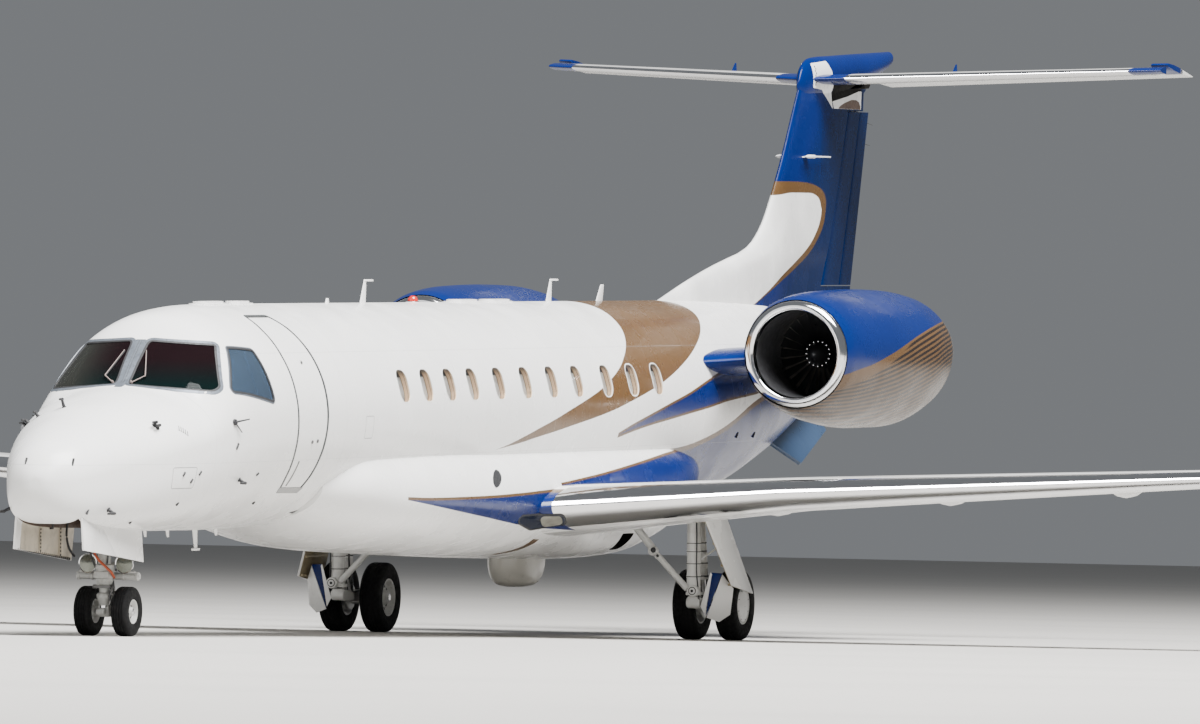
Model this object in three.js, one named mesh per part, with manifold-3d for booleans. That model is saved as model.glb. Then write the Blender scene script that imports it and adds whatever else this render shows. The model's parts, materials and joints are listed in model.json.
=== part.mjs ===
// Twin-engined business jet parked on its landing gear.
// Millimetres, +X forward, +Y to port, +Z up, origin on the ground under the middle of its length.
import * as THREE from "three";
import { mergeVertices } from "three/addons/utils/BufferGeometryUtils.js";
import Module from "manifold-3d";

const wasm = await Module();
wasm.setup();

// Driving dimensions. Stations are measured aft from the nose tip, heights from the fuselage centre line.
const MAIN_STATION = 14350;
const WHEELBASE = 12430;
const CENTRE_HEIGHT = 2501;
const NOSE_DOWN = 0.02853;
const MAIN_AXLE_X = -1293.45;
const RADIUS = 1140;
const SKIN = 60;
const SEAM = 0.3;
const CONTROL_GAP = 8;
const SIDES = [["left", 1], ["right", -1]];

const MAIN_TRACK = 4100;
const MAIN_TYRE = { radius: 381, width: 241, rim: 205, spacing: 480 };
const NOSE_TYRE = { radius: 247.5, width: 171, rim: 120, spacing: 400 };
const TYRE_SIDES = 24;

const PAINT = { color: 0xf2f3f2, roughness: 0.25, metalness: 0.0 };
const BLUE = { color: 0x123a8c, roughness: 0.2, metalness: 0.1 };
const STEEL = { color: 0xc9c7bd, roughness: 0.45, metalness: 0.3 };
const DARK = { color: 0x2a2b2e, roughness: 0.5, metalness: 0.4 };
const RUBBER = { color: 0x17181a, roughness: 0.85, metalness: 0.0 };
const GLASS = { color: 0x2b3238, roughness: 0.08, metalness: 0.0 };
const TRIM = { color: 0x8b8478, roughness: 0.7, metalness: 0.0 };

// Fuselage sections: station, top, bottom, half width, widest height, squareness of the lower half.
const FUSELAGE = [
  [0, -565, -635, 35, -600, 2],
  [60, -420, -810, 195, -600, 2.6],
  [200, -265, -945, 350, -580, 3.2],
  [450, -130, -1025, 485, -530, 3.4],
  [900, 30, -1065, 660, -450, 3.2],
  [1400, 170, -1085, 820, -360, 2.9],
  [1900, 285, -1100, 940, -270, 2.6],
  [2200, 340, -1106, 990, -220, 2.5],
  [2500, 590, -1112, 1030, -150, 2.4],
  [2800, 830, -1120, 1065, -100, 2.3],
  [3100, 1030, -1125, 1090, -60, 2.2],
  [3500, 1105, -1130, 1115, -30, 2.1],
  [4000, 1133, -1138, 1134, 0, 2],
  [4600, RADIUS, -RADIUS, RADIUS, 0, 2],
  [17600, RADIUS, -RADIUS, RADIUS, 0, 2],
  [18500, 1140, -1080, 1120, 30, 2],
  [20000, 1120, -800, 1000, 160, 2],
  [21500, 1080, -420, 800, 330, 2],
  [23000, 1000, -20, 520, 490, 2],
  [24000, 920, 260, 320, 590, 2],
  [24390, 850, 380, 220, 615, 2],
];
const CABIN_FRONT = 2200;
const FORWARD_END = 5400;
const REAR_START = 17600;
const TAIL_END = 24390;

// Wing-to-body fairing: station, half width, widest height, top, bottom.
const FAIRING = [
  [5500, 900, -700, -300, -1100],
  [6300, 1180, -760, -150, -1290],
  [7100, 1260, -840, -130, -1400],
  [8700, 1320, -900, -130, -1480],
  [10200, 1350, -950, -155, -1540],
  [12300, 1350, -960, -160, -1610],
  [14200, 1340, -960, -165, -1650],
  [15600, 1290, -900, -170, -1600],
  [16600, 1080, -780, -250, -1330],
  [17400, 800, -700, -400, -1040],
];

// Wing sections: distance from the centre plane, leading-edge station, chord, height, thickness ratio.
const WING = [
  [1100, 10660, 4220, -950, 0.13],
  [3600, 11884, 2996, -785, 0.125],
  [7700, 13893, 1750, -645, 0.115],
  [10020, 15030, 1040, -570, 0.105],
];
const TAILPLANE = [
  [0, 23290, 1760, 3650, 0.10],
  [3775, 25010, 1290, 3820, 0.09],
];
// Outline of one aerofoil: fraction of the chord, then the share of the half thickness.
const AEROFOIL = [[0, 0], [0.015, 0.3], [0.07, 0.62], [0.2, 0.93], [0.38, 1], [0.62, 0.74], [1, 0.035]];

function paint(look) {
  return new THREE.MeshStandardMaterial(look);
}

// A point of the airframe from its station, distance to port and height.
function at(station, y, h) {
  return new THREE.Vector3(MAIN_STATION - station, y, CENTRE_HEIGHT + h);
}

// A point given on the level ground frame, whose zero is under the main axle.
function onGround(x, y, z) {
  return new THREE.Vector3(x, y, z).applyAxisAngle(new THREE.Vector3(0, 1, 0), -NOSE_DOWN);
}

// Turns a triangle list outwards and stores it as a geometry.
function closed(points, faces) {
  let volume = 0;
  for (const [a, b, c] of faces) {
    volume += points[a].dot(new THREE.Vector3().crossVectors(points[b], points[c]));
  }
  const turned = volume < 0 ? faces.map(([a, b, c]) => [a, c, b]) : faces;
  const geometry = new THREE.BufferGeometry().setFromPoints(points);
  geometry.setIndex(turned.flat());
  return geometry;
}

// A skin over rings of equal length, with a flat fan over each end.
function loft(rings) {
  const count = rings[0].length;
  const points = rings.flat();
  const faces = [];
  for (let r = 0; r + 1 < rings.length; r++) {
    for (let i = 0; i < count; i++) {
      const a = r * count + i;
      const b = r * count + (i + 1) % count;
      faces.push([a, b, b + count], [a, b + count, a + count]);
    }
  }
  for (const [r, turn] of [[0, false], [rings.length - 1, true]]) {
    const middle = rings[r].reduce((sum, p) => sum.add(p), new THREE.Vector3()).divideScalar(count);
    points.push(middle);
    for (let i = 0; i < count; i++) {
      const a = r * count + i;
      const b = r * count + (i + 1) % count;
      faces.push(turn ? [a, b, points.length - 1] : [b, a, points.length - 1]);
    }
  }
  return closed(points, faces);
}

function toSolid(geometry) {
  const bare = new THREE.BufferGeometry();
  bare.setAttribute("position", geometry.getAttribute("position").clone());
  if (geometry.index) bare.setIndex(geometry.index.clone());
  const merged = mergeVertices(bare, 1e-3);
  return new wasm.Manifold(new wasm.Mesh({
    numProp: 3,
    vertProperties: merged.attributes.position.array,
    triVerts: Uint32Array.from(merged.index.array),
  }));
}

function toGeometry(solid) {
  const mesh = solid.getMesh();
  const geometry = new THREE.BufferGeometry();
  geometry.setAttribute("position", new THREE.BufferAttribute(mesh.vertProperties, 3));
  geometry.setIndex(Array.from(mesh.triVerts));
  return geometry;
}

function largest(solid) {
  return solid.decompose().reduce((best, s) => (s.volume() > best.volume() ? s : best));
}

function joined(...geometries) {
  return toGeometry(geometries.map(toSolid).reduce((all, s) => all.add(s)));
}

function cut(geometry, ...cutters) {
  return toGeometry(largest(cutters.map(toSolid).reduce((rest, s) => rest.subtract(s), toSolid(geometry))));
}

function common(first, second) {
  return toGeometry(largest(toSolid(first).intersect(toSolid(second))));
}

// A round bar between two points.
function rod(a, b, radius, endRadius = radius, sides = 8) {
  const along = new THREE.Vector3().subVectors(b, a);
  const geometry = new THREE.CylinderGeometry(endRadius, radius, a.distanceTo(b), sides);
  const turn = new THREE.Quaternion().setFromUnitVectors(new THREE.Vector3(0, 1, 0), along.normalize());
  geometry.applyQuaternion(turn);
  const middle = new THREE.Vector3().addVectors(a, b).multiplyScalar(0.5);
  return geometry.translate(middle.x, middle.y, middle.z);
}

// A box between two opposite corners.
function block(a, b) {
  const size = new THREE.Vector3().subVectors(b, a);
  const middle = new THREE.Vector3().addVectors(a, b).multiplyScalar(0.5);
  return new THREE.BoxGeometry(Math.abs(size.x), Math.abs(size.y), Math.abs(size.z))
    .translate(middle.x, middle.y, middle.z);
}

// A flat-sided slab: one outline and the same outline moved by a vector.
function slab(outline, move) {
  return loft([outline, outline.map((p) => p.clone().add(move))]);
}

function mirrored(points, side) {
  return points.map((p) => new THREE.Vector3(p.x, p.y * side, p.z));
}

const jet = new THREE.Group();
jet.position.x = MAIN_AXLE_X;
const airframe = new THREE.Group();
airframe.rotation.y = NOSE_DOWN;
jet.add(airframe);

function part(name, geometry, look, parent = airframe) {
  const mesh = new THREE.Mesh(geometry, paint(look));
  mesh.name = name;
  parent.add(mesh);
}

// The fuselage section at any station, drawn in by an inset.
function fuselageSection(station) {
  const next = Math.max(1, FUSELAGE.findIndex((row) => row[0] >= station));
  const [low, high] = [FUSELAGE[next - 1], FUSELAGE[next]];
  const share = (station - low[0]) / (high[0] - low[0]);
  return low.map((value, i) => value + share * (high[i] - value));
}

// An oval ring across the airframe, whose lower half may be squarer than an ellipse.
function ovalRing(station, top, bottom, half, widest, count, square = 2) {
  const ring = [];
  for (let i = 0; i < count; i++) {
    const angle = (2 * Math.PI * (i + 0.5)) / count;
    const [out, up] = [Math.cos(angle), Math.sin(angle)];
    const power = up > 0 ? 1 : 2 / square;
    const y = half * Math.sign(out) * Math.abs(out) ** power;
    const reach = up > 0 ? up * (top - widest) : -(Math.abs(up) ** power) * (widest - bottom);
    ring.push(at(station, y, widest + reach));
  }
  return ring;
}

const FUSELAGE_SIDES = 24;

function fuselageSolid(from, to, inset = 0) {
  const stations = [from, ...FUSELAGE.map((row) => row[0]).filter((s) => s > from && s < to), to];
  return loft(stations.map((station) => {
    const [, top, bottom, half, widest, square] = fuselageSection(station);
    return ovalRing(station, top - inset, bottom + inset, half - inset, widest, FUSELAGE_SIDES, square);
  }));
}

// Windows and door

// Corners of each pane on the port side, as station, distance to port and height.
const WINDSHIELD = [[2250, 45, 375], [2790, 45, 790], [3090, 690, 735], [2640, 900, 265]];
const SIDE_WINDOW = [[2740, 955, 270], [3120, 760, 715], [3630, 850, 700], [3640, 1100, 150]];
const PANE_THICKNESS = 22;
const WINDOW_REACH = { out: 300, in: 200 };

// A cutter through the skin along the outward direction of four corners.
function windowCutter(corners, side, shrink) {
  const points = mirrored(corners.map(([s, y, h]) => at(s, y, h)), side);
  const middle = points.reduce((sum, p) => sum.add(p), new THREE.Vector3()).divideScalar(4);
  const across = new THREE.Vector3().subVectors(points[2], points[0]);
  const other = new THREE.Vector3().subVectors(points[3], points[1]);
  const outward = across.cross(other).normalize();
  if (outward.z < 0) outward.negate();
  const drawnIn = (p) => p.clone().sub(middle).setLength(p.distanceTo(middle) - shrink).add(middle);
  const ring = points.map(drawnIn);
  const move = (distance) => ring.map((p) => p.clone().addScaledVector(outward, distance));
  return loft([move(-WINDOW_REACH.in), move(WINDOW_REACH.out)]);
}

const DOOR = { front: 4240, rear: 4970, top: 1030, sill: -720 };
const DOOR_MARGIN = 7;

function doorCutter(margin) {
  return block(
    at(DOOR.front + margin, 300, DOOR.sill + margin),
    at(DOOR.rear - margin, 1300, DOOR.top - margin),
  );
}

// Nose-gear bay, and the doors that hang open beside the leg
const BAY = { front: 340, rear: 1990, half: 320, roof: -520 };
const NOSE_DOOR = {
  front: 360, rear: 1940, frontTop: -860, rearTop: -1020, frontFoot: -1255, rearFoot: -1410,
  y: BAY.half + 26, lean: 30, thickness: 22,
};

const bay = block(at(BAY.front, -BAY.half, BAY.roof), at(BAY.rear, BAY.half, -1300));
const forwardSolid = fuselageSolid(0, FORWARD_END - SEAM);
const cabinSpace = fuselageSolid(CABIN_FRONT, FORWARD_END + 10, SKIN);
const windowCuts = SIDES.flatMap(([, side]) => (
  [WINDSHIELD, SIDE_WINDOW].map((corners) => windowCutter(corners, side, 0))));
const grownFuselage = fuselageSolid(3500, TAIL_END, -SEAM);

// The airstair door's hinge lies just outside the skin, under the sill, between two lugs.
const DOOR_HINGE = {
  y: Math.sqrt(RADIUS ** 2 - DOOR.sill ** 2) + 14, h: DOOR.sill - 16, radius: 9, inset: 60,
};
const LUG = { length: 50, drop: 14, reach: 60 };

function hingeLug(front) {
  return block(
    at(front, DOOR_HINGE.y - LUG.reach, DOOR_HINGE.h - LUG.drop),
    at(front + LUG.length, DOOR_HINGE.y + DOOR_HINGE.radius, DOOR_HINGE.h + DOOR_HINGE.radius),
  );
}

const forwardShell = joined(
  cut(forwardSolid, cabinSpace, bay, doorCutter(0), ...windowCuts),
  hingeLug(DOOR.front + DOOR_HINGE.inset - LUG.length),
  hingeLug(DOOR.rear - DOOR_HINGE.inset),
);
part("forward_fuselage", forwardShell, PAINT);
part("mid_fuselage", fuselageSolid(FORWARD_END, REAR_START - SEAM), PAINT);
part("rear_fuselage", fuselageSolid(REAR_START, TAIL_END), BLUE);

for (const [word, side] of SIDES) {
  for (const [name, corners] of [["windshield", WINDSHIELD], ["side_window", SIDE_WINDOW]]) {
    const paneSkin = cut(fuselageSolid(1900, 4200, 4), fuselageSolid(1800, 4300, 4 + PANE_THICKNESS));
    part(`${name}_${word}`, common(paneSkin, windowCutter(corners, side, 1)), GLASS);
  }
}

const DOOR_STRAP = { inset: 120, width: 18, foot: 2, top: 34 };
const doorWall = cut(fuselageSolid(4000, 5200), fuselageSolid(3900, 5300, SKIN));
const doorTube = rod(
  at(DOOR.front + DOOR_HINGE.inset + SEAM, DOOR_HINGE.y, DOOR_HINGE.h),
  at(DOOR.rear - DOOR_HINGE.inset - SEAM, DOOR_HINGE.y, DOOR_HINGE.h),
  DOOR_HINGE.radius,
);
const doorStrap = block(
  at(DOOR.front + DOOR_STRAP.inset, DOOR_HINGE.y - DOOR_STRAP.width, DOOR_HINGE.h + DOOR_STRAP.foot),
  at(DOOR.rear - DOOR_STRAP.inset, DOOR_HINGE.y, DOOR_HINGE.h + DOOR_STRAP.top),
);
part("main_door", joined(common(doorWall, doorCutter(DOOR_MARGIN)), doorTube, doorStrap), PAINT);

// Flight deck and entry
const FLOOR = { top: -600, thickness: 40, front: 2300, rear: FORWARD_END - 70, doorClear: 850 };
const BULKHEAD = { front: FORWARD_END - 60, rear: FORWARD_END - 16 };
const PANEL = { front: 2480, rear: 2560, foot: -420, top: 190 };
const GLARESHIELD = { front: 2330, rear: 2640, thickness: 40 };
const PEDESTAL = { front: 2540, rear: 3150, half: 190, top: -150 };
const BEYOND = 1300;
const inside = fuselageSolid(CABIN_FRONT, FORWARD_END + 10, SKIN + SEAM);

// The part of a full-width slab that lies inside the cabin.
function acrossCabin(front, rear, foot, top) {
  return common(inside, block(at(front, -BEYOND, foot), at(rear, BEYOND, top)));
}

const floorRelief = block(
  at(DOOR.front - 40, FLOOR.doorClear, FLOOR.top - 100),
  at(DOOR.rear + 40, BEYOND, FLOOR.top + 100),
);
const floorSlab = acrossCabin(FLOOR.front, FLOOR.rear, FLOOR.top - FLOOR.thickness, FLOOR.top);
part("cockpit_floor", cut(floorSlab, floorRelief), TRIM);
part("cabin_bulkhead", acrossCabin(BULKHEAD.front, BULKHEAD.rear, -BEYOND, BEYOND), TRIM);
part("instrument_panel", joined(
  acrossCabin(PANEL.front, PANEL.rear, PANEL.foot, PANEL.top),
  acrossCabin(GLARESHIELD.front, GLARESHIELD.rear, PANEL.top - GLARESHIELD.thickness, PANEL.top),
  block(at(PEDESTAL.front, -PEDESTAL.half, FLOOR.top + SEAM), at(PEDESTAL.rear, PEDESTAL.half, PEDESTAL.top)),
), DARK);

// Blocks of a pilot seat: front, rear, half width, foot, top.
const SEAT_Y = 450;
const SEAT_BLOCKS = {
  base: [3110, 3370, 120, FLOOR.top + SEAM, -210],
  cushion: [3020, 3520, 230, -260, -150],
  back: [3400, 3520, 230, -170, 430],
  headrest: [3430, 3510, 130, 420, 640],
};
for (const [word, side] of SIDES) {
  const blocks = Object.values(SEAT_BLOCKS).map(([front, rear, half, foot, top]) => (
    block(at(front, SEAT_Y * side - half, foot), at(rear, SEAT_Y * side + half, top))));
  part(`pilot_seat_${word}`, joined(...blocks), TRIM);
}

// Lifting surfaces

// A closed aerofoil ring. The thickness stands along a given direction.
function aerofoilRing(lead, chord, y, h, thickness, up = new THREE.Vector3(0, 0, 1), drop = 0) {
  const half = thickness / 2;
  const place = ([fraction, share], sign) => at(lead + fraction * chord, y, h - drop * fraction)
    .addScaledVector(up, sign * share * half);
  const upper = AEROFOIL.map((row) => place(row, 1));
  const lower = AEROFOIL.slice(1).reverse().map((row) => place(row, -1));
  return [...upper, ...lower];
}

const WASH = 0.035;

function rowAt(table, span) {
  const next = Math.max(1, table.findIndex((row) => row[0] >= span));
  const [low, high] = [table[next - 1], table[next]];
  const share = (span - low[0]) / (high[0] - low[0]);
  return low.map((value, i) => value + share * (high[i] - value));
}

// Height that the chord line has lost at the trailing edge, most at the root.
function wingDrop(y) {
  return WASH * (1 - y / WING.at(-1)[0]) * rowAt(WING, y)[2];
}

function wingSolid(side, grow = 0) {
  return loft(WING.map(([y, lead, chord, h, ratio], i) => {
    const span = i === 0 ? y - grow : y;
    return mirrored(aerofoilRing(
      lead - grow, chord + 2 * grow, span, h, ratio * chord + 2 * grow, undefined, wingDrop(y)), side);
  }));
}

// The hinge point of a control surface on a span table, at a fraction of the chord.
function hingePoint(table, span, fraction, drop = 0) {
  const [y, lead, chord, h, ratio] = rowAt(table, span);
  const front = { station: lead + fraction * chord, h: h - drop * fraction };
  return { ...front, y, ratio, chord, tail: lead + chord, tailH: h - drop };
}

// A slab that clears the space of a control surface or flap, in plan view.
function planSlab(points, side) {
  return slab(mirrored(points.map(([s, y]) => at(s, y, -3000)), side), new THREE.Vector3(0, 0, 9000));
}

// Ring of a control surface: a round nose about the hinge, then straight to the trailing edge.
function controlRing(hinge, radius, aft, up, tailLength, tailHalf) {
  const ring = [];
  for (let i = 0; i <= 6; i++) {
    const angle = Math.PI / 2 + (Math.PI * i) / 6;
    ring.push([radius * Math.cos(angle), radius * Math.sin(angle)]);
  }
  ring.push([tailLength, -tailHalf], [tailLength, tailHalf]);
  return ring.map(([back, rise]) => hinge.clone().addScaledVector(aft, back).addScaledVector(up, rise));
}

const AFT = new THREE.Vector3(-1, 0, 0);
const UP = new THREE.Vector3(0, 0, 1);
const PORT = new THREE.Vector3(0, 1, 0);
const STUB = 11;
const STUB_GAP = 0.5;
const STUB_ROOT = 20;
const TAIL_HALF = 5;

// How far a pivot stub runs along its axis to come close to a rib wall that is a gap away.
function stubReach(gap, axis, wallNormal) {
  const straight = Math.abs(axis.dot(wallNormal));
  return (gap - STUB_GAP - STUB * Math.sqrt(1 - straight ** 2)) / straight;
}

// A control surface between two ends, with a pivot stub at each that reaches its rib.
function controlSurface(ends, up, wallNormal, gaps) {
  const rings = ends.map((end) => controlRing(end.hinge, end.radius, end.aft, up, end.length, TAIL_HALF));
  const axis = new THREE.Vector3().subVectors(ends[1].hinge, ends[0].hinge).normalize();
  const pins = ends.map((end, i) => rod(
    end.hinge.clone().addScaledVector(axis, i === 0 ? STUB_ROOT : -STUB_ROOT),
    end.hinge.clone().addScaledVector(axis, (i === 0 ? -1 : 1) * stubReach(gaps[i], axis, wallNormal)),
    STUB,
  ));
  return joined(loft(rings), ...pins);
}

// Wings
const FLAP = { inner: 1450, outer: 6900, fraction: 0.78 };
const AILERON = { inner: 7050, outer: 9500, fraction: 0.76, innerGap: 10, outerGap: 26, radius: 0.27 };
const BEHIND_WING = 17500;
const UNDER_WING = -1900;
const LEG = { station: 13700, y: MAIN_TRACK / 2, roof: -1030, foot: -2000 };
const LEG_SLOT = { front: 13560, rear: 13960, inner: 900, outer: 2160 };
const WELL = { station: MAIN_STATION, y: 980, radius: 430, roof: -1020 };

function aileronEnd(span, side) {
  const point = hingePoint(WING, span, AILERON.fraction, wingDrop(span));
  const hinge = at(point.station, point.y * side, point.h);
  const tail = at(point.tail, point.y * side, point.tailH);
  const aft = new THREE.Vector3().subVectors(tail, hinge);
  const length = aft.length();
  return { hinge, radius: AILERON.radius * point.ratio * point.chord, aft: aft.normalize(), length };
}

function flapOutline(margin) {
  const front = [FLAP.inner + margin, WING[1][0], FLAP.outer - margin]
    .map((y) => [hingePoint(WING, y, FLAP.fraction).station + margin, y]);
  return [...front, [BEHIND_WING, FLAP.outer - margin], [BEHIND_WING, FLAP.inner + margin]];
}

const aileronFront = (y) => {
  const point = hingePoint(WING, y, AILERON.fraction);
  return point.station - AILERON.radius * point.ratio * point.chord - CONTROL_GAP;
};
const aileronOutline = [
  [aileronFront(AILERON.inner), AILERON.inner],
  [aileronFront(AILERON.outer), AILERON.outer],
  [BEHIND_WING, AILERON.outer],
  [BEHIND_WING, AILERON.inner],
];

function legSlot(side) {
  return block(
    at(LEG_SLOT.front, LEG_SLOT.inner * side, LEG.roof),
    at(LEG_SLOT.rear, LEG_SLOT.outer * side, UNDER_WING),
  );
}

function wheelWell(side) {
  const foot = at(WELL.station, WELL.y * side, UNDER_WING);
  return rod(at(WELL.station, WELL.y * side, WELL.roof), foot, WELL.radius, WELL.radius, 16);
}

// Winglet sections: distance to port, height, leading edge, chord, thickness, cant in degrees.
const WINGLET = [
  [10020 + SEAM, -570, 15030, 1040, 109, 0],
  [10250, -545, 15170, 960, 96, 22],
  [10400, -420, 15330, 860, 84, 55],
  [10470, -200, 15520, 740, 66, 76],
  [10580, 520, 16050, 420, 36, 81],
];

for (const [word, side] of SIDES) {
  const flapCut = planSlab(flapOutline(0), side);
  const aileronCut = planSlab(aileronOutline, side);
  part(`wing_${word}`, cut(wingSolid(side), flapCut, aileronCut, legSlot(side), wheelWell(side)), PAINT);
  part(`flap_${word}`, common(wingSolid(side), planSlab(flapOutline(SEAM), side)), PAINT);
  const ends = [
    aileronEnd(AILERON.inner + AILERON.innerGap, side),
    aileronEnd(AILERON.outer - AILERON.outerGap, side),
  ];
  part(`aileron_${word}`, controlSurface(ends, UP, PORT, [AILERON.innerGap, AILERON.outerGap]), PAINT);
  part(`winglet_${word}`, loft(WINGLET.map(([y, h, lead, chord, thickness, cant]) => {
    const lean = THREE.MathUtils.degToRad(cant);
    const up = new THREE.Vector3(0, -Math.sin(lean), Math.cos(lean));
    return mirrored(aerofoilRing(lead, chord, y, h, thickness, up), side);
  })), BLUE);
}

// Belly fairing and the pod under it
function bodySolid(table, grow = 0, count = 20) {
  return loft(table.map(([station, half, widest, top, bottom]) => (
    ovalRing(station, top + grow, bottom - grow, half + grow, widest, count))));
}

// The pod's level sections: height, half width, front and rear.
const POD = [
  [-1580, 265, 13170, 14300],
  [-1700, 262, 13180, 14290],
  [-1800, 248, 13210, 14250],
  [-1880, 218, 13280, 14180],
  [-1930, 165, 13400, 14050],
  [-1950, 90, 13560, 13890],
];
const POD_SIDES = 18;

function levelOval([h, half, front, rear]) {
  return Array.from({ length: POD_SIDES }, (_, i) => {
    const angle = (2 * Math.PI * (i + 0.5)) / POD_SIDES;
    return at((front + rear) / 2 + ((rear - front) / 2) * Math.cos(angle), half * Math.sin(angle), h);
  });
}

const sideCuts = SIDES.flatMap(([, side]) => [wingSolid(side, SEAM), legSlot(side), wheelWell(side)]);
part("belly_fairing", cut(bodySolid(FAIRING), grownFuselage, ...sideCuts), PAINT);
part("belly_pod", cut(loft(POD.map(levelOval)), bodySolid(FAIRING, SEAM)), PAINT);

// Tail

// Fin sections: height, leading edge, trailing edge, thickness.
const FIN = [
  [1000, 17650, 24942, 250],
  [1140, 18260, 24983, 260],
  [1760, 21200, 25165, 250],
  [2340, 22170, 25336, 230],
  [3330, 22890, 25627, 190],
  [3600, 23090, 25706, 180],
];
// Tail bullet sections: station, half width, widest height, top, bottom.
const BULLET = [
  [22950, 30, 3650, 3700, 3600],
  [23300, 150, 3660, 3890, 3440],
  [24200, 210, 3690, 3975, 3420],
  [25200, 180, 3780, 4020, 3560],
  [26100, 90, 3910, 4065, 3780],
  [26350, 40, 3990, 4080, 3900],
];
const RUDDER = { foot: 1290, head: 3340, gap: 12, radius: 58, top: [24770, 3330], low: [23870, 1300] };
const BEHIND_TAIL = 27000;
const FIN_REACH = 400;

function rudderHinge(h) {
  const share = (h - RUDDER.low[1]) / (RUDDER.top[1] - RUDDER.low[1]);
  return RUDDER.low[0] + share * (RUDDER.top[0] - RUDDER.low[0]);
}

const finRings = FIN.map(([h, lead, tail, thickness]) => (
  aerofoilRing(lead, tail - lead, 0, h, thickness, PORT)));
const rudderSlot = slab([
  at(rudderHinge(RUDDER.foot) - RUDDER.radius - CONTROL_GAP, -FIN_REACH, RUDDER.foot),
  at(rudderHinge(RUDDER.head) - RUDDER.radius - CONTROL_GAP, -FIN_REACH, RUDDER.head),
  at(BEHIND_TAIL, -FIN_REACH, RUDDER.head),
  at(BEHIND_TAIL, -FIN_REACH, RUDDER.foot),
], new THREE.Vector3(0, 2 * FIN_REACH, 0));
part("fin", cut(loft(finRings), grownFuselage, bodySolid(BULLET, SEAM, 16), rudderSlot), BLUE);

const rudderEnds = [RUDDER.foot + RUDDER.gap, RUDDER.head - RUDDER.gap].map((h) => {
  const length = rowAt(FIN, h)[2] - rudderHinge(h);
  return { hinge: at(rudderHinge(h), 0, h), radius: RUDDER.radius, aft: AFT, length };
});
part("rudder", controlSurface(rudderEnds, PORT, UP, [RUDDER.gap, RUDDER.gap]), BLUE);

function tailplaneSolid(grow = 0) {
  const rows = [TAILPLANE[1], TAILPLANE[0], TAILPLANE[1]];
  return loft(rows.map(([y, lead, chord, h, ratio], i) => (
    aerofoilRing(lead - grow, chord + 2 * grow, y * (i - 1), h, ratio * chord + 2 * grow))));
}

const ELEVATOR = {
  inner: 420, outer: 3555, tip: 3773, fraction: 0.66, horn: 0.24, gap: 10, droop: 14, radius: 0.3,
};
const BEYOND_TIP = 4000;
// Outline of the horn ahead of the hinge: chord fraction, then the share of the half thickness.
const HORN = [[0.24, -0.5], [0.24, 0.5], [0.44, 0.8], [0.71, 0.55], [0.71, -0.55], [0.44, -0.8]];

function elevatorSlot(side) {
  const front = (y) => {
    const point = hingePoint(TAILPLANE, y, ELEVATOR.fraction);
    return point.station - ELEVATOR.radius * point.ratio * point.chord - CONTROL_GAP;
  };
  const hornFront = (y) => hingePoint(TAILPLANE, y, ELEVATOR.horn).station - 3 * CONTROL_GAP;
  return planSlab([
    [front(ELEVATOR.inner), ELEVATOR.inner],
    [front(ELEVATOR.outer), ELEVATOR.outer],
    [hornFront(ELEVATOR.outer), ELEVATOR.outer],
    [hornFront(ELEVATOR.tip), BEYOND_TIP],
    [BEHIND_TAIL, BEYOND_TIP],
    [BEHIND_TAIL, ELEVATOR.inner],
  ], side);
}

function elevatorEnd(span, side) {
  const point = hingePoint(TAILPLANE, span, ELEVATOR.fraction);
  return {
    hinge: at(point.station, point.y * side, point.h),
    radius: ELEVATOR.radius * point.ratio * point.chord,
    aft: AFT,
    length: point.tail - point.station,
  };
}

// Turns a geometry about the line through two points.
function turned(geometry, from, to, degrees) {
  const axis = new THREE.Vector3().subVectors(to, from).normalize();
  return geometry.translate(-from.x, -from.y, -from.z)
    .applyQuaternion(new THREE.Quaternion().setFromAxisAngle(axis, THREE.MathUtils.degToRad(degrees)))
    .translate(from.x, from.y, from.z);
}

const elevatorSlots = SIDES.map(([, side]) => elevatorSlot(side));
part("tailplane", cut(tailplaneSolid(), ...elevatorSlots), PAINT);
part("tail_bullet", cut(bodySolid(BULLET, 0, 16), tailplaneSolid(SEAM)), BLUE);
for (const [word, side] of SIDES) {
  const ends = [elevatorEnd(ELEVATOR.inner + ELEVATOR.gap, side), elevatorEnd(ELEVATOR.tip, side)];
  const axis = new THREE.Vector3().subVectors(ends[1].hinge, ends[0].hinge).normalize();
  const stub = ends[0].hinge.clone().addScaledVector(axis, -stubReach(ELEVATOR.gap, axis, PORT));
  const hornRing = (y) => {
    const [, lead, chord, h, ratio] = rowAt(TAILPLANE, y);
    const half = (ratio * chord) / 2;
    const points = HORN.map(([fraction, share]) => at(lead + fraction * chord, y, h + share * half));
    return mirrored(points, side);
  };
  const whole = joined(
    loft(ends.map((end) => controlRing(end.hinge, end.radius, end.aft, UP, end.length, TAIL_HALF))),
    rod(ends[0].hinge.clone().addScaledVector(axis, STUB_ROOT), stub, STUB),
    loft([hornRing(ELEVATOR.outer + 2 * ELEVATOR.gap), hornRing(ELEVATOR.tip)]),
  );
  part(`elevator_${word}`, turned(whole, ends[0].hinge, ends[1].hinge, -side * ELEVATOR.droop), PAINT);
}

// Outline of a ventral strake: station, distance to port, height.
const STRAKE = [[20400, 330, -330], [21050, 740, -740], [22350, 600, -380], [22550, 240, 40]];
for (const [word, side] of SIDES) {
  const outline = mirrored(STRAKE.map(([s, y, h]) => at(s, y, h)), side);
  const plate = slab(outline, new THREE.Vector3(0, 34 * side, 30));
  part(`ventral_strake_${word}`, cut(plate, grownFuselage), BLUE);
}

// Engines
const ENGINE_Y = 2200;
const ENGINE_H = 580;
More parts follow.
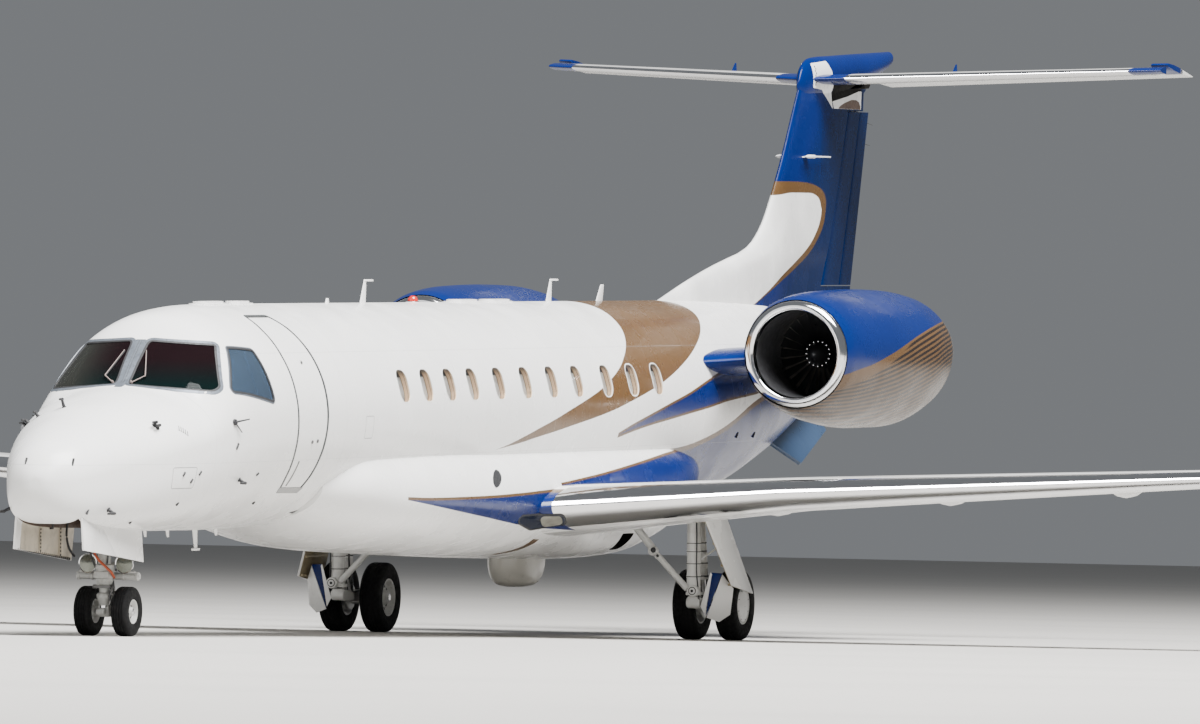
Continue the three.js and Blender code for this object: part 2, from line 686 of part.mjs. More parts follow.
// Nacelle sections: station, half width, widest height, top, bottom.
const NACELLE = [
  [16530, 545, 580, 1125, 35],
  [16600, 600, 580, 1180, -20],
  [16750, 645, 580, 1225, -65],
  [17400, 715, 560, 1275, -190],
  [18400, 765, 530, 1290, -255],
  [19200, 765, 520, 1280, -255],
  [20000, 680, 545, 1225, -140],
  [20700, 490, 590, 1080, 100],
];
// Radii about the engine's axis: station, radius.
const DUCT = [[16520, 520], [16650, 475], [17000, 470], [17450, 496], [20000, 496], [20710, 440]];
const CORE = [[17600, 495.7], [20000, 495.7], [20300, 360], [20640, 250]];
const FAN = { radius: 478, front: 17430, rear: 17540, blades: 14, shaft: 90, root: 130 };
const HUB = [[17180, 12], [17280, 90], [FAN.front, 150], [FAN.rear, 150]];
const BLADE = { half: 34, tipHalf: 60, thick: 5, inset: 6 };
// Pylon sections: distance to port, leading edge, chord, height, thickness ratio.
const PYLON = [[1050, 16850, 3400, 470, 0.095], [1620, 17050, 3050, 520, 0.095]];

function aboutEngine(table, y, count = 20) {
  return loft(table.map(([station, radius]) => {
    return ovalRing(station, ENGINE_H + radius, ENGINE_H - radius, radius, ENGINE_H, count)
      .map((p) => p.setY(p.y + y));
  }));
}

function nacelleSolid(y, grow = 0) {
  return bodySolid(NACELLE, grow).translate(0, y, 0);
}

// One flat, twisted blade at an angle about the engine's axis.
function fanBlade(y, angle) {
  const out = new THREE.Vector3(0, Math.cos(angle), Math.sin(angle));
  const round = new THREE.Vector3(0, -Math.sin(angle), Math.cos(angle));
  const front = FAN.front + BLADE.inset;
  const rear = FAN.rear - BLADE.inset;
  const { thick } = BLADE;
  return loft([[FAN.root, BLADE.half], [FAN.radius, BLADE.tipHalf]].map(([radius, half]) => {
    const place = ([s, across]) => (
      at(s, y, ENGINE_H).addScaledVector(out, radius).addScaledVector(round, across));
    const ahead = [[front, half + thick], [front, half - thick]];
    return [...ahead, [rear, -half - thick], [rear, thick - half]].map(place);
  }));
}

function fanSolid(y) {
  const shaft = rod(at(FAN.rear - 20, y, ENGINE_H), at(CORE[0][0] - SEAM, y, ENGINE_H), FAN.shaft);
  const blades = Array.from({ length: FAN.blades }, (_, i) => fanBlade(y, (2 * Math.PI * i) / FAN.blades));
  return joined(aboutEngine(HUB, y, 16), shaft, ...blades);
}

for (const [word, side] of SIDES) {
  const y = ENGINE_Y * side;
  part(`nacelle_${word}`, cut(nacelleSolid(y), aboutEngine(DUCT, y)), BLUE);
  part(`engine_core_${word}`, aboutEngine(CORE, y), DARK);
  part(`fan_${word}`, fanSolid(y), DARK);
  const pylon = loft(PYLON.map(([span, lead, chord, h, ratio]) => (
    mirrored(aerofoilRing(lead, chord, span, h, ratio * chord), side))));
  part(`pylon_${word}`, cut(pylon, grownFuselage, nacelleSolid(y, SEAM)), BLUE);
}

// Wheels turn on their axles, which run along Y. A flat of the tyre lies on the ground.
function wheelProfile(bore, rim, width) {
  const face = width * 0.36;
  return [
    [bore, -face], [rim * 0.7, -face], [rim, -width * 0.42],
    [rim, width * 0.42], [rim * 0.7, face], [bore, face], [bore, -face],
  ].map(([r, y]) => new THREE.Vector2(r, y));
}

function tyreProfile(tyre) {
  const outer = tyre.radius / Math.cos(Math.PI / TYRE_SIDES);
  const half = tyre.width / 2;
  const rim = tyre.rim + SEAM;
  return [
    [rim, -half * 0.8], [outer * 0.83, -half], [outer, -half * 0.6],
    [outer, half * 0.6], [outer * 0.83, half], [rim, half * 0.8], [rim, -half * 0.8],
  ].map(([r, y]) => new THREE.Vector2(r, y));
}

function lathe(profile, sides) {
  return toGeometry(toSolid(new THREE.LatheGeometry(profile, sides)));
}

function wheel(name, centre, tyre, bore) {
  const place = new THREE.Group();
  place.position.copy(centre);
  place.rotation.y = -NOSE_DOWN + Math.PI / TYRE_SIDES;
  airframe.add(place);
  part(`${name}_rim`, lathe(wheelProfile(bore, tyre.rim, tyre.width), TYRE_SIDES), STEEL, place);
  part(`${name}_tyre`, lathe(tyreProfile(tyre), TYRE_SIDES), RUBBER, place);
}

// The bars of a landing-gear leg, whose ends are given as station, distance outboard and height.
function bars(table, side = 1, y = 0) {
  const end = ([station, out, h]) => at(station, (y + out) * side, h);
  return Object.values(table).map((bar) => (
    rod(end(bar.from), end(bar.to), bar.radius, bar.endRadius, bar.sides)));
}

// Blocks of a landing-gear leg between two opposite corners, given in the same way.
function blocks(table, side = 1, y = 0) {
  const corner = ([station, out, h]) => at(station, (y + out) * side, h);
  return Object.values(table).map(([first, second]) => block(corner(first), corner(second)));
}

// Nose gear: a fixed leg in the bay, and the steered lower leg with its axle
const noseCentre = onGround(WHEELBASE, 0, NOSE_TYRE.radius);
const noseStation = MAIN_STATION - noseCentre.x;
const noseHeight = noseCentre.z - CENTRE_HEIGHT;
const NOSE_LEG = 1830;
const COLLAR = { top: -1440, middle: -1500, foot: -1575 };
const NOSE_AXLE = 30;
const NOSE_LEG_BARS = {
  cylinder: { from: [NOSE_LEG, 0, BAY.roof - SEAM], to: [NOSE_LEG, 0, COLLAR.middle], radius: 62, sides: 16 },
  collar: { from: [NOSE_LEG, 0, COLLAR.top], to: [NOSE_LEG, 0, COLLAR.foot], radius: 92, sides: 16 },
  trunnion: { from: [NOSE_LEG, SEAM - BAY.half, -660], to: [NOSE_LEG, BAY.half - SEAM, -660], radius: 40 },
  steeringCylinder: { from: [1935, -335, -1530], to: [1935, 335, -1530], radius: 38 },
  lampBar: { from: [1940, -250, -1425], to: [1940, 250, -1425], radius: 18 },
};
const NOSE_SIDE_BARS = {
  lamp: { from: [1970, 200, -1425], to: [1870, 200, -1425], radius: 60, endRadius: 92, sides: 16 },
  dragBrace: { from: [NOSE_LEG - 20, 40, -1230], to: [1150, 170, BAY.roof - 25], radius: 24 },
};
const NOSE_LEG_BLOCKS = {
  steeringMount: [[1860, -60, -1560], [1950, 60, -1500]],
  lampMount: [[NOSE_LEG, -30, -1445], [1940, 30, -1405]],
};
const NOSE_FORK_BARS = {
  swivel: { from: [NOSE_LEG, 0, COLLAR.foot - SEAM], to: [NOSE_LEG, 0, -1640], radius: 84, sides: 16 },
  piston: { from: [NOSE_LEG, 0, -1600], to: [NOSE_LEG, 0, noseHeight - 10], radius: 46, sides: 12 },
  axle: {
    from: [noseStation, -275, noseHeight], to: [noseStation, 275, noseHeight], radius: NOSE_AXLE, sides: 16,
  },
  upperLink: { from: [1965, 0, -1605], to: [2040, 0, -1715], radius: 20 },
  lowerLink: { from: [2040, 0, -1715], to: [NOSE_LEG + 40, 0, -1850], radius: 20 },
};
const NOSE_FORK_BLOCKS = {
  knuckle: [[NOSE_LEG - 30, -62, noseHeight + 62], [noseStation + 50, 62, noseHeight - 55]],
  linkMount: [[NOSE_LEG, -35, -1590], [1970, 35, -1625]],
  towLug: [[1735, -40, noseHeight + 30], [NOSE_LEG, 40, noseHeight - 30]],
};
part("nose_leg", joined(
  ...bars(NOSE_LEG_BARS),
  ...SIDES.flatMap(([, side]) => bars(NOSE_SIDE_BARS, side)),
  ...blocks(NOSE_LEG_BLOCKS),
), STEEL);
part("nose_fork", joined(...bars(NOSE_FORK_BARS), ...blocks(NOSE_FORK_BLOCKS)), STEEL);

for (const [word, side] of SIDES) {
  const y = (NOSE_TYRE.spacing / 2) * side;
  wheel(`nose_${word}`, new THREE.Vector3(noseCentre.x, y, noseCentre.z), NOSE_TYRE, NOSE_AXLE + 0.8);
  const outline = mirrored([
    at(NOSE_DOOR.front, NOSE_DOOR.y, NOSE_DOOR.frontTop),
    at(NOSE_DOOR.rear, NOSE_DOOR.y, NOSE_DOOR.rearTop),
    at(NOSE_DOOR.rear, NOSE_DOOR.y + NOSE_DOOR.lean, NOSE_DOOR.rearFoot),
    at(NOSE_DOOR.front, NOSE_DOOR.y + NOSE_DOOR.lean, NOSE_DOOR.frontFoot),
  ], side);
  const plate = slab(outline, new THREE.Vector3(0, NOSE_DOOR.thickness * side, 0));
  part(`nose_bay_door_${word}`, cut(plate, fuselageSolid(10, 2600, -SEAM)), PAINT);
}

// Main gear: a post from the slot in the wing, a trailing arm, a side stay and the axle
const axleCentre = onGround(0, 0, MAIN_TYRE.radius);
const axleStation = MAIN_STATION - axleCentre.x;
const axleHeight = axleCentre.z - CENTRE_HEIGHT;
const MAIN_AXLE = { radius: 42, half: 335 };
const KNUCKLE = { radius: 78, half: 95 };
const ARM_PIN = { station: 13720, h: -2080 };
const alongAxle = (half) => ({ from: [axleStation, -half, axleHeight], to: [axleStation, half, axleHeight] });
const MAIN_LEG_BARS = {
  post: { from: [LEG.station, 0, LEG.roof - SEAM], to: [LEG.station, 0, LEG.foot], radius: 75, sides: 16 },
  trunnion: { from: [LEG_SLOT.front + SEAM, 0, -1090], to: [LEG_SLOT.rear - SEAM, 0, -1090], radius: 45 },
  shockStrut: { from: [13870, 0, -1070], to: [14080, 0, -2060], radius: 50, endRadius: 38 },
  armPin: { from: [ARM_PIN.station, -70, ARM_PIN.h], to: [ARM_PIN.station, 70, ARM_PIN.h], radius: 62 },
  knuckle: { ...alongAxle(KNUCKLE.half), radius: KNUCKLE.radius, sides: 16 },
  axle: { ...alongAxle(MAIN_AXLE.half), radius: MAIN_AXLE.radius, sides: 16 },
  lowerStay: { from: [13715, -70, -1935], to: [13700, -450, -1520], radius: 34 },
  upperStay: { from: [13700, -440, -1530], to: [13690, -820, LEG.roof - 45], radius: 38 },
};
const MAIN_LEG_BLOCKS = {
  foot: [[ARM_PIN.station - 70, -60, -1960], [ARM_PIN.station + 70, 60, ARM_PIN.h]],
};
// Outline of the trailing arm: station and height.
const ARM = [
  [ARM_PIN.station, ARM_PIN.h + 55], [axleStation, axleHeight + 60], [axleStation, axleHeight - 60],
  [ARM_PIN.station, ARM_PIN.h - 60],
];
const ARM_HALF = 45;
// Outline of the guard ahead of the outer tyre: distance outboard of the leg and height.
const GUARD = [
  [20, -2060], [140, -1760], [300, -1815], [415, -1925], [400, -2200], [275, -2290], [100, -2220],
  [20, -2120],
];
const GUARD_PLACE = { front: 13775, rear: 13787 };
// Outline of a leg door: station, distance to port, height.
const LEG_DOOR = [[13420, 2185, -1000], [14120, 2185, -1000], [14330, 2490, -1990], [13660, 2490, -1890]];
const LEG_DOOR_THICKNESS = 26;

for (const [word, side] of SIDES) {
  const arm = loft([-ARM_HALF, ARM_HALF].map((out) => (
    ARM.map(([s, h]) => at(s, (LEG.y + out) * side, h)))));
  const guard = loft([GUARD_PLACE.front, GUARD_PLACE.rear].map((s) => (
    GUARD.map(([out, h]) => at(s, (LEG.y + out) * side, h)))));
  part(`main_leg_${word}`, joined(
    ...bars(MAIN_LEG_BARS, side, LEG.y),
    ...blocks(MAIN_LEG_BLOCKS, side, LEG.y),
    arm,
    guard,
  ), STEEL);
  const outline = mirrored(LEG_DOOR.map(([s, y, h]) => at(s, y, h)), side);
  const door = slab(outline, new THREE.Vector3(0, LEG_DOOR_THICKNESS * side, 0));
  part(`main_leg_door_${word}`, cut(door, wingSolid(side, SEAM)), PAINT);
  for (const [place, offset] of [["outer", 1], ["inner", -1]]) {
    const y = (LEG.y + (offset * MAIN_TYRE.spacing) / 2) * side;
    const centre = new THREE.Vector3(axleCentre.x, y, axleCentre.z);
    wheel(`main_${word}_${place}`, centre, MAIN_TYRE, MAIN_AXLE.radius + 1);
  }
}

export default jet;
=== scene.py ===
"""Looks of a parked twin-engined business jet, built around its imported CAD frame.

Sizes are in metres. Airframe points are given as station (aft of the nose tip), distance to port and
height above the fuselage centre line, and are turned into the level frame of the CAD by placed().
"""

from __future__ import annotations

import json
import logging
import math
from dataclasses import dataclass, field
from enum import Enum
from typing import Callable, Sequence, Union

import bmesh
import bpy
import numpy as np
from mathutils import Matrix, Vector
from mathutils.bvhtree import BVHTree
from mathutils.kdtree import KDTree

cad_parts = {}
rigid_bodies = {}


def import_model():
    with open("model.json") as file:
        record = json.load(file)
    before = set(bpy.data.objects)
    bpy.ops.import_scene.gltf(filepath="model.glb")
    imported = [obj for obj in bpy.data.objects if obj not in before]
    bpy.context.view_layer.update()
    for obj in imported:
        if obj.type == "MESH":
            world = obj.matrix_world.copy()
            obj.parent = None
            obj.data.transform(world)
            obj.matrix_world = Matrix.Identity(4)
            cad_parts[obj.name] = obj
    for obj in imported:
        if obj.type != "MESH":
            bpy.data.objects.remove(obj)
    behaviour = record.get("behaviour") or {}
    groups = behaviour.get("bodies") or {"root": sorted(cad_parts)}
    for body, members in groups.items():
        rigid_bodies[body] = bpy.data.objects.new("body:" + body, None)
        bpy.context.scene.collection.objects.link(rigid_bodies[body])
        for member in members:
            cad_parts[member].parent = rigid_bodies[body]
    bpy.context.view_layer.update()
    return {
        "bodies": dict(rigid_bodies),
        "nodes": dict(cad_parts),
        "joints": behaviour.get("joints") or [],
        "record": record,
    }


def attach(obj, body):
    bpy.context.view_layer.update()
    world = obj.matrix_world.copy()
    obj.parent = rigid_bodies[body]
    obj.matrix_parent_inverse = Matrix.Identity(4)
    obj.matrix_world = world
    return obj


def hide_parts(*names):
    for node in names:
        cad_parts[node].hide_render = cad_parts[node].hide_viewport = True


LOG = logging.getLogger("jet")
# How the airframe stands: its lean in radians, the station over the main axle, the height of the centre
# line there, and the axle's X.
NOSE_DOWN = 0.02853
MAIN_STATION = 14.35
CENTRE_HEIGHT = 2.501
AXLE_X = -1.29345
# Radius of the cabin's round section, and the angle over which an edge is drawn sharp.
RADIUS = 1.14
SHARP = math.radians(32)
SIDES = (("left", 1.0), ("right", -1.0))

Point = Sequence[float]
Socket = Union[float, "bpy.types.NodeSocket"]


def placed(points: object) -> np.ndarray:
    """Airframe points in the level frame of the CAD.

    Args:
        points: Rows of station, distance to port and height, in any array shape that ends in 3.

    Returns:
        The same array of points as X, Y and Z.
    """
    given = np.asarray(points, float)
    x = MAIN_STATION - given[..., 0]
    z = CENTRE_HEIGHT + given[..., 2]
    cos, sin = math.cos(NOSE_DOWN), math.sin(NOSE_DOWN)
    return np.stack([x * cos + z * sin + AXLE_X, given[..., 1], z * cos - x * sin], axis=-1)


def turned(direction: Point) -> np.ndarray:
    """A direction given as aft, port and up, in the level frame and of unit length."""
    moved = placed(direction) - placed((0.0, 0.0, 0.0))
    return moved / np.linalg.norm(moved)


def smooth_rows(table: Sequence[Point], where: np.ndarray, power: float = 1.0) -> np.ndarray:
    """Rows of a table at new places, by monotone cubic curves through its own rows.

    Args:
        table: Rows whose first column rises.
        where: The places to read, in the units of the first column.
        power: Exponent that spreads the first column, below 1 for a blunt start.

    Returns:
        One row for each place, with the place first.
    """
    rows = np.asarray(table, float)
    start = rows[0, 0]
    knots = np.maximum(rows[:, 0] - start, 0.0) ** power
    at = np.clip(np.asarray(where, float) - start, 0.0, None) ** power
    step = np.diff(knots)
    slope = np.diff(rows[:, 1:], axis=0) / step[:, None]
    tangent = np.zeros_like(rows[:, 1:])
    for i in range(1, len(knots) - 1):
        before, after = slope[i - 1], slope[i]
        weights = (2 * step[i] + step[i - 1], step[i] + 2 * step[i - 1])
        steady = before * after > 0
        safe_before = np.where(steady, before, 1.0)
        safe_after = np.where(steady, after, 1.0)
        mean = sum(weights) / (weights[0] / safe_before + weights[1] / safe_after)
        tangent[i] = np.where(steady, mean, 0.0)
    tangent[0], tangent[-1] = slope[0], slope[-1]
    k = np.clip(np.searchsorted(knots, at, side="right") - 1, 0, len(step) - 1)
    t = ((at - knots[k]) / step[k])[:, None]
    h = step[k][:, None]
    low, high = rows[k, 1:], rows[k + 1, 1:]
    value = (
        (2 * t**3 - 3 * t**2 + 1) * low
        + (t**3 - 2 * t**2 + t) * h * tangent[k]
        + (3 * t**2 - 2 * t**3) * high
        + (t**3 - t**2) * h * tangent[k + 1]
    )
    return np.column_stack([where, value])


def linear_rows(table: Sequence[Point], where: np.ndarray) -> np.ndarray:
    """Rows of a table at new places, by straight lines between its own rows.

    Args:
        table: Rows whose first column rises.
        where: The places to read.

    Returns:
        One row for each place, with the place first.
    """
    rows = np.asarray(table, float)
    columns = [np.interp(where, rows[:, 0], rows[:, i]) for i in range(1, rows.shape[1])]
    return np.column_stack([where, *columns])


def oval(row: Point, count: int) -> np.ndarray:
    """An oval ring across the airframe.

    Args:
        row: Station, top, bottom, half width, widest height and squareness of the lower half.
        count: Points in the ring.

    Returns:
        Airframe points, counter-clockwise from port.
    """
    station, top, bottom, half, widest, square = row
    angle = 2 * math.pi * (np.arange(count) + 0.5) / count
    out, up = np.cos(angle), np.sin(angle)
    power = np.where(up > 0, 1.0, 2.0 / square)
    y = half * np.sign(out) * np.abs(out) ** power
    reach = np.where(up > 0, up * (top - widest), -(np.abs(up) ** power) * (widest - bottom))
    return np.column_stack([np.full(count, station), y, widest + reach])


# Half of an aerofoil: share of the chord, share of half the thickness.
AEROFOIL = (
    (0.0, 0.0), (0.015, 0.3), (0.07, 0.62), (0.2, 0.93), (0.38, 1.0), (0.62, 0.74), (0.85, 0.31),
    (1.0, 0.035),
)


@dataclass(frozen=True)
class Aerofoil:
    """One section of a wing, fin or pylon. Thickness stands along up, from the chord line."""

    lead: float
    chord: float
    y: float
    height: float
    thickness: float
    up: tuple[float, float, float] = (0.0, 0.0, 1.0)
    drop: float = 0.0
    half_count: int = 26

    def ring(self) -> np.ndarray:
        """Airframe points from the leading edge over the top and back along the underside.

        Returns:
            The points in order.
        """
        share = (np.arange(self.half_count) / (self.half_count - 1)) ** 1.8
        half = smooth_rows(AEROFOIL, share, 0.5)[:, 1] * self.thickness / 2
        base = np.column_stack([
            self.lead + share * self.chord,
            np.full(len(share), self.y),
            self.height - self.drop * share,
        ])
        up = np.asarray(self.up)
        upper = base + half[:, None] * up
        lower = base - half[:, None] * up
        return np.vstack([upper, lower[:0:-1]])


def lofted(rings: Sequence[np.ndarray], wrap: bool = False) -> tuple[np.ndarray, list]:
    """A closed skin over rings of equal length.

    Args:
        rings: Rings of points, in order.
        wrap: Joins the last ring to the first, instead of closing both with a fan.

    Returns:
        Points and faces.
    """
    count = len(rings[0])
    points = list(np.vstack(rings))
    faces = []
    total = len(rings)
    for r in range(total if wrap else total - 1):
        a, b = r * count, ((r + 1) % total) * count
        for i in range(count):
            j = (i + 1) % count
            faces.append((a + i, a + j, b + j, b + i))
    if not wrap:
        for r, flip in ((0, True), (total - 1, False)):
            points.append(np.asarray(rings[r]).mean(axis=0))
            tip = len(points) - 1
            for i in range(count):
                a, b = r * count + i, r * count + (i + 1) % count
                faces.append((b, a, tip) if flip else (a, b, tip))
    return np.array(points), faces


def tidy_mesh(obj: bpy.types.Object, merge: float = 1e-5) -> None:
    """Merges doubled points, points the faces outwards and shades smooth between sharp edges.

    Args:
        obj: The object.
        merge: Distance under which points are merged.
    """
    work = bmesh.new()
    work.from_mesh(obj.data)
    bmesh.ops.remove_doubles(work, verts=work.verts, dist=merge)
    bmesh.ops.dissolve_degenerate(work, edges=work.edges, dist=merge)
    bmesh.ops.recalc_face_normals(work, faces=work.faces)
    for face in work.faces:
        face.smooth = True
    work.to_mesh(obj.data)
    work.free()
    obj.data.set_sharp_from_angle(angle=SHARP)


def new_object(name: str, points: np.ndarray, faces: Sequence) -> bpy.types.Object:
    """A mesh object whose points are already in the level frame.

    Args:
        name: Name of the object.
        points: Points in the level frame.
        faces: Point indexes of each face.

    Returns:
        The object.
    """
    mesh = bpy.data.meshes.new(name)
    mesh.from_pydata([tuple(map(float, p)) for p in points], [], [tuple(map(int, f)) for f in faces])
    mesh.validate()
    obj = bpy.data.objects.new(name, mesh)
    bpy.context.scene.collection.objects.link(obj)
    tidy_mesh(obj)
    return obj


def skin(name: str, rings: Sequence[np.ndarray], wrap: bool = False) -> bpy.types.Object:
    """A closed mesh over airframe rings."""
    points, faces = lofted([placed(ring) for ring in rings], wrap)
    return new_object(name, points, faces)


def joined(name: str, objects: Sequence[bpy.types.Object]) -> bpy.types.Object:
    """One object from several, which keeps their materials.

    Args:
        name: Name of the new object.
        objects: The objects, which are used up.

    Returns:
        The new object.
    """
    work = bmesh.new()
    materials: list = []
    for obj in objects:
        lookup = []
        for material in obj.data.materials:
            if material not in materials:
                materials.append(material)
            lookup.append(materials.index(material))
        start = len(work.faces)
        work.from_mesh(obj.data)
        work.faces.ensure_lookup_table()
        for face in work.faces[start:]:
            face.material_index = lookup[face.material_index] if lookup else 0
    mesh = bpy.data.meshes.new(name)
    work.to_mesh(mesh)
    work.free()
    for material in materials:
        mesh.materials.append(material)
    for obj in objects:
        bpy.data.objects.remove(obj)
    result = bpy.data.objects.new(name, mesh)
    bpy.context.scene.collection.objects.link(result)
    mesh.set_sharp_from_angle(angle=SHARP)
    return result


def apply_modifiers(obj: bpy.types.Object) -> None:
    """Replaces an object's mesh by its evaluated one.

    Args:
        obj: The object.
    """
    graph = bpy.context.evaluated_depsgraph_get()
    mesh = bpy.data.meshes.new_from_object(obj.evaluated_get(graph))
    obj.modifiers.clear()
    old = obj.data
    obj.data = mesh
    bpy.data.meshes.remove(old)


class Carve(Enum):
    """What a boolean does with its cutter."""

    AWAY = "DIFFERENCE"
    KEEP = "INTERSECT"


def carved(obj: bpy.types.Object, cutters: Sequence[bpy.types.Object], how: Carve = Carve.AWAY) -> None:
    """Carves an object with cutters, which are used up. Cut walls keep the cutter's material.

    Args:
        obj: The object.
        cutters: Closed objects.
        how: What is kept.
    """
    for cutter in cutters:
        modifier = obj.modifiers.new("carve", "BOOLEAN")
        modifier.operation = how.value
        modifier.object = cutter
        modifier.solver = "EXACT"
        modifier.material_mode = "TRANSFER"
    apply_modifiers(obj)
    for cutter in cutters:
        bpy.data.objects.remove(cutter)
    tidy_mesh(obj)


def rounded_edges(obj: bpy.types.Object, width: float, segments: int = 2) -> bpy.types.Object:
    """Rounds the sharp edges of an object.

    Args:
        obj: The object.
        width: Width of the rounding.
        segments: Faces across the rounding.

    Returns:
        The same object.
    """
    modifier = obj.modifiers.new("round", "BEVEL")
    modifier.width = width
    modifier.segments = segments
    modifier.limit_method = "ANGLE"
    modifier.angle_limit = SHARP
    apply_modifiers(obj)
    tidy_mesh(obj)
    return obj


def cross_axes(along: np.ndarray) -> tuple[np.ndarray, np.ndarray]:
    """Two unit directions across a third.

    Args:
        along: The third direction, of unit length.

    Returns:
        Both directions.
    """
    helper = np.array([0.0, 0.0, 1.0]) if abs(along[2]) < 0.9 else np.array([1.0, 0.0, 0.0])
    first = np.cross(helper, along)
    first /= np.linalg.norm(first)
    return first, np.cross(along, first)


def circle(centre: np.ndarray, along: np.ndarray, radius: float, count: int) -> np.ndarray:
    """A ring of points across a direction.

    Args:
        centre: Middle in the level frame.
        along: Direction across which it lies.
        radius: Radius.
        count: Points in the ring.

    Returns:
        The points.
    """
    first, second = cross_axes(along)
    angle = 2 * math.pi * np.arange(count) / count
    return centre + np.outer(np.cos(angle) * radius, first) + np.outer(np.sin(angle) * radius, second)


def spun(name: str, start: Point, end: Point, profile: Sequence[Point], count: int = 32,
         wrap: bool = False) -> bpy.types.Object:
    """A turned piece about the line between two airframe points.

    Args:
        name: Name of the object.
        start: Airframe point where the profile's zero lies.
        end: Airframe point that the profile's first column counts towards.
        profile: Distance along the line and radius, in order.
        count: Sides of the turned piece.
        wrap: The profile is a closed loop that leaves the middle open.

    Returns:
        The object.
    """
    base, tip = placed(start), placed(end)
    along = (tip - base) / np.linalg.norm(tip - base)
    rings = [circle(base + along * d, along, max(r, 1e-4), count) for d, r in profile]
    points, faces = lofted(rings, wrap)
    return new_object(name, points, faces)


def bar(name: str, start: Point, end: Point, radius: float, end_radius: float | None = None,
        chamfer: float = 0.15, count: int = 20) -> bpy.types.Object:
    """A round bar with chamfered ends between two airframe points.

    Args:
        name: Name of the object.
        start: First airframe point.
        end: Second airframe point.
        radius: Radius at the start.
        end_radius: Radius at the end, the same if not given.
        chamfer: Chamfer as a share of the radius.
        count: Sides.

    Returns:
        The object.
    """
    last = radius if end_radius is None else end_radius
    length = float(np.linalg.norm(placed(end) - placed(start)))
    edge = min(chamfer * radius, 0.3 * length)
    profile = ((0, radius - edge), (edge, radius), (length - edge, last), (length, last - chamfer * last))
    return spun(name, start, end, profile, count)


def hose(name: str, route: Sequence[Point], radius: float, count: int = 10,
         samples: int = 6) -> bpy.types.Object:
    """A pipe along a smooth route of airframe points.

    Args:
        name: Name of the object.
        route: Airframe points.
        radius: Radius.
        count: Sides.
        samples: Rings between two points of the route.

    Returns:
        The object.
    """
    rows = np.column_stack([np.arange(len(route)), np.asarray(route, float)])
    line = placed(smooth_rows(rows, np.linspace(0, len(route) - 1, samples * (len(route) - 1) + 1))[:, 1:])
    tangents = np.gradient(line, axis=0)
    rings = []
    for point, tangent in zip(line, tangents):
        rings.append(circle(point, tangent / np.linalg.norm(tangent), radius, count))
    points, faces = lofted(rings)
    return new_object(name, points, faces)


def brick(name: str, low: Point, high: Point, bevel: float = 0.006) -> bpy.types.Object:
    """A block between two opposite airframe corners, with rounded edges.

    Args:
        name: Name of the object.
        low: One airframe corner.
        high: The opposite corner.
        bevel: Width of the rounded edges.

    Returns:
        The object.
    """
    (s0, y0, h0), (s1, y1, h1) = low, high
    rings = [np.array([(s0, y0, h), (s1, y0, h), (s1, y1, h), (s0, y1, h)]) for h in (h0, h1)]
    return rounded_edges(skin(name, rings), bevel)


def plate(name: str, outline: Sequence[Point], move: Point, bevel: float = 0.004) -> bpy.types.Object:
    """A flat plate from an outline of airframe points, which is moved to give the thickness.

    Args:
        name: Name of the object.
        outline: Airframe points.
        move: Aft, port and up.
        bevel: Width of the rounded edges.

    Returns:
        The object.
    """
    first = np.asarray(outline, float)
    return rounded_edges(skin(name, [first, first + np.asarray(move)]), bevel)


def mirror(points: object, side: float) -> np.ndarray:
    """Airframe points on the side that is asked for."""
    return np.asarray(points, float) * np.array([1.0, side, 1.0])


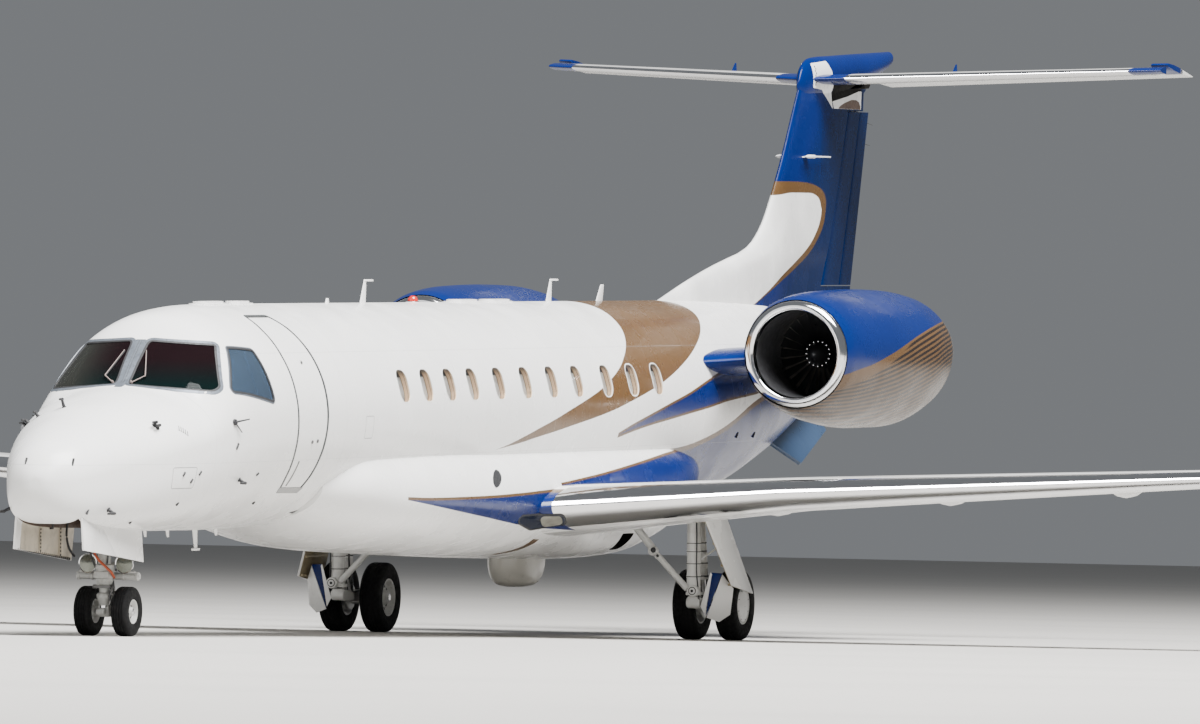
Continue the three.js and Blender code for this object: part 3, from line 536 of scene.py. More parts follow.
@dataclass
class Outline:
    """A rounded outline that lies on a skin, found by rays from outside it."""

    skin: BVHTree
    corners: np.ndarray
    radius: float
    toward: np.ndarray | None = None
    corner_steps: int = 6
    edge_steps: int = 8

    def __post_init__(self) -> None:
        """Finds the plane of the corners."""
        self.world = placed(self.corners)
        self.centre = self.world.mean(axis=0)
        across = np.cross(self.world[2] - self.world[0], self.world[3] - self.world[1])
        normal = across / np.linalg.norm(across)
        axis = placed((self.corners[:, 0].mean(), 0.0, -0.1))
        if normal @ (self.centre - axis) < 0:
            normal = -normal
        self.normal = normal if self.toward is None else self.toward
        self.first, self.second = cross_axes(self.normal)
        local = self.world - self.centre
        flat = np.column_stack([local @ self.first, local @ self.second])
        area = np.sum(flat[:, 0] * np.roll(flat[:, 1], -1) - flat[:, 1] * np.roll(flat[:, 0], -1))
        self.flat = flat if area > 0 else flat[::-1]

    def loop(self, grow: float = 0.0, lift: float = 0.0, scale: float = 1.0) -> np.ndarray:
        """The outline on the skin.

        Args:
            grow: How far it is moved outwards along the skin.
            lift: How far it stands off the skin.
            scale: Share that it is drawn towards its middle.

        Returns:
            Points in the level frame.
        """
        points, normals = [], []
        for u, v in self.flat_loop() * scale:
            start = self.centre + u * self.first + v * self.second + self.normal
            place, normal, _, _ = self.skin.ray_cast(Vector(start), Vector(-self.normal))
            points.append(start - self.normal if place is None else np.array(place))
            normals.append(self.normal if place is None else np.array(normal))
        line, out = np.array(points), np.array(normals)
        if grow:
            away = np.cross(np.roll(line, -1, axis=0) - np.roll(line, 1, axis=0), out)
            away /= np.linalg.norm(away, axis=1)[:, None]
            near = [self.skin.find_nearest(Vector(point)) for point in line + away * grow * scale]
            line, out = (np.array([found[i] for found in near]) for i in (0, 1))
        return line + out * lift

    def flat_loop(self) -> np.ndarray:
        """The outline in its own plane, with its corners rounded.

        Returns:
            Rows of two distances from the middle.
        """
        corners = self.flat
        count = len(corners)
        edges = np.roll(corners, -1, axis=0) - corners
        edges /= np.linalg.norm(edges, axis=1)[:, None]
        normals = np.column_stack([edges[:, 1], -edges[:, 0]])
        radius = self.radius
        arcs = []
        for i in range(count):
            before, after = normals[i - 1], normals[i]
            half = math.acos(np.clip(before @ after, -1, 1)) / 2
            bisector = (before + after) / np.linalg.norm(before + after)
            middle = corners[i] - bisector * radius / math.cos(half)
            start = math.atan2(before[1], before[0])
            turn = np.linspace(0, 2 * half, self.corner_steps)
            arcs.append(middle + radius * np.column_stack([np.cos(start + turn), np.sin(start + turn)]))
        points = []
        for i in range(count):
            points.extend(arcs[i])
            last, following = arcs[i][-1], arcs[(i + 1) % count][0]
            for k in range(1, self.edge_steps):
                points.append(last + (following - last) * k / self.edge_steps)
        return np.array(points)

    def band(self, name: str, profile: Sequence[Point]) -> bpy.types.Object:
        """A closed band along the outline. The profile is pairs of grow and lift."""
        points, faces = lofted([self.loop(grow, lift) for grow, lift in profile], wrap=True)
        return new_object(name, points, faces)

    def pad(self, name: str, grow: float, lift: float, depth: float, rings: int = 5) -> bpy.types.Object:
        """A closed pad over the outline's whole area, between two lifts.

        Args:
            name: Name of the object.
            grow: How far it reaches past the outline.
            lift: How far its face stands off the skin.
            depth: Its thickness.
            rings: Rings between its middle and its edge.

        Returns:
            The object.
        """
        scales = np.linspace(0.06, 1.0, rings)
        top = [self.loop(grow, lift, scale) for scale in scales]
        foot = [self.loop(grow, lift - depth, scale) for scale in scales[::-1]]
        points, faces = lofted(top + foot)
        return new_object(name, points, faces)

    def cutter(self, name: str, inward: float, outward: float = 0.3) -> bpy.types.Object:
        """A prism through the skin, along the outline's own direction.

        Args:
            name: Name of the object.
            inward: Its depth under the outline's middle.
            outward: Its height over it.

        Returns:
            The object.
        """
        flat = self.flat_loop()
        base = self.centre + np.outer(flat[:, 0], self.first) + np.outer(flat[:, 1], self.second)
        points, faces = lofted([base - self.normal * inward, base + self.normal * outward])
        return new_object(name, points, faces)


def tree_of(obj: bpy.types.Object) -> BVHTree:
    """A search tree over an object's mesh.

    Args:
        obj: The object, which stays.

    Returns:
        The tree.
    """
    work = bmesh.new()
    work.from_mesh(obj.data)
    tree = BVHTree.FromBMesh(work)
    work.free()
    return tree


@dataclass
class Graph:
    """Builds the nodes of one material."""

    name: str

    def __post_init__(self) -> None:
        """Starts with the shader and the object's own coordinates."""
        self.material = bpy.data.materials.new(self.name)
        self.material.use_nodes = True
        tree = self.material.node_tree
        self.nodes, self.links = tree.nodes, tree.links
        self.shader = self.nodes["Principled BSDF"]
        self.place = self.nodes.new("ShaderNodeTexCoord").outputs["Object"]

    def feed(self, socket: bpy.types.NodeSocket, value: object) -> None:
        """Links or sets one socket."""
        if isinstance(value, bpy.types.NodeSocket):
            self.links.new(value, socket)
        elif value is not None:
            socket.default_value = value

    def add(self, kind: str, *inputs: object, **settings: object) -> bpy.types.Node:
        """A shader node with its settings and its first inputs.

        Args:
            kind: Type of the node after ShaderNode.
            *inputs: Values or sockets, in order.
            **settings: Properties of the node.

        Returns:
            The node.
        """
        node = self.nodes.new("ShaderNode" + kind)
        for key, value in settings.items():
            setattr(node, key, value)
        for socket, value in zip(node.inputs, inputs):
            self.feed(socket, value)
        return node

    def math(self, operation: str, *inputs: Socket) -> bpy.types.NodeSocket:
        """The result of a math node."""
        return self.add("Math", *inputs, operation=operation).outputs[0]

    def ranged(self, value: Socket, low: float, high: float, to_low: float = 0.0,
               to_high: float = 1.0) -> bpy.types.NodeSocket:
        """A value moved from one range to another, and kept inside it."""
        return self.add("MapRange", value, low, high, to_low, to_high).outputs[0]

    def above(self, value: Socket, line: Socket, soft: float = 0.003) -> bpy.types.NodeSocket:
        """1 where a value is above a line, 0 below it, with a soft step."""
        return self.ranged(self.math("SUBTRACT", value, line), -soft, soft)

    def both(self, *masks: Socket) -> bpy.types.NodeSocket:
        """Where all of the masks are 1.

        Args:
            *masks: Sockets of 0 to 1.

        Returns:
            Their product.
        """
        result = masks[0]
        for mask in masks[1:]:
            result = self.math("MULTIPLY", result, mask)
        return result

    def mix(self, factor: Socket, first: object, second: object) -> bpy.types.NodeSocket:
        """One colour fading into another.

        Args:
            factor: 0 for the first colour, 1 for the second.
            first: A colour or a socket.
            second: A colour or a socket.

        Returns:
            The colour as a socket.
        """
        node = self.add("Mix", factor, data_type="RGBA")
        self.feed(node.inputs[6], wide(first))
        self.feed(node.inputs[7], wide(second))
        return node.outputs[2]

    def noise(self, scale: float, detail: float = 3.0,
              stretch: Point = (1.0, 1.0, 1.0)) -> bpy.types.NodeSocket:
        """Noise over the object, stretched along its axes.

        Args:
            scale: Size of the pattern, larger is finer.
            detail: Finer layers.
            stretch: Factors along the three axes.

        Returns:
            The noise as a socket of 0 to 1.
        """
        mapping = self.add("Mapping", self.place)
        mapping.inputs["Scale"].default_value = stretch
        node = self.add("TexNoise", mapping.outputs[0])
        node.inputs["Scale"].default_value = scale
        node.inputs["Detail"].default_value = detail
        return node.outputs[0]

    def airframe(self) -> tuple:
        """Station, distance from the middle and height in the airframe, as sockets.

        Returns:
            Three sockets.
        """
        cos, sin = math.cos(NOSE_DOWN), math.sin(NOSE_DOWN)
        mapping = self.add("Mapping", self.place)
        mapping.inputs["Location"].default_value = (
            -AXLE_X * cos - MAIN_STATION, 0.0, -AXLE_X * sin - CENTRE_HEIGHT)
        mapping.inputs["Rotation"].default_value = (0.0, -NOSE_DOWN, 0.0)
        parts = self.add("SeparateXYZ", mapping.outputs[0]).outputs
        return self.math("MULTIPLY", parts[0], -1.0), self.math("ABSOLUTE", parts[1]), parts[2]

    def line(self, value: Socket, points: Sequence[Point]) -> bpy.types.NodeSocket:
        """Reads a smooth line through pairs of place and value.

        Args:
            value: The place to read.
            points: Pairs of place and value.

        Returns:
            The value as a socket.
        """
        rows = np.array(sorted((float(a), float(b)) for a, b in points))
        low, high = rows.min(axis=0), rows.max(axis=0)
        node = self.add("FloatCurve", 1.0, self.ranged(value, low[0], high[0]))
        curve = node.mapping.curves[0]
        spots = (rows - low) / (high - low)
        curve.points[0].location = spots[0]
        curve.points[1].location = spots[-1]
        for spot in spots[1:-1]:
            curve.points.new(*spot)
        for point in curve.points:
            point.handle_type = "AUTO_CLAMPED"
        node.mapping.update()
        return self.ranged(node.outputs[0], 0.0, 1.0, low[1], high[1])

    def stripe(self, value: Socket, place: float, half: float, soft: float = 0.0015) -> bpy.types.NodeSocket:
        """1 on a thin line where a value equals a place."""
        distance = self.math("ABSOLUTE", self.math("SUBTRACT", value, place))
        return self.ranged(distance, half + soft, half)


def wide(colour: object) -> object:
    """A colour with its alpha, or the socket that was given."""
    return (*colour, 1.0) if isinstance(colour, tuple) else colour


@dataclass(frozen=True)
class Finish:
    """A finish whose colour, gloss and surface vary with noise."""

    name: str
    slot: str
    colour: tuple[float, float, float]
    roughness: float = 0.4
    metallic: float = 0.0
    coat: float = 0.0
    shine: float = 0.5
    spread: float = 0.1
    scale: float = 3.0
    stretch: tuple[float, float, float] = (1.0, 1.0, 1.0)
    bump: float = 0.0
    bump_scale: float = 250.0
    soil: float = 0.0
    soil_colour: tuple[float, float, float] = (0.12, 0.1, 0.08)

    def colours(self, graph: Graph) -> bpy.types.NodeSocket:
        """The colour over the surface, before its slow variation."""
        return graph.mix(0.0, self.colour, self.colour)

    def build(self) -> bpy.types.Material:
        """Makes the material.

        Returns:
            The material.
        """
        graph = Graph(self.name)
        shader = graph.shader
        shade = graph.ranged(graph.noise(self.scale, 4.0, self.stretch), 0.3, 0.7)
        tone = self.colours(graph)
        darker = graph.mix(shade, (1.0 - self.spread,) * 3, (1.0, 1.0, 1.0))
        product = graph.add("Mix", 1.0, data_type="RGBA", blend_type="MULTIPLY")
        graph.feed(product.inputs[6], tone)
        graph.feed(product.inputs[7], darker)
        colour = product.outputs[2]
        if self.soil:
            patches = graph.ranged(graph.noise(self.scale * 2.3, 6.0, self.stretch), 0.52, 0.75, 0.0,
                                   self.soil)
            colour = graph.mix(patches, colour, self.soil_colour)
        graph.feed(shader.inputs["Base Color"], colour)
        rough = graph.ranged(graph.noise(self.scale * 4.0, 5.0, self.stretch), 0.3, 0.7,
                             max(self.roughness * 0.75, 0.02), min(self.roughness * 1.3, 1.0))
        graph.feed(shader.inputs["Roughness"], rough)
        shader.inputs["Metallic"].default_value = self.metallic
        shader.inputs["Coat Weight"].default_value = self.coat
        shader.inputs["Coat Roughness"].default_value = 0.04
        shader.inputs["Specular IOR Level"].default_value = self.shine
        self.surface(graph)
        return graph.material

    def surface(self, graph: Graph) -> None:
        """Adds the small relief."""
        if self.bump:
            node = graph.add("Bump")
            node.inputs["Strength"].default_value = self.bump
            node.inputs["Distance"].default_value = 0.002
            graph.feed(node.inputs["Height"], graph.noise(self.bump_scale, 4.0, self.stretch))
            graph.feed(graph.shader.inputs["Normal"], node.outputs[0])


WHITE = (0.82, 0.815, 0.8)
BLUE = (0.001, 0.012, 0.1)
GOLD = (0.105, 0.056, 0.022)
LINE_GREY = (0.33, 0.33, 0.34)

# Edges of the gold swoosh on the fuselage: height, then station.
SWOOSH_FRONT = (
    (-0.399, 10.12), (-0.347, 10.48), (-0.271, 10.89), (-0.176, 11.37), (-0.09, 11.82), (0.007, 12.29),
    (0.104, 12.78), (0.202, 13.24), (0.302, 13.61), (0.372, 13.85), (0.452, 14.09), (0.533, 14.29),
    (0.635, 14.53), (0.736, 14.73), (0.849, 14.91), (0.951, 15.03), (1.032, 15.12), (1.14, 15.19),
)
SWOOSH_REAR = (
    (-0.399, 10.12), (-0.341, 10.77), (-0.281, 11.31), (-0.223, 11.87), (-0.159, 12.44), (-0.094, 13.03),
    (-0.018, 13.63), (0.079, 14.25), (0.167, 14.78), (0.256, 15.26), (0.356, 15.72), (0.457, 16.14),
    (0.559, 16.54), (0.661, 16.91), (0.764, 17.27), (0.867, 17.59), (0.95, 17.83), (1.022, 17.99),
    (1.14, 18.15),
)
# Edges of the blue wedge under the pylon, and the gold line along the belly: station, then height.
WEDGE_TOP = (
    (13.88, -0.295), (14.31, -0.202), (14.89, -0.095), (15.5, 0.013), (16.15, 0.122), (16.71, 0.232),
    (17.42, 0.363), (17.78, 0.424), (20.0, 0.85), (24.4, 1.3),
)
WEDGE_FOOT = (
    (13.88, -0.295), (14.32, -0.234), (14.91, -0.168), (15.52, -0.113), (16.14, -0.057), (16.78, -0.001),
    (17.43, 0.067), (18.12, 0.113), (18.4, 0.131), (20.0, 0.3), (24.4, 0.75),
)
BELLY_LINE = (
    (9.0, -0.9), (11.53, -0.775), (12.24, -0.736), (12.92, -0.696), (13.77, -0.639), (14.61, -0.58),
    (15.42, -0.522), (16.2, -0.475), (16.69, -0.413), (17.13, -0.333), (17.51, -0.243), (17.87, -0.14),
    (18.19, -0.048), (18.46, 0.013), (20.0, 0.28), (24.4, 0.7),
)
# Skin joints: stations of the ones round the fuselage, heights of the ones along it.
FRAME_LINES = (2.28, 5.55, 8.9, 11.8, 14.4, 17.62, 20.15, 22.6)
LAP_LINES = (0.66, -0.42)


@dataclass(frozen=True)
class FuselagePaint(Finish):
    """White gloss with the gold swoosh, the blue wedge and the blue belly behind its gold line."""

    def colours(self, graph: Graph) -> bpy.types.NodeSocket:
        """The painted scheme, with fine skin joints.

        Args:
            graph: The material's nodes.

        Returns:
            The colour as a socket.
        """
        station, _, height = graph.airframe()
        swoosh = graph.both(
            graph.above(station, graph.line(height, SWOOSH_FRONT), 0.006),
            graph.above(graph.line(height, SWOOSH_REAR), station, 0.006),
            graph.above(height, SWOOSH_FRONT[0][0]),
        )
        colour = graph.mix(swoosh, WHITE, GOLD)
        top, foot = graph.line(station, WEDGE_TOP), graph.line(station, WEDGE_FOOT)
        aft = graph.above(station, WEDGE_TOP[0][0])
        for width, tone in ((0.028, GOLD), (0.0, BLUE)):
            wedge = graph.both(
                graph.above(graph.math("ADD", top, width), height),
                graph.above(height, graph.math("SUBTRACT", foot, width)),
                aft,
            )
            colour = graph.mix(wedge, colour, tone)
        belly = graph.line(station, BELLY_LINE)
        late = graph.above(station, BELLY_LINE[0][0])
        for width, tone in ((0.032, GOLD), (-0.032, BLUE)):
            below = graph.both(graph.above(graph.math("ADD", belly, width), height), late)
            colour = graph.mix(below, colour, tone)
        joints = [graph.stripe(station, place, 0.0022) for place in FRAME_LINES]
        joints += [graph.stripe(height, place, 0.0018) for place in LAP_LINES]
        seams = joints[0]
        for joint in joints[1:]:
            seams = graph.math("MAXIMUM", seams, joint)
        return graph.mix(graph.math("MULTIPLY", seams, 0.35), colour, LINE_GREY)


# Edges of the blue wedge on the fairing: station, then height.
FAIRING_WEDGE_TOP = ((7.03, -0.867), (7.88, -0.887), (8.97, -0.89), (10.14, -0.879), (10.92, -0.862),
                     (12.0, -0.84))
FAIRING_WEDGE_FOOT = ((7.03, -0.867), (7.91, -0.955), (9.11, -1.071), (10.45, -1.193), (11.37, -1.255),
                      (12.2, -1.3))


@dataclass(frozen=True)
class FairingPaint(Finish):
    """White gloss with the blue wedge ahead of the wing and the blue part behind the gold line."""

    def colours(self, graph: Graph) -> bpy.types.NodeSocket:
        """The painted scheme.

        Args:
            graph: The material's nodes.

        Returns:
            The colour as a socket.
        """
        station, out, height = graph.airframe()
        top = graph.line(station, FAIRING_WEDGE_TOP)
        foot = graph.line(station, FAIRING_WEDGE_FOOT)
        inside = graph.both(graph.above(station, FAIRING_WEDGE_TOP[0][0]), graph.above(12.1, station),
                            graph.above(height, foot))
        colour = graph.mix(graph.both(inside, graph.above(graph.math("ADD", top, 0.03), height)), WHITE, GOLD)
        colour = graph.mix(graph.both(inside, graph.above(top, height)), colour, BLUE)
        belly = graph.line(station, BELLY_LINE)
        late = graph.both(graph.above(station, 11.5), graph.above(height, -1.25, 0.02))
        for width, tone in ((0.012, GOLD), (-0.012, BLUE)):
            below = graph.both(graph.above(graph.math("ADD", belly, width), height), late)
            colour = graph.mix(below, colour, tone)
        far = graph.math("MULTIPLY", graph.math("SUBTRACT", out, 0.72), 1.4)
        bend = graph.math("ADD", 11.72, graph.math("MULTIPLY", graph.math("MULTIPLY", far, far), -1.0))
        mark = graph.both(
            graph.above(0.1, graph.math("ABSOLUTE", graph.math("SUBTRACT", station, bend)), 0.005),
            graph.above(out, 0.5), graph.above(1.02, out), graph.above(-1.3, height))
        return graph.mix(mark, colour, GOLD)


@dataclass(frozen=True)
class FinPaint(Finish):
    """Blue, darker over its aft part as painted shade, with a white sweep that a gold band frames."""

    def colours(self, graph: Graph) -> bpy.types.NodeSocket:
        """The painted scheme, with painted shade that darkens the blue aft of a streaky line. Both edges of
        the sweep bulge aft, so each is read as station by height.

        Args:
            graph: The material's nodes.

        Returns:
            The colour as a socket.
        """
        station, _, height = graph.airframe()
        depth = graph.math("SUBTRACT", station, graph.math("MULTIPLY", height, 0.76))
        # Painted shade: the blue turns darker navy aft of a streaky line, so the front of the fin reads as
        # lit.
        shade_edge_streaks = graph.math("MULTIPLY", graph.noise(3.0, 3.0, (4.0, 1.0, 0.3)), 0.5)
        colour = graph.mix(graph.ranged(graph.math("ADD", depth, shade_edge_streaks), 21.25, 21.9), BLUE,
                           (0.0008, 0.01, 0.055))
        for edge, top, tone in ((FIN_BAND_OUTER, FIN_TOP_OUTER, GOLD),
                                (FIN_BAND_INNER, FIN_TOP_INNER, WHITE)):
            inside = graph.both(
                graph.above(graph.line(height, edge), station, 0.004),
                graph.above(graph.line(station, top), height, 0.004),
            )
            colour = graph.mix(inside, colour, tone)
        return colour


# Edges of the fin's band: height, then station; its top edges: station, then height.
FIN_BAND_OUTER = (
    (0.9, 20.6), (1.04, 21.09), (1.19, 21.64), (1.35, 22.2), (1.52, 22.77), (1.68, 23.22), (1.85, 23.53),
    (1.99, 23.72), (2.16, 23.81), (2.28, 23.83), (2.45, 23.86),
)
FIN_TOP_OUTER = ((21.0, 2.44), (21.97, 2.49), (22.54, 2.5), (23.06, 2.49), (23.45, 2.45), (23.71, 2.38),
                 (23.83, 2.28))
FIN_BAND_INNER = (
    (0.9, 20.5), (1.04, 21.04), (1.25, 21.76), (1.43, 22.26), (1.58, 22.71), (1.75, 23.15), (1.91, 23.43),
    (2.06, 23.59), (2.18, 23.64), (2.32, 23.66),
)
FIN_TOP_INNER = ((21.0, 2.28), (21.83, 2.32), (22.23, 2.34), (22.68, 2.37), (23.13, 2.37), (23.42, 2.34),
                 (23.64, 2.18))
# Upper edge of the cowl's gold, and the lowest of its stripes: station, then height.
NACELLE_LINE = (
    (16.5, 0.34), (16.61, 0.362), (16.88, 0.42), (17.2, 0.473), (17.71, 0.579), (18.38, 0.722), (18.96, 0.82),
    (19.43, 0.882), (20.1, 0.93), (20.8, 0.95),
)
STRIPE_LINE = (
    (16.5, 0.03), (16.77, 0.052), (17.06, 0.068), (17.37, 0.103), (17.76, 0.146), (18.17, 0.207),
    (18.6, 0.296),
    (19.12, 0.403), (19.74, 0.528), (20.8, 0.62),
)


@dataclass(frozen=True)
class NacellePaint(Finish):
    """Blue above a curved line, and gold with fine dark stripes below it."""

    stripes: float = 8.0

    def colours(self, graph: Graph) -> bpy.types.NodeSocket:
        """The painted scheme.

        Args:
            graph: The material's nodes.

        Returns:
            The colour as a socket.
        """
        station, _, height = graph.airframe()
        top = graph.line(station, NACELLE_LINE)
        foot = graph.line(station, STRIPE_LINE)
        share = graph.math("DIVIDE", graph.math("SUBTRACT", top, height), graph.math("SUBTRACT", top, foot))
        phase = graph.math("FRACT", graph.math("MULTIPLY", share, self.stripes))
        dark = graph.both(
            graph.ranged(phase, 0.4, 0.5), graph.ranged(phase, 1.0, 0.94),
            graph.above(share, graph.ranged(station, 16.7, 18.6, 0.5, 0.0), 0.03),
        )
        gold = graph.mix(graph.math("MULTIPLY", dark, 0.95), GOLD, (0.01, 0.007, 0.007))
        return graph.mix(graph.above(height, top), gold, BLUE)


@dataclass(frozen=True)
class GlassFinish(Finish):
    """Tinted glass that shows what lies behind it."""

    clear: float = 0.75
    index: float = 1.45

    def surface(self, graph: Graph) -> None:
        """Lets light through."""
        graph.shader.inputs["Transmission Weight"].default_value = self.clear
        graph.shader.inputs["IOR"].default_value = self.index


@dataclass(frozen=True)
class WindshieldFinish(GlassFinish):
    """Glass tinted brownish above, with painted reflection that turns it greenish below and paler towards
    starboard.
    """

    def colours(self, graph: Graph) -> bpy.types.NodeSocket:
        """The tint, with the painted reflection below and towards starboard.

        Args:
            graph: The material's nodes.

        Returns:
            The colour as a socket.
        """
        _, out, height = graph.airframe()
        side = graph.add("SeparateXYZ", graph.place).outputs[1]
        # Painted reflection: greenish low on the glass, and paler towards starboard.
        tone = graph.mix(graph.ranged(height, 0.36, 0.6), (0.012, 0.03, 0.03), self.colour)
        paler_reflection = graph.both(graph.ranged(side, -0.1, -0.6), graph.ranged(out, 0.1, 0.6))
        return graph.mix(paler_reflection, tone, (0.085, 0.088, 0.078))


@dataclass(frozen=True)
class RecessFinish(Finish):
    """The lined recess of a cabin window, with the window blind at its bottom and painted shade over the top
    of the blind and of the walls.
    """

    depth: float = 0.075

    def colours(self, graph: Graph) -> bpy.types.NodeSocket:
        """Tan walls with brown joints, a white lip, the window blind, and painted shade at the top of the
        walls and the blind.

        Args:
            graph: The material's nodes.

        Returns:
            The colour as a socket.
        """
        _, out, height = graph.airframe()
        level = graph.math("ADD", graph.math("MULTIPLY", out, 0.9636), graph.math("MULTIPLY", height, 0.2675))
        depth = graph.math("SUBTRACT", RADIUS, level)
        brown = (0.16, 0.07, 0.03)
        colour = graph.mix(graph.stripe(depth, 0.032, 0.0022), self.colour, brown)
        colour = graph.mix(graph.stripe(depth, 0.07, 0.0028), colour, brown)
        colour = graph.mix(graph.above(0.008, depth), colour, WHITE)
        # Painted shade under the recess's top: the blind turns near-black above one line and the walls turn
        # dark brown above another.
        shade = graph.mix(graph.above(height, 0.385, 0.006), (0.62, 0.61, 0.58), (0.04, 0.038, 0.04))
        colour = graph.mix(graph.above(height, 0.43, 0.03), colour, (0.09, 0.075, 0.07))
        return graph.mix(graph.above(depth, self.depth - 0.002, 0.001), colour, shade)


@dataclass(frozen=True)
class LampFinish(Finish):
    """A lens with fine ribs."""

    def surface(self, graph: Graph) -> None:
        """Adds the ribs.

        Args:
            graph: The material's nodes.
        """
        _, out, _ = graph.airframe()
        node = graph.add("Bump")
        node.inputs["Strength"].default_value = 0.5
        node.inputs["Distance"].default_value = 0.002
        graph.feed(node.inputs["Height"], graph.math("SINE", graph.math("MULTIPLY", out, 900.0)))
        graph.feed(graph.shader.inputs["Normal"], node.outputs[0])


PAINT_BASE = dict(roughness=0.26, coat=0.12, shine=0.3, spread=0.035, scale=0.6)
FUSELAGE_PAINT = FuselagePaint("fuselage_paint", "white_paint", WHITE, **PAINT_BASE)
FAIRING_PAINT = FairingPaint("fairing_paint", "white_paint", WHITE, **PAINT_BASE)
FIN_PAINT = FinPaint("fin_paint", "blue_paint", BLUE, roughness=0.26, coat=0.02, shine=0.08, spread=0.3,
                     scale=0.9)
NACELLE_PAINT = NacellePaint("nacelle_paint", "blue_paint", BLUE, roughness=0.28, coat=0.1, shine=0.25,
                             spread=0.1, scale=0.9)
WHITE_PAINT = Finish("white_gloss", "white_paint", WHITE, soil=0.04, **PAINT_BASE)
BLUE_PAINT = Finish("blue_gloss", "blue_paint", BLUE, roughness=0.26, coat=0.03, shine=0.12, spread=0.12,
                    scale=0.9)
STRAKE_PAINT = Finish("strake_paint", "blue_paint", (0.03, 0.06, 0.12), roughness=0.35, coat=0.2, spread=0.2,
                      scale=2.0)
WING_PAINT = Finish("wing_paint", "white_paint", (0.74, 0.735, 0.715), roughness=0.24, coat=0.5, spread=0.06,
                    scale=0.8, stretch=(1.0, 0.25, 1.0), soil=0.08)
CHROME = Finish("polished_edge", "polished_metal", (0.8, 0.8, 0.81), roughness=0.1, metallic=1.0, spread=0.05,
                scale=2.0)
DUCT_METAL = Finish("duct_liner", "engine_metal", (0.09, 0.09, 0.095), roughness=0.42, metallic=0.6,
                    spread=0.2, bump=0.12, bump_scale=500.0)
DARK_METAL = Finish("fan_metal", "engine_metal", (0.055, 0.056, 0.06), roughness=0.36, metallic=0.8,
                    spread=0.3, scale=9.0, bump=0.05)
BURNT_METAL = Finish("exhaust_metal", "engine_metal", (0.26, 0.24, 0.22), roughness=0.42, metallic=0.9,
                     spread=0.35, scale=5.0, soil=0.3, bump=0.05)
GEAR_PAINT = Finish("gear_grey", "gear_paint", (0.42, 0.42, 0.4), roughness=0.42, spread=0.14, scale=9.0,
                    soil=0.35, coat=0.1, bump=0.04)
GEAR_WHITE = Finish("gear_white", "gear_paint", (0.66, 0.66, 0.64), roughness=0.36, spread=0.08, scale=5.0,
                    soil=0.2, coat=0.2)
WHEEL_PAINT = Finish("wheel_grey", "wheel_paint", (0.6, 0.6, 0.58), roughness=0.4, spread=0.1, scale=12.0,
                     soil=0.3)
STEEL = Finish("piston_chrome", "polished_metal", (0.72, 0.72, 0.73), roughness=0.12, metallic=1.0,
               spread=0.06)
DARK_STEEL = Finish("fitting_steel", "gear_paint", (0.16, 0.16, 0.16), roughness=0.42, metallic=0.7,
                    spread=0.25, scale=14.0, soil=0.2)
RUBBER = Finish("tyre_rubber", "tyre_rubber", (0.006, 0.006, 0.0065), roughness=0.9, shine=0.25, spread=0.35,
                scale=7.0, soil=0.1, soil_colour=(0.05, 0.045, 0.04), bump=0.25, bump_scale=420.0)
SEAL = Finish("window_seal", "panel_black", (0.02, 0.02, 0.022), roughness=0.6, spread=0.2, scale=12.0)
FRAME_METAL = Finish("window_frame", "polished_metal", (0.15, 0.17, 0.2), roughness=0.4, metallic=0.4,
                     spread=0.25, scale=8.0, bump=0.05)
PRIMER = Finish("bay_primer", "bay_primer", (0.34, 0.28, 0.17), roughness=0.55, spread=0.3, scale=6.0,
                soil=0.5, bump=0.1)
BAY_DARK = Finish("bay_shadow", "bay_primer", (0.1, 0.06, 0.042), roughness=0.6, spread=0.4, scale=7.0,
                  soil=0.4, bump=0.1)
# The pod's white is painted down to grey beige as painted shade under the belly, with patches of soil on top.
POD_SHADE_AND_SOIL = Finish("pod_paint", "white_paint", (0.5, 0.485, 0.44), roughness=0.34, coat=0.1, spread=0.08,
                   scale=2.0, soil=0.2)
WELL_DARK = Finish("well_shadow", "bay_primer", (0.008, 0.007, 0.006), roughness=0.9, shine=0.1, spread=0.4,
                   scale=7.0, bump=0.1)
DOOR_GREY = Finish("door_seal_grey", "panel_black", (0.05, 0.054, 0.056), roughness=0.6, spread=0.2,
                   scale=9.0)
SEAM_GREY = Finish("seam_grey", "white_paint", (0.2, 0.2, 0.21), roughness=0.6, spread=0.2, scale=9.0)
GREY_METAL = Finish("grey_fitting", "gear_paint", (0.3, 0.3, 0.3), roughness=0.4, metallic=0.5, spread=0.2,
                    scale=14.0, bump=0.05)
DARK_GLASS = Finish("lamp_cover", "cabin_glass", (0.014, 0.02, 0.04), roughness=0.12, coat=0.1, spread=0.3,
                    scale=6.0)
LAMP_GLASS = Finish("lamp_inner", "cabin_glass", (0.26, 0.25, 0.21), roughness=0.2, coat=0.3, spread=0.4,
                    scale=9.0)
HOOD = Finish("hood_vinyl", "panel_black", (0.035, 0.033, 0.032), roughness=0.75, spread=0.2, scale=20.0,
              bump=0.4, bump_scale=380.0)
PIPING = Finish("seat_piping", "seat_leather", (0.08, 0.045, 0.028), roughness=0.5, spread=0.2, scale=40.0,
                bump=0.1)
TRIM = Finish("cabin_trim", "cabin_trim", (0.3, 0.26, 0.2), roughness=0.7, spread=0.15, scale=12.0, bump=0.15)
WIPER_METAL = Finish("wiper_metal", "gear_paint", (0.22, 0.17, 0.155), roughness=0.5, spread=0.15, scale=20.0)
CREAM = Finish("nose_door_lining", "bay_primer", (0.56, 0.5, 0.4), roughness=0.5, spread=0.25, scale=5.0,
               soil=0.35, bump=0.1)
TRIM_LIGHT = Finish("pillar_trim", "cabin_trim", (0.55, 0.6, 0.64), roughness=0.4, spread=0.1, scale=12.0)
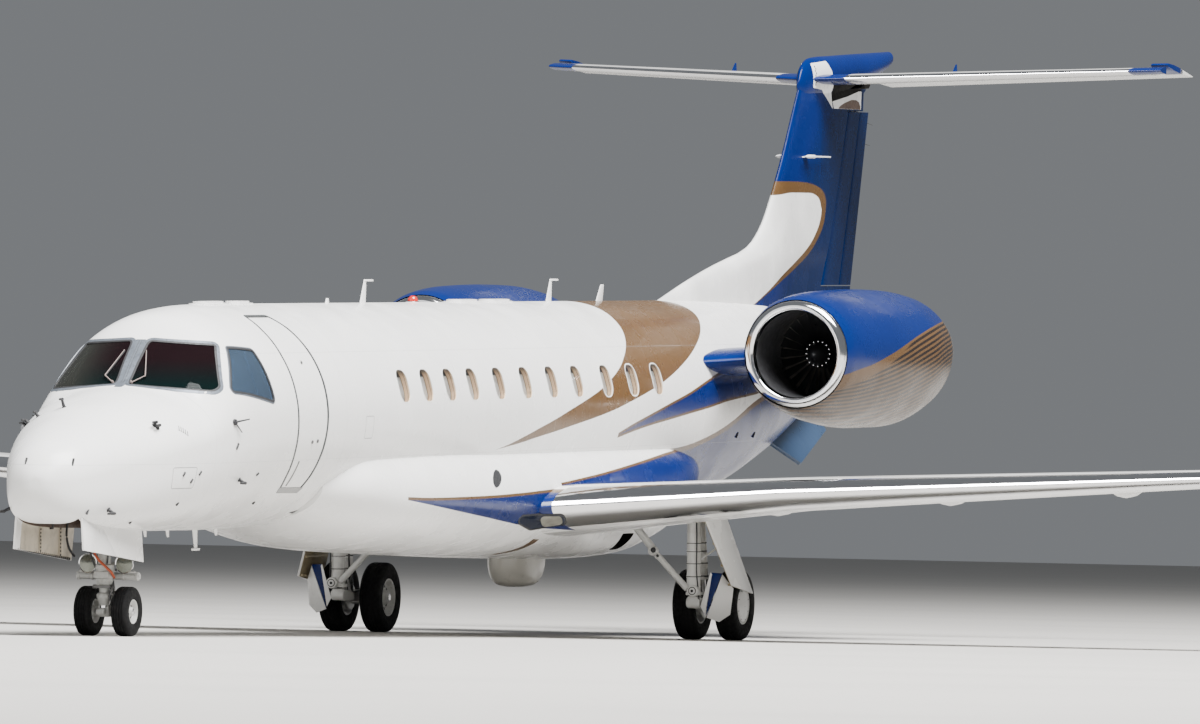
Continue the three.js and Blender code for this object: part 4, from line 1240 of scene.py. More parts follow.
CARPET = Finish("cabin_carpet", "cabin_trim", (0.1, 0.085, 0.07), roughness=0.95, spread=0.4, scale=90.0,
                bump=0.6, bump_scale=700.0)
SHADE = RecessFinish("window_recess", "cabin_trim", (0.78, 0.55, 0.34), roughness=0.6, spread=0.12,
                     scale=14.0)
PANEL = Finish("panel_black", "panel_black", (0.02, 0.021, 0.023), roughness=0.5, spread=0.3, scale=20.0,
               bump=0.1)
SCREEN = Finish("display_glass", "panel_black", (0.012, 0.016, 0.022), roughness=0.1, coat=0.5, spread=0.2)
LEATHER = Finish("seat_leather", "seat_leather", (0.16, 0.09, 0.055), roughness=0.48, spread=0.18, scale=16.0,
                 bump=0.35, bump_scale=260.0)
HOSE = Finish("hose_rubber", "tyre_rubber", (0.03, 0.03, 0.032), roughness=0.6, spread=0.3, scale=30.0,
              bump=0.2)
RED_HOSE = Finish("hose_red", "gear_paint", (0.42, 0.07, 0.02), roughness=0.5, spread=0.2, scale=30.0,
                  bump=0.1)
RED_LENS = Finish("beacon_red", "cabin_glass", (0.5, 0.02, 0.015), roughness=0.15, coat=0.6)
LENS = LampFinish("lamp_lens", "cabin_glass", (0.17, 0.18, 0.15), roughness=0.16, coat=0.4, metallic=0.7)
GLASS = WindshieldFinish("cockpit_glass", "cabin_glass", (0.034, 0.018, 0.022), roughness=0.03, shine=0.1,
                         spread=0.1, clear=0.8, index=1.12)
SIDE_GLASS = GlassFinish("side_glass", "cabin_glass", (0.13, 0.2, 0.3), roughness=0.03, spread=0.2, scale=2.0,
                         clear=0.8)
CABIN_GLASS = GlassFinish("cabin_pane", "cabin_glass", (0.93, 0.94, 0.95), roughness=0.03, clear=1.0,
                          spread=0.03, index=1.12)
FLOOR_FINISH = Finish("studio_floor", "white_paint", (0.46, 0.445, 0.42), roughness=0.85, spread=0.03,
                      scale=0.05)

_BUILT: dict = {}


def material_of(finish: Finish) -> bpy.types.Material:
    """The material of a finish, made once."""
    if finish.name not in _BUILT:
        _BUILT[finish.name] = finish.build()
    return _BUILT[finish.name]


def dressed(obj: bpy.types.Object, *finishes: Finish) -> bpy.types.Object:
    """Gives an object its materials, the first one to all of its faces.

    Args:
        obj: The object.
        *finishes: Its finishes, in the order of its material indexes.

    Returns:
        The same object.
    """
    obj.data.materials.clear()
    for finish in finishes:
        obj.data.materials.append(material_of(finish))
    return obj


def paint_faces(obj: bpy.types.Object, index: int, test: Callable[[np.ndarray], bool]) -> None:
    """Gives a material to the faces whose middle passes a test, in airframe coordinates.

    Args:
        obj: The object.
        index: Index of the material.
        test: Takes station, distance from the middle and height.
    """
    for face in obj.data.polygons:
        if test(np.abs(unplaced(face.center)) * (1.0, 1.0, 0.0) + unplaced(face.center) * (0.0, 0.0, 1.0)):
            face.material_index = index


def show(obj: bpy.types.Object, finish: Finish | None = None, body: str = "airframe",
         stands_for: Sequence[str] = ()) -> bpy.types.Object:
    """Finishes a piece: its material if it has none yet, its body and the nodes it replaces.

    Args:
        obj: The finished piece.
        finish: Its finish.
        body: The body that it moves with.
        stands_for: The CAD nodes that it replaces.

    Returns:
        The same piece.
    """
    if finish is not None and not obj.data.materials:
        dressed(obj, finish)
    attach(obj, body)
    if stands_for:
        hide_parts(*stands_for)
    LOG.info("%s: %d faces on %s", obj.name, len(obj.data.polygons), body)
    return obj


def repeat_tree() -> bpy.types.NodeTree:
    """Geometry nodes that put a shape on every point, turned as each point says.

    Returns:
        The node tree.
    """
    tree = bpy.data.node_groups.new("repeat_shape", "GeometryNodeTree")
    face = tree.interface
    face.new_socket("Geometry", in_out="INPUT", socket_type="NodeSocketGeometry")
    face.new_socket("Shape", in_out="INPUT", socket_type="NodeSocketObject")
    face.new_socket("Size", in_out="INPUT", socket_type="NodeSocketFloat")
    face.new_socket("Finish", in_out="INPUT", socket_type="NodeSocketMaterial")
    face.new_socket("Geometry", in_out="OUTPUT", socket_type="NodeSocketGeometry")
    add = tree.nodes.new
    given, result = add("NodeGroupInput"), add("NodeGroupOutput")
    shape, turn = add("GeometryNodeObjectInfo"), add("GeometryNodeInputNamedAttribute")
    turn.data_type = "FLOAT_VECTOR"
    turn.inputs["Name"].default_value = "turn"
    instance, real = add("GeometryNodeInstanceOnPoints"), add("GeometryNodeRealizeInstances")
    finish = add("GeometryNodeSetMaterial")
    link = tree.links.new
    link(given.outputs["Geometry"], instance.inputs["Points"])
    link(given.outputs["Shape"], shape.inputs["Object"])
    link(shape.outputs["Geometry"], instance.inputs["Instance"])
    link(turn.outputs["Attribute"], instance.inputs["Rotation"])
    link(given.outputs["Size"], instance.inputs["Scale"])
    link(instance.outputs["Instances"], real.inputs["Geometry"])
    link(real.outputs["Geometry"], finish.inputs["Geometry"])
    link(given.outputs["Finish"], finish.inputs["Material"])
    link(finish.outputs["Geometry"], result.inputs["Geometry"])
    return tree


@dataclass
class Repeat:
    """Copies of one small shape at given points, made by geometry nodes."""

    name: str
    shape: bpy.types.Object
    finish: Finish
    size: float = 1.0

    def build(self, points: np.ndarray, ups: np.ndarray,
              fronts: np.ndarray | None = None) -> bpy.types.Object:
        """Puts the shape on the points.

        Args:
            points: Places in the level frame.
            ups: Where the shape's own Z points, one for each place.
            fronts: Where its own X points, or None where that doesn't matter.

        Returns:
            A plain mesh object. The small shape is used up.
        """
        turns = []
        for i, up in enumerate(np.asarray(ups, float)):
            axis = Vector(up).normalized()
            front = Vector(fronts[i]) if fronts is not None else axis.orthogonal()
            front = (front - axis * front.dot(axis)).normalized()
            side = axis.cross(front)
            turns.extend(Matrix((front, side, axis)).transposed().to_euler())
        mesh = bpy.data.meshes.new(self.name)
        mesh.from_pydata([tuple(map(float, p)) for p in points], [], [])
        mesh.attributes.new("turn", "FLOAT_VECTOR", "POINT").data.foreach_set("vector", turns)
        obj = bpy.data.objects.new(self.name, mesh)
        bpy.context.scene.collection.objects.link(obj)
        modifier = obj.modifiers.new("repeat", "NODES")
        tree = bpy.data.node_groups.get("repeat_shape") or repeat_tree()
        modifier.node_group = tree
        values = {"Shape": self.shape, "Size": self.size, "Finish": material_of(self.finish)}
        for item in tree.interface.items_tree:
            if item.in_out == "INPUT" and item.name in values:
                modifier[item.identifier] = values[item.name]
        apply_modifiers(obj)
        bpy.data.objects.remove(self.shape)
        obj.data.set_sharp_from_angle(angle=SHARP)
        return obj


def stud(radius: float, height: float, count: int = 8) -> bpy.types.Object:
    """A small domed head that stands on its own origin.

    Args:
        radius: Its radius.
        height: Its height over the origin.
        count: Sides.

    Returns:
        The object.
    """
    rings = []
    for share, rise in ((1.0, -0.4), (1.0, 0.5), (0.75, 0.85), (0.35, 1.0)):
        angle = 2 * math.pi * np.arange(count) / count
        level = np.full(count, rise * height)
        rings.append(np.column_stack([np.cos(angle) * radius * share, np.sin(angle) * radius * share, level]))
    points, faces = lofted(rings)
    return new_object("stud_shape", points, faces)


def ring_points(centre: Point, toward: Point, radius: float, count: int) -> tuple[np.ndarray, np.ndarray]:
    """Points on a circle about an axis, and the axis once for each. Both points are in the airframe.

    Args:
        centre: Middle of the circle.
        toward: A point on its axis.
        radius: Radius.
        count: Points on the circle.

    Returns:
        Both arrays, in the level frame.
    """
    base, tip = placed(centre), placed(toward)
    along = (tip - base) / np.linalg.norm(tip - base)
    return circle(base, along, radius, count), np.tile(along, (count, 1))


@dataclass
class Assembly:
    """A part of the aircraft that builds and dresses its own pieces."""

    def build(self) -> None:
        """Makes every piece of this part."""
        raise NotImplementedError


# Sections of the fuselage: station, top, bottom, half width, widest height, squareness of the lower half.
FUSELAGE = (
    (0.0, -0.565, -0.635, 0.035, -0.6, 2.0), (0.06, -0.42, -0.81, 0.195, -0.6, 2.6),
    (0.2, -0.265, -0.945, 0.35, -0.58, 3.2), (0.45, -0.13, -1.025, 0.485, -0.53, 3.4),
    (0.9, 0.03, -1.065, 0.66, -0.45, 3.2), (1.4, 0.17, -1.085, 0.82, -0.36, 2.9),
    (1.9, 0.285, -1.1, 0.94, -0.27, 2.6), (2.2, 0.34, -1.106, 0.99, -0.22, 2.5),
    (2.5, 0.59, -1.112, 1.03, -0.15, 2.4), (2.8, 0.83, -1.12, 1.065, -0.1, 2.3),
    (3.1, 1.03, -1.125, 1.09, -0.06, 2.2), (3.5, 1.105, -1.13, 1.115, -0.03, 2.1),
    (4.0, 1.133, -1.138, 1.134, 0.0, 2.0), (4.6, 1.14, -1.14, 1.14, 0.0, 2.0),
    (17.6, 1.14, -1.14, 1.14, 0.0, 2.0), (18.5, 1.14, -1.08, 1.12, 0.03, 2.0),
    (20.0, 1.12, -0.8, 1.0, 0.16, 2.0), (21.5, 1.08, -0.42, 0.8, 0.33, 2.0),
    (23.0, 1.0, -0.02, 0.52, 0.49, 2.0), (24.0, 0.92, 0.26, 0.32, 0.59, 2.0),
    (24.39, 0.85, 0.38, 0.22, 0.615, 2.0),
)
WALL = 0.06
SIDES_AROUND = 128


@dataclass(frozen=True)
class Pane:
    """A window of the flight deck on the port side, and how far its opening is cut in and out of the skin."""

    name: str
    corners: tuple[Point, ...]
    glass: Finish
    frame_width: float
    inward: float
    outward: float
    straight_from_ahead: bool = False


# Corners are station, distance to port and height.
PANES = (
    Pane("windshield", ((2.22, 0.066, 0.352), (2.745, 0.086, 0.783), (3.01, 0.69, 0.746),
                        (2.618, 0.905, 0.285)), GLASS, 0.046, 0.5, 0.6, True),
    Pane("side_window", ((2.765, 0.955, 0.28), (3.12, 0.766, 0.716), (3.565, 0.865, 0.692), (3.6, 1.1, 0.17)),
         SIDE_GLASS, 0.024, 0.16, 0.3),
)
# The door's outline in side view, forward edge and rear edge from the top down.
DOOR_FRONT = ((4.3, 1.02), (4.235, 0.88), (4.19, 0.62), (4.185, 0.3), (4.2, 0.0), (4.23, -0.3), (4.28, -0.6),
              (4.33, -0.72))
DOOR_REAR = ((4.88, 1.02), (4.955, 0.9), (4.985, 0.66), (4.995, 0.36), (4.995, 0.05), (4.975, -0.28),
             (4.93, -0.58), (4.88, -0.72))


def fuselage_rings(stations: np.ndarray, inset: float = 0.0) -> list[np.ndarray]:
    """Smooth fuselage rings at the stations, drawn in by an inset.

    Args:
        stations: Where the rings lie.
        inset: How far they are drawn in.

    Returns:
        The rings.
    """
    root = smooth_rows([(s**0.5, *rest) for s, *rest in FUSELAGE], np.sqrt(stations))
    rings = []
    for station, (_, top, bottom, half, widest, square) in zip(stations, root):
        rings.append(oval((station, top - inset, bottom + inset, half - inset, widest, square), SIDES_AROUND))
    return rings


def spread(*parts: tuple[float, float, int]) -> np.ndarray:
    """Stations in runs of start, end and count."""
    runs = [np.linspace(start, end, count, endpoint=False) for start, end, count in parts]
    return np.append(np.concatenate(runs), parts[-1][1])


@dataclass
class Skin(Assembly):
    """The pressure hull, with its windows, door opening, cabin space and nose bay."""

    window_stations: tuple[float, ...] = (7.28, 7.965, 8.65, 9.34, 10.14, 10.96, 11.77, 12.565, 13.495,
                                          14.335, 15.14)
    window_height: float = 0.305
    window_size: tuple[float, float] = (0.15, 0.178)
    window_depth: float = 0.075
    pane_radius: float = 0.04
    door_top: float = 1.02
    door_sill: float = -0.72
    door_gap: float = 0.012
    door_inside: float = 0.3
    door_outside: float = 1.35
    bay: tuple[float, float, float, float] = (0.34, 1.99, 0.32, -0.52)
    tree: BVHTree = field(init=False)

    def __post_init__(self) -> None:
        """Makes the plain outer skin, on which other pieces are placed."""
        nose = np.maximum((np.arange(34) / 34) ** 2 * 2.2, 0.0006)
        stations = np.concatenate([nose, spread((2.2, 4.6, 34), (4.6, 17.6, 26), (17.6, 24.39, 36))])
        self.hull = skin("fuselage_skin", fuselage_rings(stations))
        self.tree = tree_of(self.hull)

    def pane(self, pane: Pane, side: float) -> Outline:
        """The outline of a flight-deck window on the skin."""
        ahead = turned((-1.0, 0.0, 0.0)) if pane.straight_from_ahead else None
        return Outline(self.tree, mirror(pane.corners, side), self.pane_radius, ahead)

    def ahead(self, out: float, height: float) -> np.ndarray:
        """The airframe point of the skin that is seen from ahead at a distance to port and a height."""
        place, _, _, _ = self.tree.ray_cast(Vector(placed((-1.0, out, height))),
                                            Vector(turned((1.0, 0.0, 0.0))))
        return unplaced(place)

    def cabin_window(self, index: int, side: float) -> Outline:
        """The oval outline of a cabin window.

        Args:
            index: Number of the window from the front.
            side: 1 for port, -1 for starboard.

        Returns:
            The outline.
        """
        station = self.window_stations[index]
        half, tall = self.window_size
        height = self.window_height
        across = math.sqrt(RADIUS**2 - height**2) * side
        corners = [(station + a * half, across, height + b * tall)
                   for a, b in ((-1, -1), (1, -1), (1, 1), (-1, 1))]
        slope = turned((0.0, across, height))
        return Outline(self.tree, np.array(corners), half * 0.8, slope, 8, 3)

    def door_prism(self, margin: float) -> bpy.types.Object:
        """A prism to port in the door's outline, drawn in by a margin.

        Args:
            margin: How far it is drawn in.

        Returns:
            The object.
        """
        depths = np.linspace(-self.door_top, -self.door_sill, 36)
        front, rear = (smooth_rows([(-h, s) for s, h in side], depths) for side in (DOOR_FRONT, DOOR_REAR))
        sides = [(s + margin, -depth)
                 for depth, s in front] + [(s - margin, -depth) for depth, s in rear[::-1]]
        edge = [(s, min(max(h, self.door_sill + margin), self.door_top - margin)) for s, h in sides]
        low = np.array([(s, self.door_inside, h) for s, h in edge])
        high = low + np.array([0.0, self.door_outside - self.door_inside, 0.0])
        return skin("door_prism", [low, high])

    def build(self) -> None:
        """Opens the hull and dresses it."""
        door = dressed(self.door_wall(), FUSELAGE_PAINT, TRIM)
        cabin = dressed(skin("cabin_space", fuselage_rings(spread((2.2, 5.4, 40)), WALL)), TRIM)
        front, rear, half, roof = self.bay
        bay = dressed(skin("bay_space", [
            np.array([(front, -half, h), (rear, -half, h), (rear, half, h), (front, half, h)])
            for h in (-1.3, roof)
        ]), BAY_DARK)
        opening = dressed(self.door_prism(0.0), SEAL)
        # The door's band is drawn wider and darker than its seal: partly the real seal, partly painted shade
        # in the gap round the door.
        rows = [(s, 0.9, h) for s, h in DOOR_FRONT] + [(s, 0.9, h) for s, h in DOOR_REAR[::-1]]
        edge = Outline(self.tree, np.array(rows), 0.02, turned((0.0, 1.0, 0.0)), 3, 8)
        show(edge.band("door_seal", ((0.0, -0.006), (0.0, 0.004), (0.03, 0.004), (0.031, -0.006))), DOOR_GREY)
        cutters = [cabin, bay, opening]
        for _, side in SIDES:
            for pane in PANES:
                cutters.append(dressed(self.pane(pane, side).cutter("pane_cut", pane.inward, pane.outward),
                                       SEAL))
            ovals = [self.cabin_window(i, side).cutter("oval_cut", self.window_depth, 0.1)
                     for i in range(len(self.window_stations))]
            cutters.append(dressed(joined("window_cuts", ovals), SHADE))
        dressed(self.hull, FUSELAGE_PAINT)
        carved(self.hull, cutters)
        show(self.hull, FUSELAGE_PAINT,
             stands_for=("forward_fuselage", "mid_fuselage", "rear_fuselage"))
        show(door, FUSELAGE_PAINT, "entrance_door", ("main_door",))
        self.windows()

    def door_wall(self) -> bpy.types.Object:
        """The entrance door: a piece of the hull's wall in the door's outline.

        Returns:
            The door's panel.
        """
        wall = skin("entrance_door_panel", fuselage_rings(spread((3.9, 5.3, 24))))
        dressed(wall, FUSELAGE_PAINT)
        hollow = dressed(skin("door_hollow", fuselage_rings(spread((3.8, 5.4, 24)), WALL)), TRIM)
        carved(wall, [hollow])
        carved(wall, [dressed(self.door_prism(self.door_gap), SEAL)], Carve.KEEP)
        return wall

    def windows(self) -> None:
        """Fits the panes, seals and frames of the flight deck, and the cabin windows."""
        for word, side in SIDES:
            for pane in PANES:
                name, width = pane.name, pane.frame_width
                outline = self.pane(pane, side)
                glass = outline.pad(f"{name}_pane_{word}", -0.002, -0.006, 0.012)
                show(glass, pane.glass, stands_for=(f"{name}_{word}",))
                for part, finish, profile in (
                    ("seal", SEAL, ((0.006, -0.02), (0.006, 0.002), (-0.014, 0.001), (-0.014, -0.02))),
                    ("frame", FRAME_METAL,
                     ((0.004, -0.02), (0.004, 0.0035), (width, 0.0035), (width + 0.004, -0.01))),
                    ("gasket", SEAL, ((-0.012, -0.012), (-0.012, 0.002), (0.006, 0.0042), (0.012, 0.003),
                                      (0.012, -0.012))),
                ):
                    show(outline.band(f"{name}_{part}_{word}", profile), finish)
                places = outline.loop(width / 2 + 0.003, 0.003)[::3]
                out = np.tile(outline.normal, (len(places), 1))
                screws = Repeat(f"{name}_screws_{word}", stud(0.006, 0.002, 6), DARK_STEEL)
                show(screws.build(places, out), DARK_STEEL)
            panes, rims = [], []
            for i in range(len(self.window_stations)):
                outline = self.cabin_window(i, side)
                panes.append(outline.pad("oval_pane", -0.002, -0.007, 0.005, 4))
                rims.append(outline.band("oval_rim",
                                         ((0.001, -0.012), (0.001, 0.0015), (0.014, 0.0015),
                                          (0.015, -0.004))))
            show(joined(f"cabin_panes_{word}", panes), CABIN_GLASS)
            show(joined(f"cabin_window_rims_{word}", rims), WHITE_PAINT)
            self.pillar(word, side)
        self.post()

    def post(self) -> None:
        """The post between the windshields, with the two joints down it."""
        corners = [self.ahead(out, h) for out, h in ((-0.045, 0.322), (0.045, 0.322), (0.058, 0.79),
                                                     (-0.058, 0.79))]
        post = Outline(self.tree, np.array(corners), 0.012, turned((-1.0, 0.0, 0.0)))
        show(post.pad("windshield_post", 0.0, 0.0036, 0.012), FRAME_METAL)
        joints = []
        for out in (-0.013, 0.013):
            route = [self.ahead(out, h) + np.array([-0.0022, 0.0, 0.0022])
                     for h in np.linspace(0.335, 0.78, 9)]
            joints.append(hose("joint", route, 0.0028, 6, 3))
        show(joined("windshield_post_joints", joints), DOOR_GREY)

    def pillar(self, word: str, side: float) -> None:
        """What is seen through a side window: the pillar, its light edge and the rail of the blind.

        Args:
            word: left or right, as names say it.
            side: 1 for port, -1 for starboard.
        """
        inward = np.array([0.0, -0.055, 0.0])
        edge = np.array([(3.42, 0.875, 0.68), (3.375, 0.955, 0.52), (3.345, 1.04, 0.33),
                         (3.34, 1.08, 0.17)]) + inward
        rear = np.array([(3.64, 0.9, 0.72), (3.66, 0.98, 0.52), (3.68, 1.06, 0.33),
                         (3.69, 1.09, 0.14)]) + inward
        outline = mirror(np.vstack([edge, rear[::-1]]), side)
        show(skin(f"side_pillar_{word}", [outline, outline - np.array([0.0, 0.02 * side, 0.0])]), HOOD)
        pieces = [hose("edge", mirror(edge, side), 0.011, 10, 6)]
        pieces.append(bar("stay", mirror((3.13, 0.83, 0.59), side), mirror((3.0, 0.88, 0.38), side), 0.007,
                          count=10))
        pieces.append(bar("post", mirror((2.9, 0.67, 0.62), side), mirror((2.6, 0.785, 0.33), side), 0.009,
                          count=10))
        show(joined(f"side_pillar_trim_{word}", pieces), TRIM_LIGHT)
        rail = bar(f"blind_rail_{word}", mirror((3.1, 0.76, 0.668), side), mirror((3.3, 0.83, 0.655), side),
                   0.013, count=12)
        show(rail, HOOD)


def wing_row(table: Sequence[Point], span: float) -> np.ndarray:
    """A row of a span table at a distance from the middle."""
    return linear_rows(table, np.array([span]))[0]


# Wing sections: distance to port, leading edge, chord, height, thickness ratio.
WING = (
    (1.1, 10.66, 4.22, -1.03, 0.13), (3.6, 11.884, 2.996, -0.842, 0.12), (7.7, 13.893, 1.75, -0.653, 0.112),
    (10.02, 15.03, 1.04, -0.57, 0.105),
)
# Winglet sections: distance to port, height, leading edge, chord, thickness, cant in degrees.
WINGLET = (
    (10.0203, -0.57, 15.03, 1.04, 0.109, 0.0), (10.25, -0.545, 15.17, 0.96, 0.096, 22.0),
    (10.4, -0.42, 15.33, 0.86, 0.084, 55.0), (10.47, -0.2, 15.52, 0.74, 0.066, 76.0),
    (10.575, 0.51, 16.05, 0.42, 0.036, 81.0),
)


def wing_drop(span: float) -> float:
    """Height that the chord line has lost at the trailing edge."""
    return 0.035 * (1 - span / WING[-1][0]) * wing_row(WING, span)[2]


def slab(name: str, outline: Sequence[tuple[float, float]], side: float, low: float = -3.0,
         high: float = 8.0) -> bpy.types.Object:
    """A tall block over an outline in plan view, given as station and distance to port."""
    return skin(name, [mirror([(s, y, h) for s, y in outline], side) for h in (low, high)])


def control(name: str, ends: Sequence[tuple], up: Point, share: float = 1.0, start: float = 0.0,
            tail_half: float = 0.005) -> bpy.types.Object:
    """A control surface with a round nose between two ends.

    Args:
        name: Name of the object.
        ends: For each end, the hinge point, the nose radius and the trailing edge point.
        up: Direction of its thickness, in the airframe.
        share: Where it ends, as a share of the way to the trailing edge.
        start: Where it starts, in the same way.
        tail_half: Half of the trailing edge's thickness.

    Returns:
        The object.
    """
    rings = []
    normal = np.asarray(up, float)
    for hinge, radius, tail in ends:
        hinge, tail = np.asarray(hinge, float), np.asarray(tail, float)
        length = np.linalg.norm(tail - hinge)
        aft = (tail - hinge) / length
        taper = tail_half - radius
        nose = radius + taper * start
        ring = []
        for angle in np.linspace(math.pi / 2, 1.5 * math.pi, 13):
            ring.append((start * length + nose * math.cos(angle), nose * math.sin(angle)))
        for place in (0.25, 0.5, 0.75, 1.0):
            at = start + (share - start) * place
            ring.append((at * length, -(radius + taper * at)))
        for place in (1.0, 0.75, 0.5, 0.25):
            at = start + (share - start) * place
            ring.append((at * length, radius + taper * at))
        rings.append(np.array([hinge + aft * back + normal * rise for back, rise in ring]))
    return skin(name, rings)


@dataclass
class Wing(Assembly):
    """One wing with its flap, aileron, winglet and small fittings."""

    word: str
    side: float
    flap: tuple[float, float, float] = (1.45, 6.9, 0.78)
    aileron: tuple[float, float, float] = (7.05, 9.5, 0.76)
    nose_share: float = 0.27
    gap: float = 0.008
    behind: float = 17.5
    polished: float = 0.13
    root: tuple[float, float] = (1.4, 11.6)

    def ring(self, span: float) -> np.ndarray:
        """The aerofoil at a distance from the middle.

        Args:
            span: The distance.

        Returns:
            Airframe points.
        """
        y, lead, chord, height, ratio = wing_row(WING, span)
        drop = wing_drop(span)
        return mirror(Aerofoil(lead, chord, y, height, ratio * chord, drop=drop).ring(), self.side)

    def flap_outline(self, margin: float) -> list[tuple[float, float]]:
        """Plan view of the flap, drawn in by a margin.

        Args:
            margin: How far it is drawn in.

        Returns:
            Pairs of station and distance from the middle.
        """
        inner, outer, share = self.flap
        front = []
        for span in (inner + margin, WING[1][0], outer - margin):
            _, lead, chord, _, _ = wing_row(WING, span)
            front.append((lead + share * chord + margin, span))
        return [*front, (self.behind, outer - margin), (self.behind, inner + margin)]

    def aileron_end(self, span: float) -> tuple:
        """Hinge, nose radius and trailing edge of the aileron at a distance from the middle.

        Args:
            span: The distance.

        Returns:
            The three, as control() takes them.
        """
        _, lead, chord, height, ratio = wing_row(WING, span)
        drop = wing_drop(span)
        share = self.aileron[2]
        hinge = (lead + share * chord, span * self.side, height - drop * share)
        return hinge, self.nose_share * ratio * chord, (lead + chord, span * self.side, height - drop)

    def leg_slot(self) -> bpy.types.Object:
        """Cutter of the slot in which the leg hangs."""
        slot = slab("leg_slot", ((13.56, 0.9), (13.96, 0.9), (13.96, 2.16), (13.56, 2.16)), self.side, -1.9,
                    -1.03)
        return dressed(slot, WELL_DARK)

    def build(self) -> None:
        """Makes the wing and what moves on it."""
        spans = [1.1, 1.45, 2.2, 2.9, 3.6, 4.6, 5.6, 6.9, 7.05, 7.7, 8.6, 9.5, 10.02]
        wing = dressed(skin(f"wing_panel_{self.word}", [self.ring(y) for y in spans]), WING_PAINT)
        inner, outer, share = self.aileron
        front = []
        for span in (inner, outer):
            _, lead, chord, _, ratio = wing_row(WING, span)
            front.append((lead + share * chord - self.nose_share * ratio * chord - self.gap, span))
        aileron_slot = slab("aileron_slot", [*front, (self.behind, outer), (self.behind, inner)], self.side)
        flap_slot = slab("flap_slot", self.flap_outline(0.0), self.side)
        carved(wing, [dressed(flap_slot, WING_PAINT), dressed(aileron_slot, WING_PAINT), self.leg_slot()])
        wing.data.materials.append(material_of(CHROME))
        chrome = len(wing.data.materials) - 1
        paint_faces(wing, chrome, self.on_edge)
        wing.data.materials.append(material_of(FAIRING_PAINT))
        paint_faces(wing, chrome + 1, self.on_root)
        show(wing, WING_PAINT, stands_for=(f"wing_{self.word}",))
        flap = dressed(skin(f"wing_flap_{self.word}", [self.ring(y) for y in spans[:10]]), WING_PAINT)
        carved(flap, [dressed(slab("flap_keep", self.flap_outline(0.004), self.side), WING_PAINT)],
               Carve.KEEP)
        show(flap, WING_PAINT, stands_for=(f"flap_{self.word}",))
        ends = [self.aileron_end(inner + 0.01), self.aileron_end(outer - 0.026)]
        aileron = control(f"wing_aileron_{self.word}", ends, (0.0, 0.0, 1.0))
        show(aileron, WING_PAINT, f"{self.word}_aileron", (f"aileron_{self.word}",))
        self.winglet()
        self.fittings()

    def on_edge(self, place: np.ndarray) -> bool:
        """Whether a point lies on the polished leading edge."""
        _, lead, chord, _, _ = wing_row(WING, place[1])
        return bool(place[0] < lead + self.polished * chord and place[1] > self.root[0])

    def on_root(self, place: np.ndarray) -> bool:
        """Whether a point lies on the front of the root, which has the fairing's paint."""
        return bool(place[1] < self.root[0] and place[0] < self.root[1])

    def winglet(self) -> None:
        """The blended winglet, with its own polished edge."""
        table = [(i, *row) for i, row in enumerate(WINGLET)]
        rows = smooth_rows(table, np.linspace(0, len(WINGLET) - 1, 25))
        rings = []
        for _, y, height, lead, chord, thickness, cant in rows:
            lean = math.radians(cant)
            up = (0.0, -math.sin(lean), math.cos(lean))
            rings.append(mirror(Aerofoil(lead, chord, y, height, thickness, up).ring(), self.side))
        piece = dressed(skin(f"wing_tip_{self.word}", rings), BLUE_PAINT, CHROME)
        count = len(rings[0])
        for face in piece.data.polygons:
            spot = face.vertices[0] % count
            if len(face.vertices) == 4 and (spot < 6 or spot >= count - 6):
                face.material_index = 1
        show(piece, BLUE_PAINT, stands_for=(f"winglet_{self.word}",))

    def fittings(self) -> None:
        """Flap track fairings, vortilons and static wicks."""
        pods, fins = [], []
        for span in (2.9, 4.7, 6.5):
            _, lead, chord, height, ratio = wing_row(WING, span)
            low = height - 0.03 - ratio * chord * 0.34
            start = lead + 0.6 * chord
            rows = ((0.0, 0.02), (0.15, 0.05), (0.45, 0.075), (0.8, 0.06), (1.05, 0.02))
            rings = [oval((start + d, low + r, low - r, r * 0.7, low, 2.0), 20)
                     + np.array([0, span * self.side, 0]) for d, r in rows]
            pods.append(skin("track", rings))
        for span in (8.55, 8.95, 9.35):
            _, lead, chord, height, _ = wing_row(WING, span)
            y = span * self.side
            outline = [(lead - 0.02, y, height - 0.015), (lead + 0.16, y, height - 0.03),
                       (lead + 0.14, y, height - 0.1), (lead + 0.02, y, height - 0.08)]
            fins.append(plate("vortilon", outline, (0.0, 0.006, 0.0), 0.002))
        show(joined(f"flap_tracks_{self.word}", pods), WING_PAINT)
        show(joined(f"vortilons_{self.word}", fins), BLUE_PAINT)
        wicks = []
        for span in (9.6, 9.75, 9.9):
            _, lead, chord, height, _ = wing_row(WING, span)
            tail = (lead + chord, span * self.side, height - wing_drop(span))
            wicks.append(bar("wick", tail, (tail[0] + 0.14, tail[1], tail[2] - 0.006), 0.004, 0.002, count=6))
        show(joined(f"wing_wicks_{self.word}", wicks), SEAL)


# Sections of the fairing: station, half width, widest height, top, bottom.
FAIRING = (
    (5.5, 0.9, -0.7, -0.3, -1.1), (6.3, 1.18, -0.76, -0.15, -1.29), (7.1, 1.26, -0.84, -0.13, -1.4),
    (8.7, 1.32, -0.9, -0.13, -1.48), (10.2, 1.35, -0.95, -0.155, -1.54), (12.3, 1.35, -0.96, -0.16, -1.61),
    (14.2, 1.34, -0.96, -0.165, -1.65), (15.6, 1.29, -0.9, -0.17, -1.6), (16.6, 1.08, -0.78, -0.25, -1.33),
    (17.4, 0.8, -0.7, -0.4, -1.04),
)
# The pod's level sections: height, half width, front and rear.
POD = (
    (-1.58, 0.265, 13.17, 14.3), (-1.7, 0.262, 13.18, 14.29), (-1.8, 0.248, 13.21, 14.25),
    (-1.88, 0.218, 13.28, 14.18), (-1.93, 0.165, 13.4, 14.05), (-1.95, 0.09, 13.56, 13.89),
)


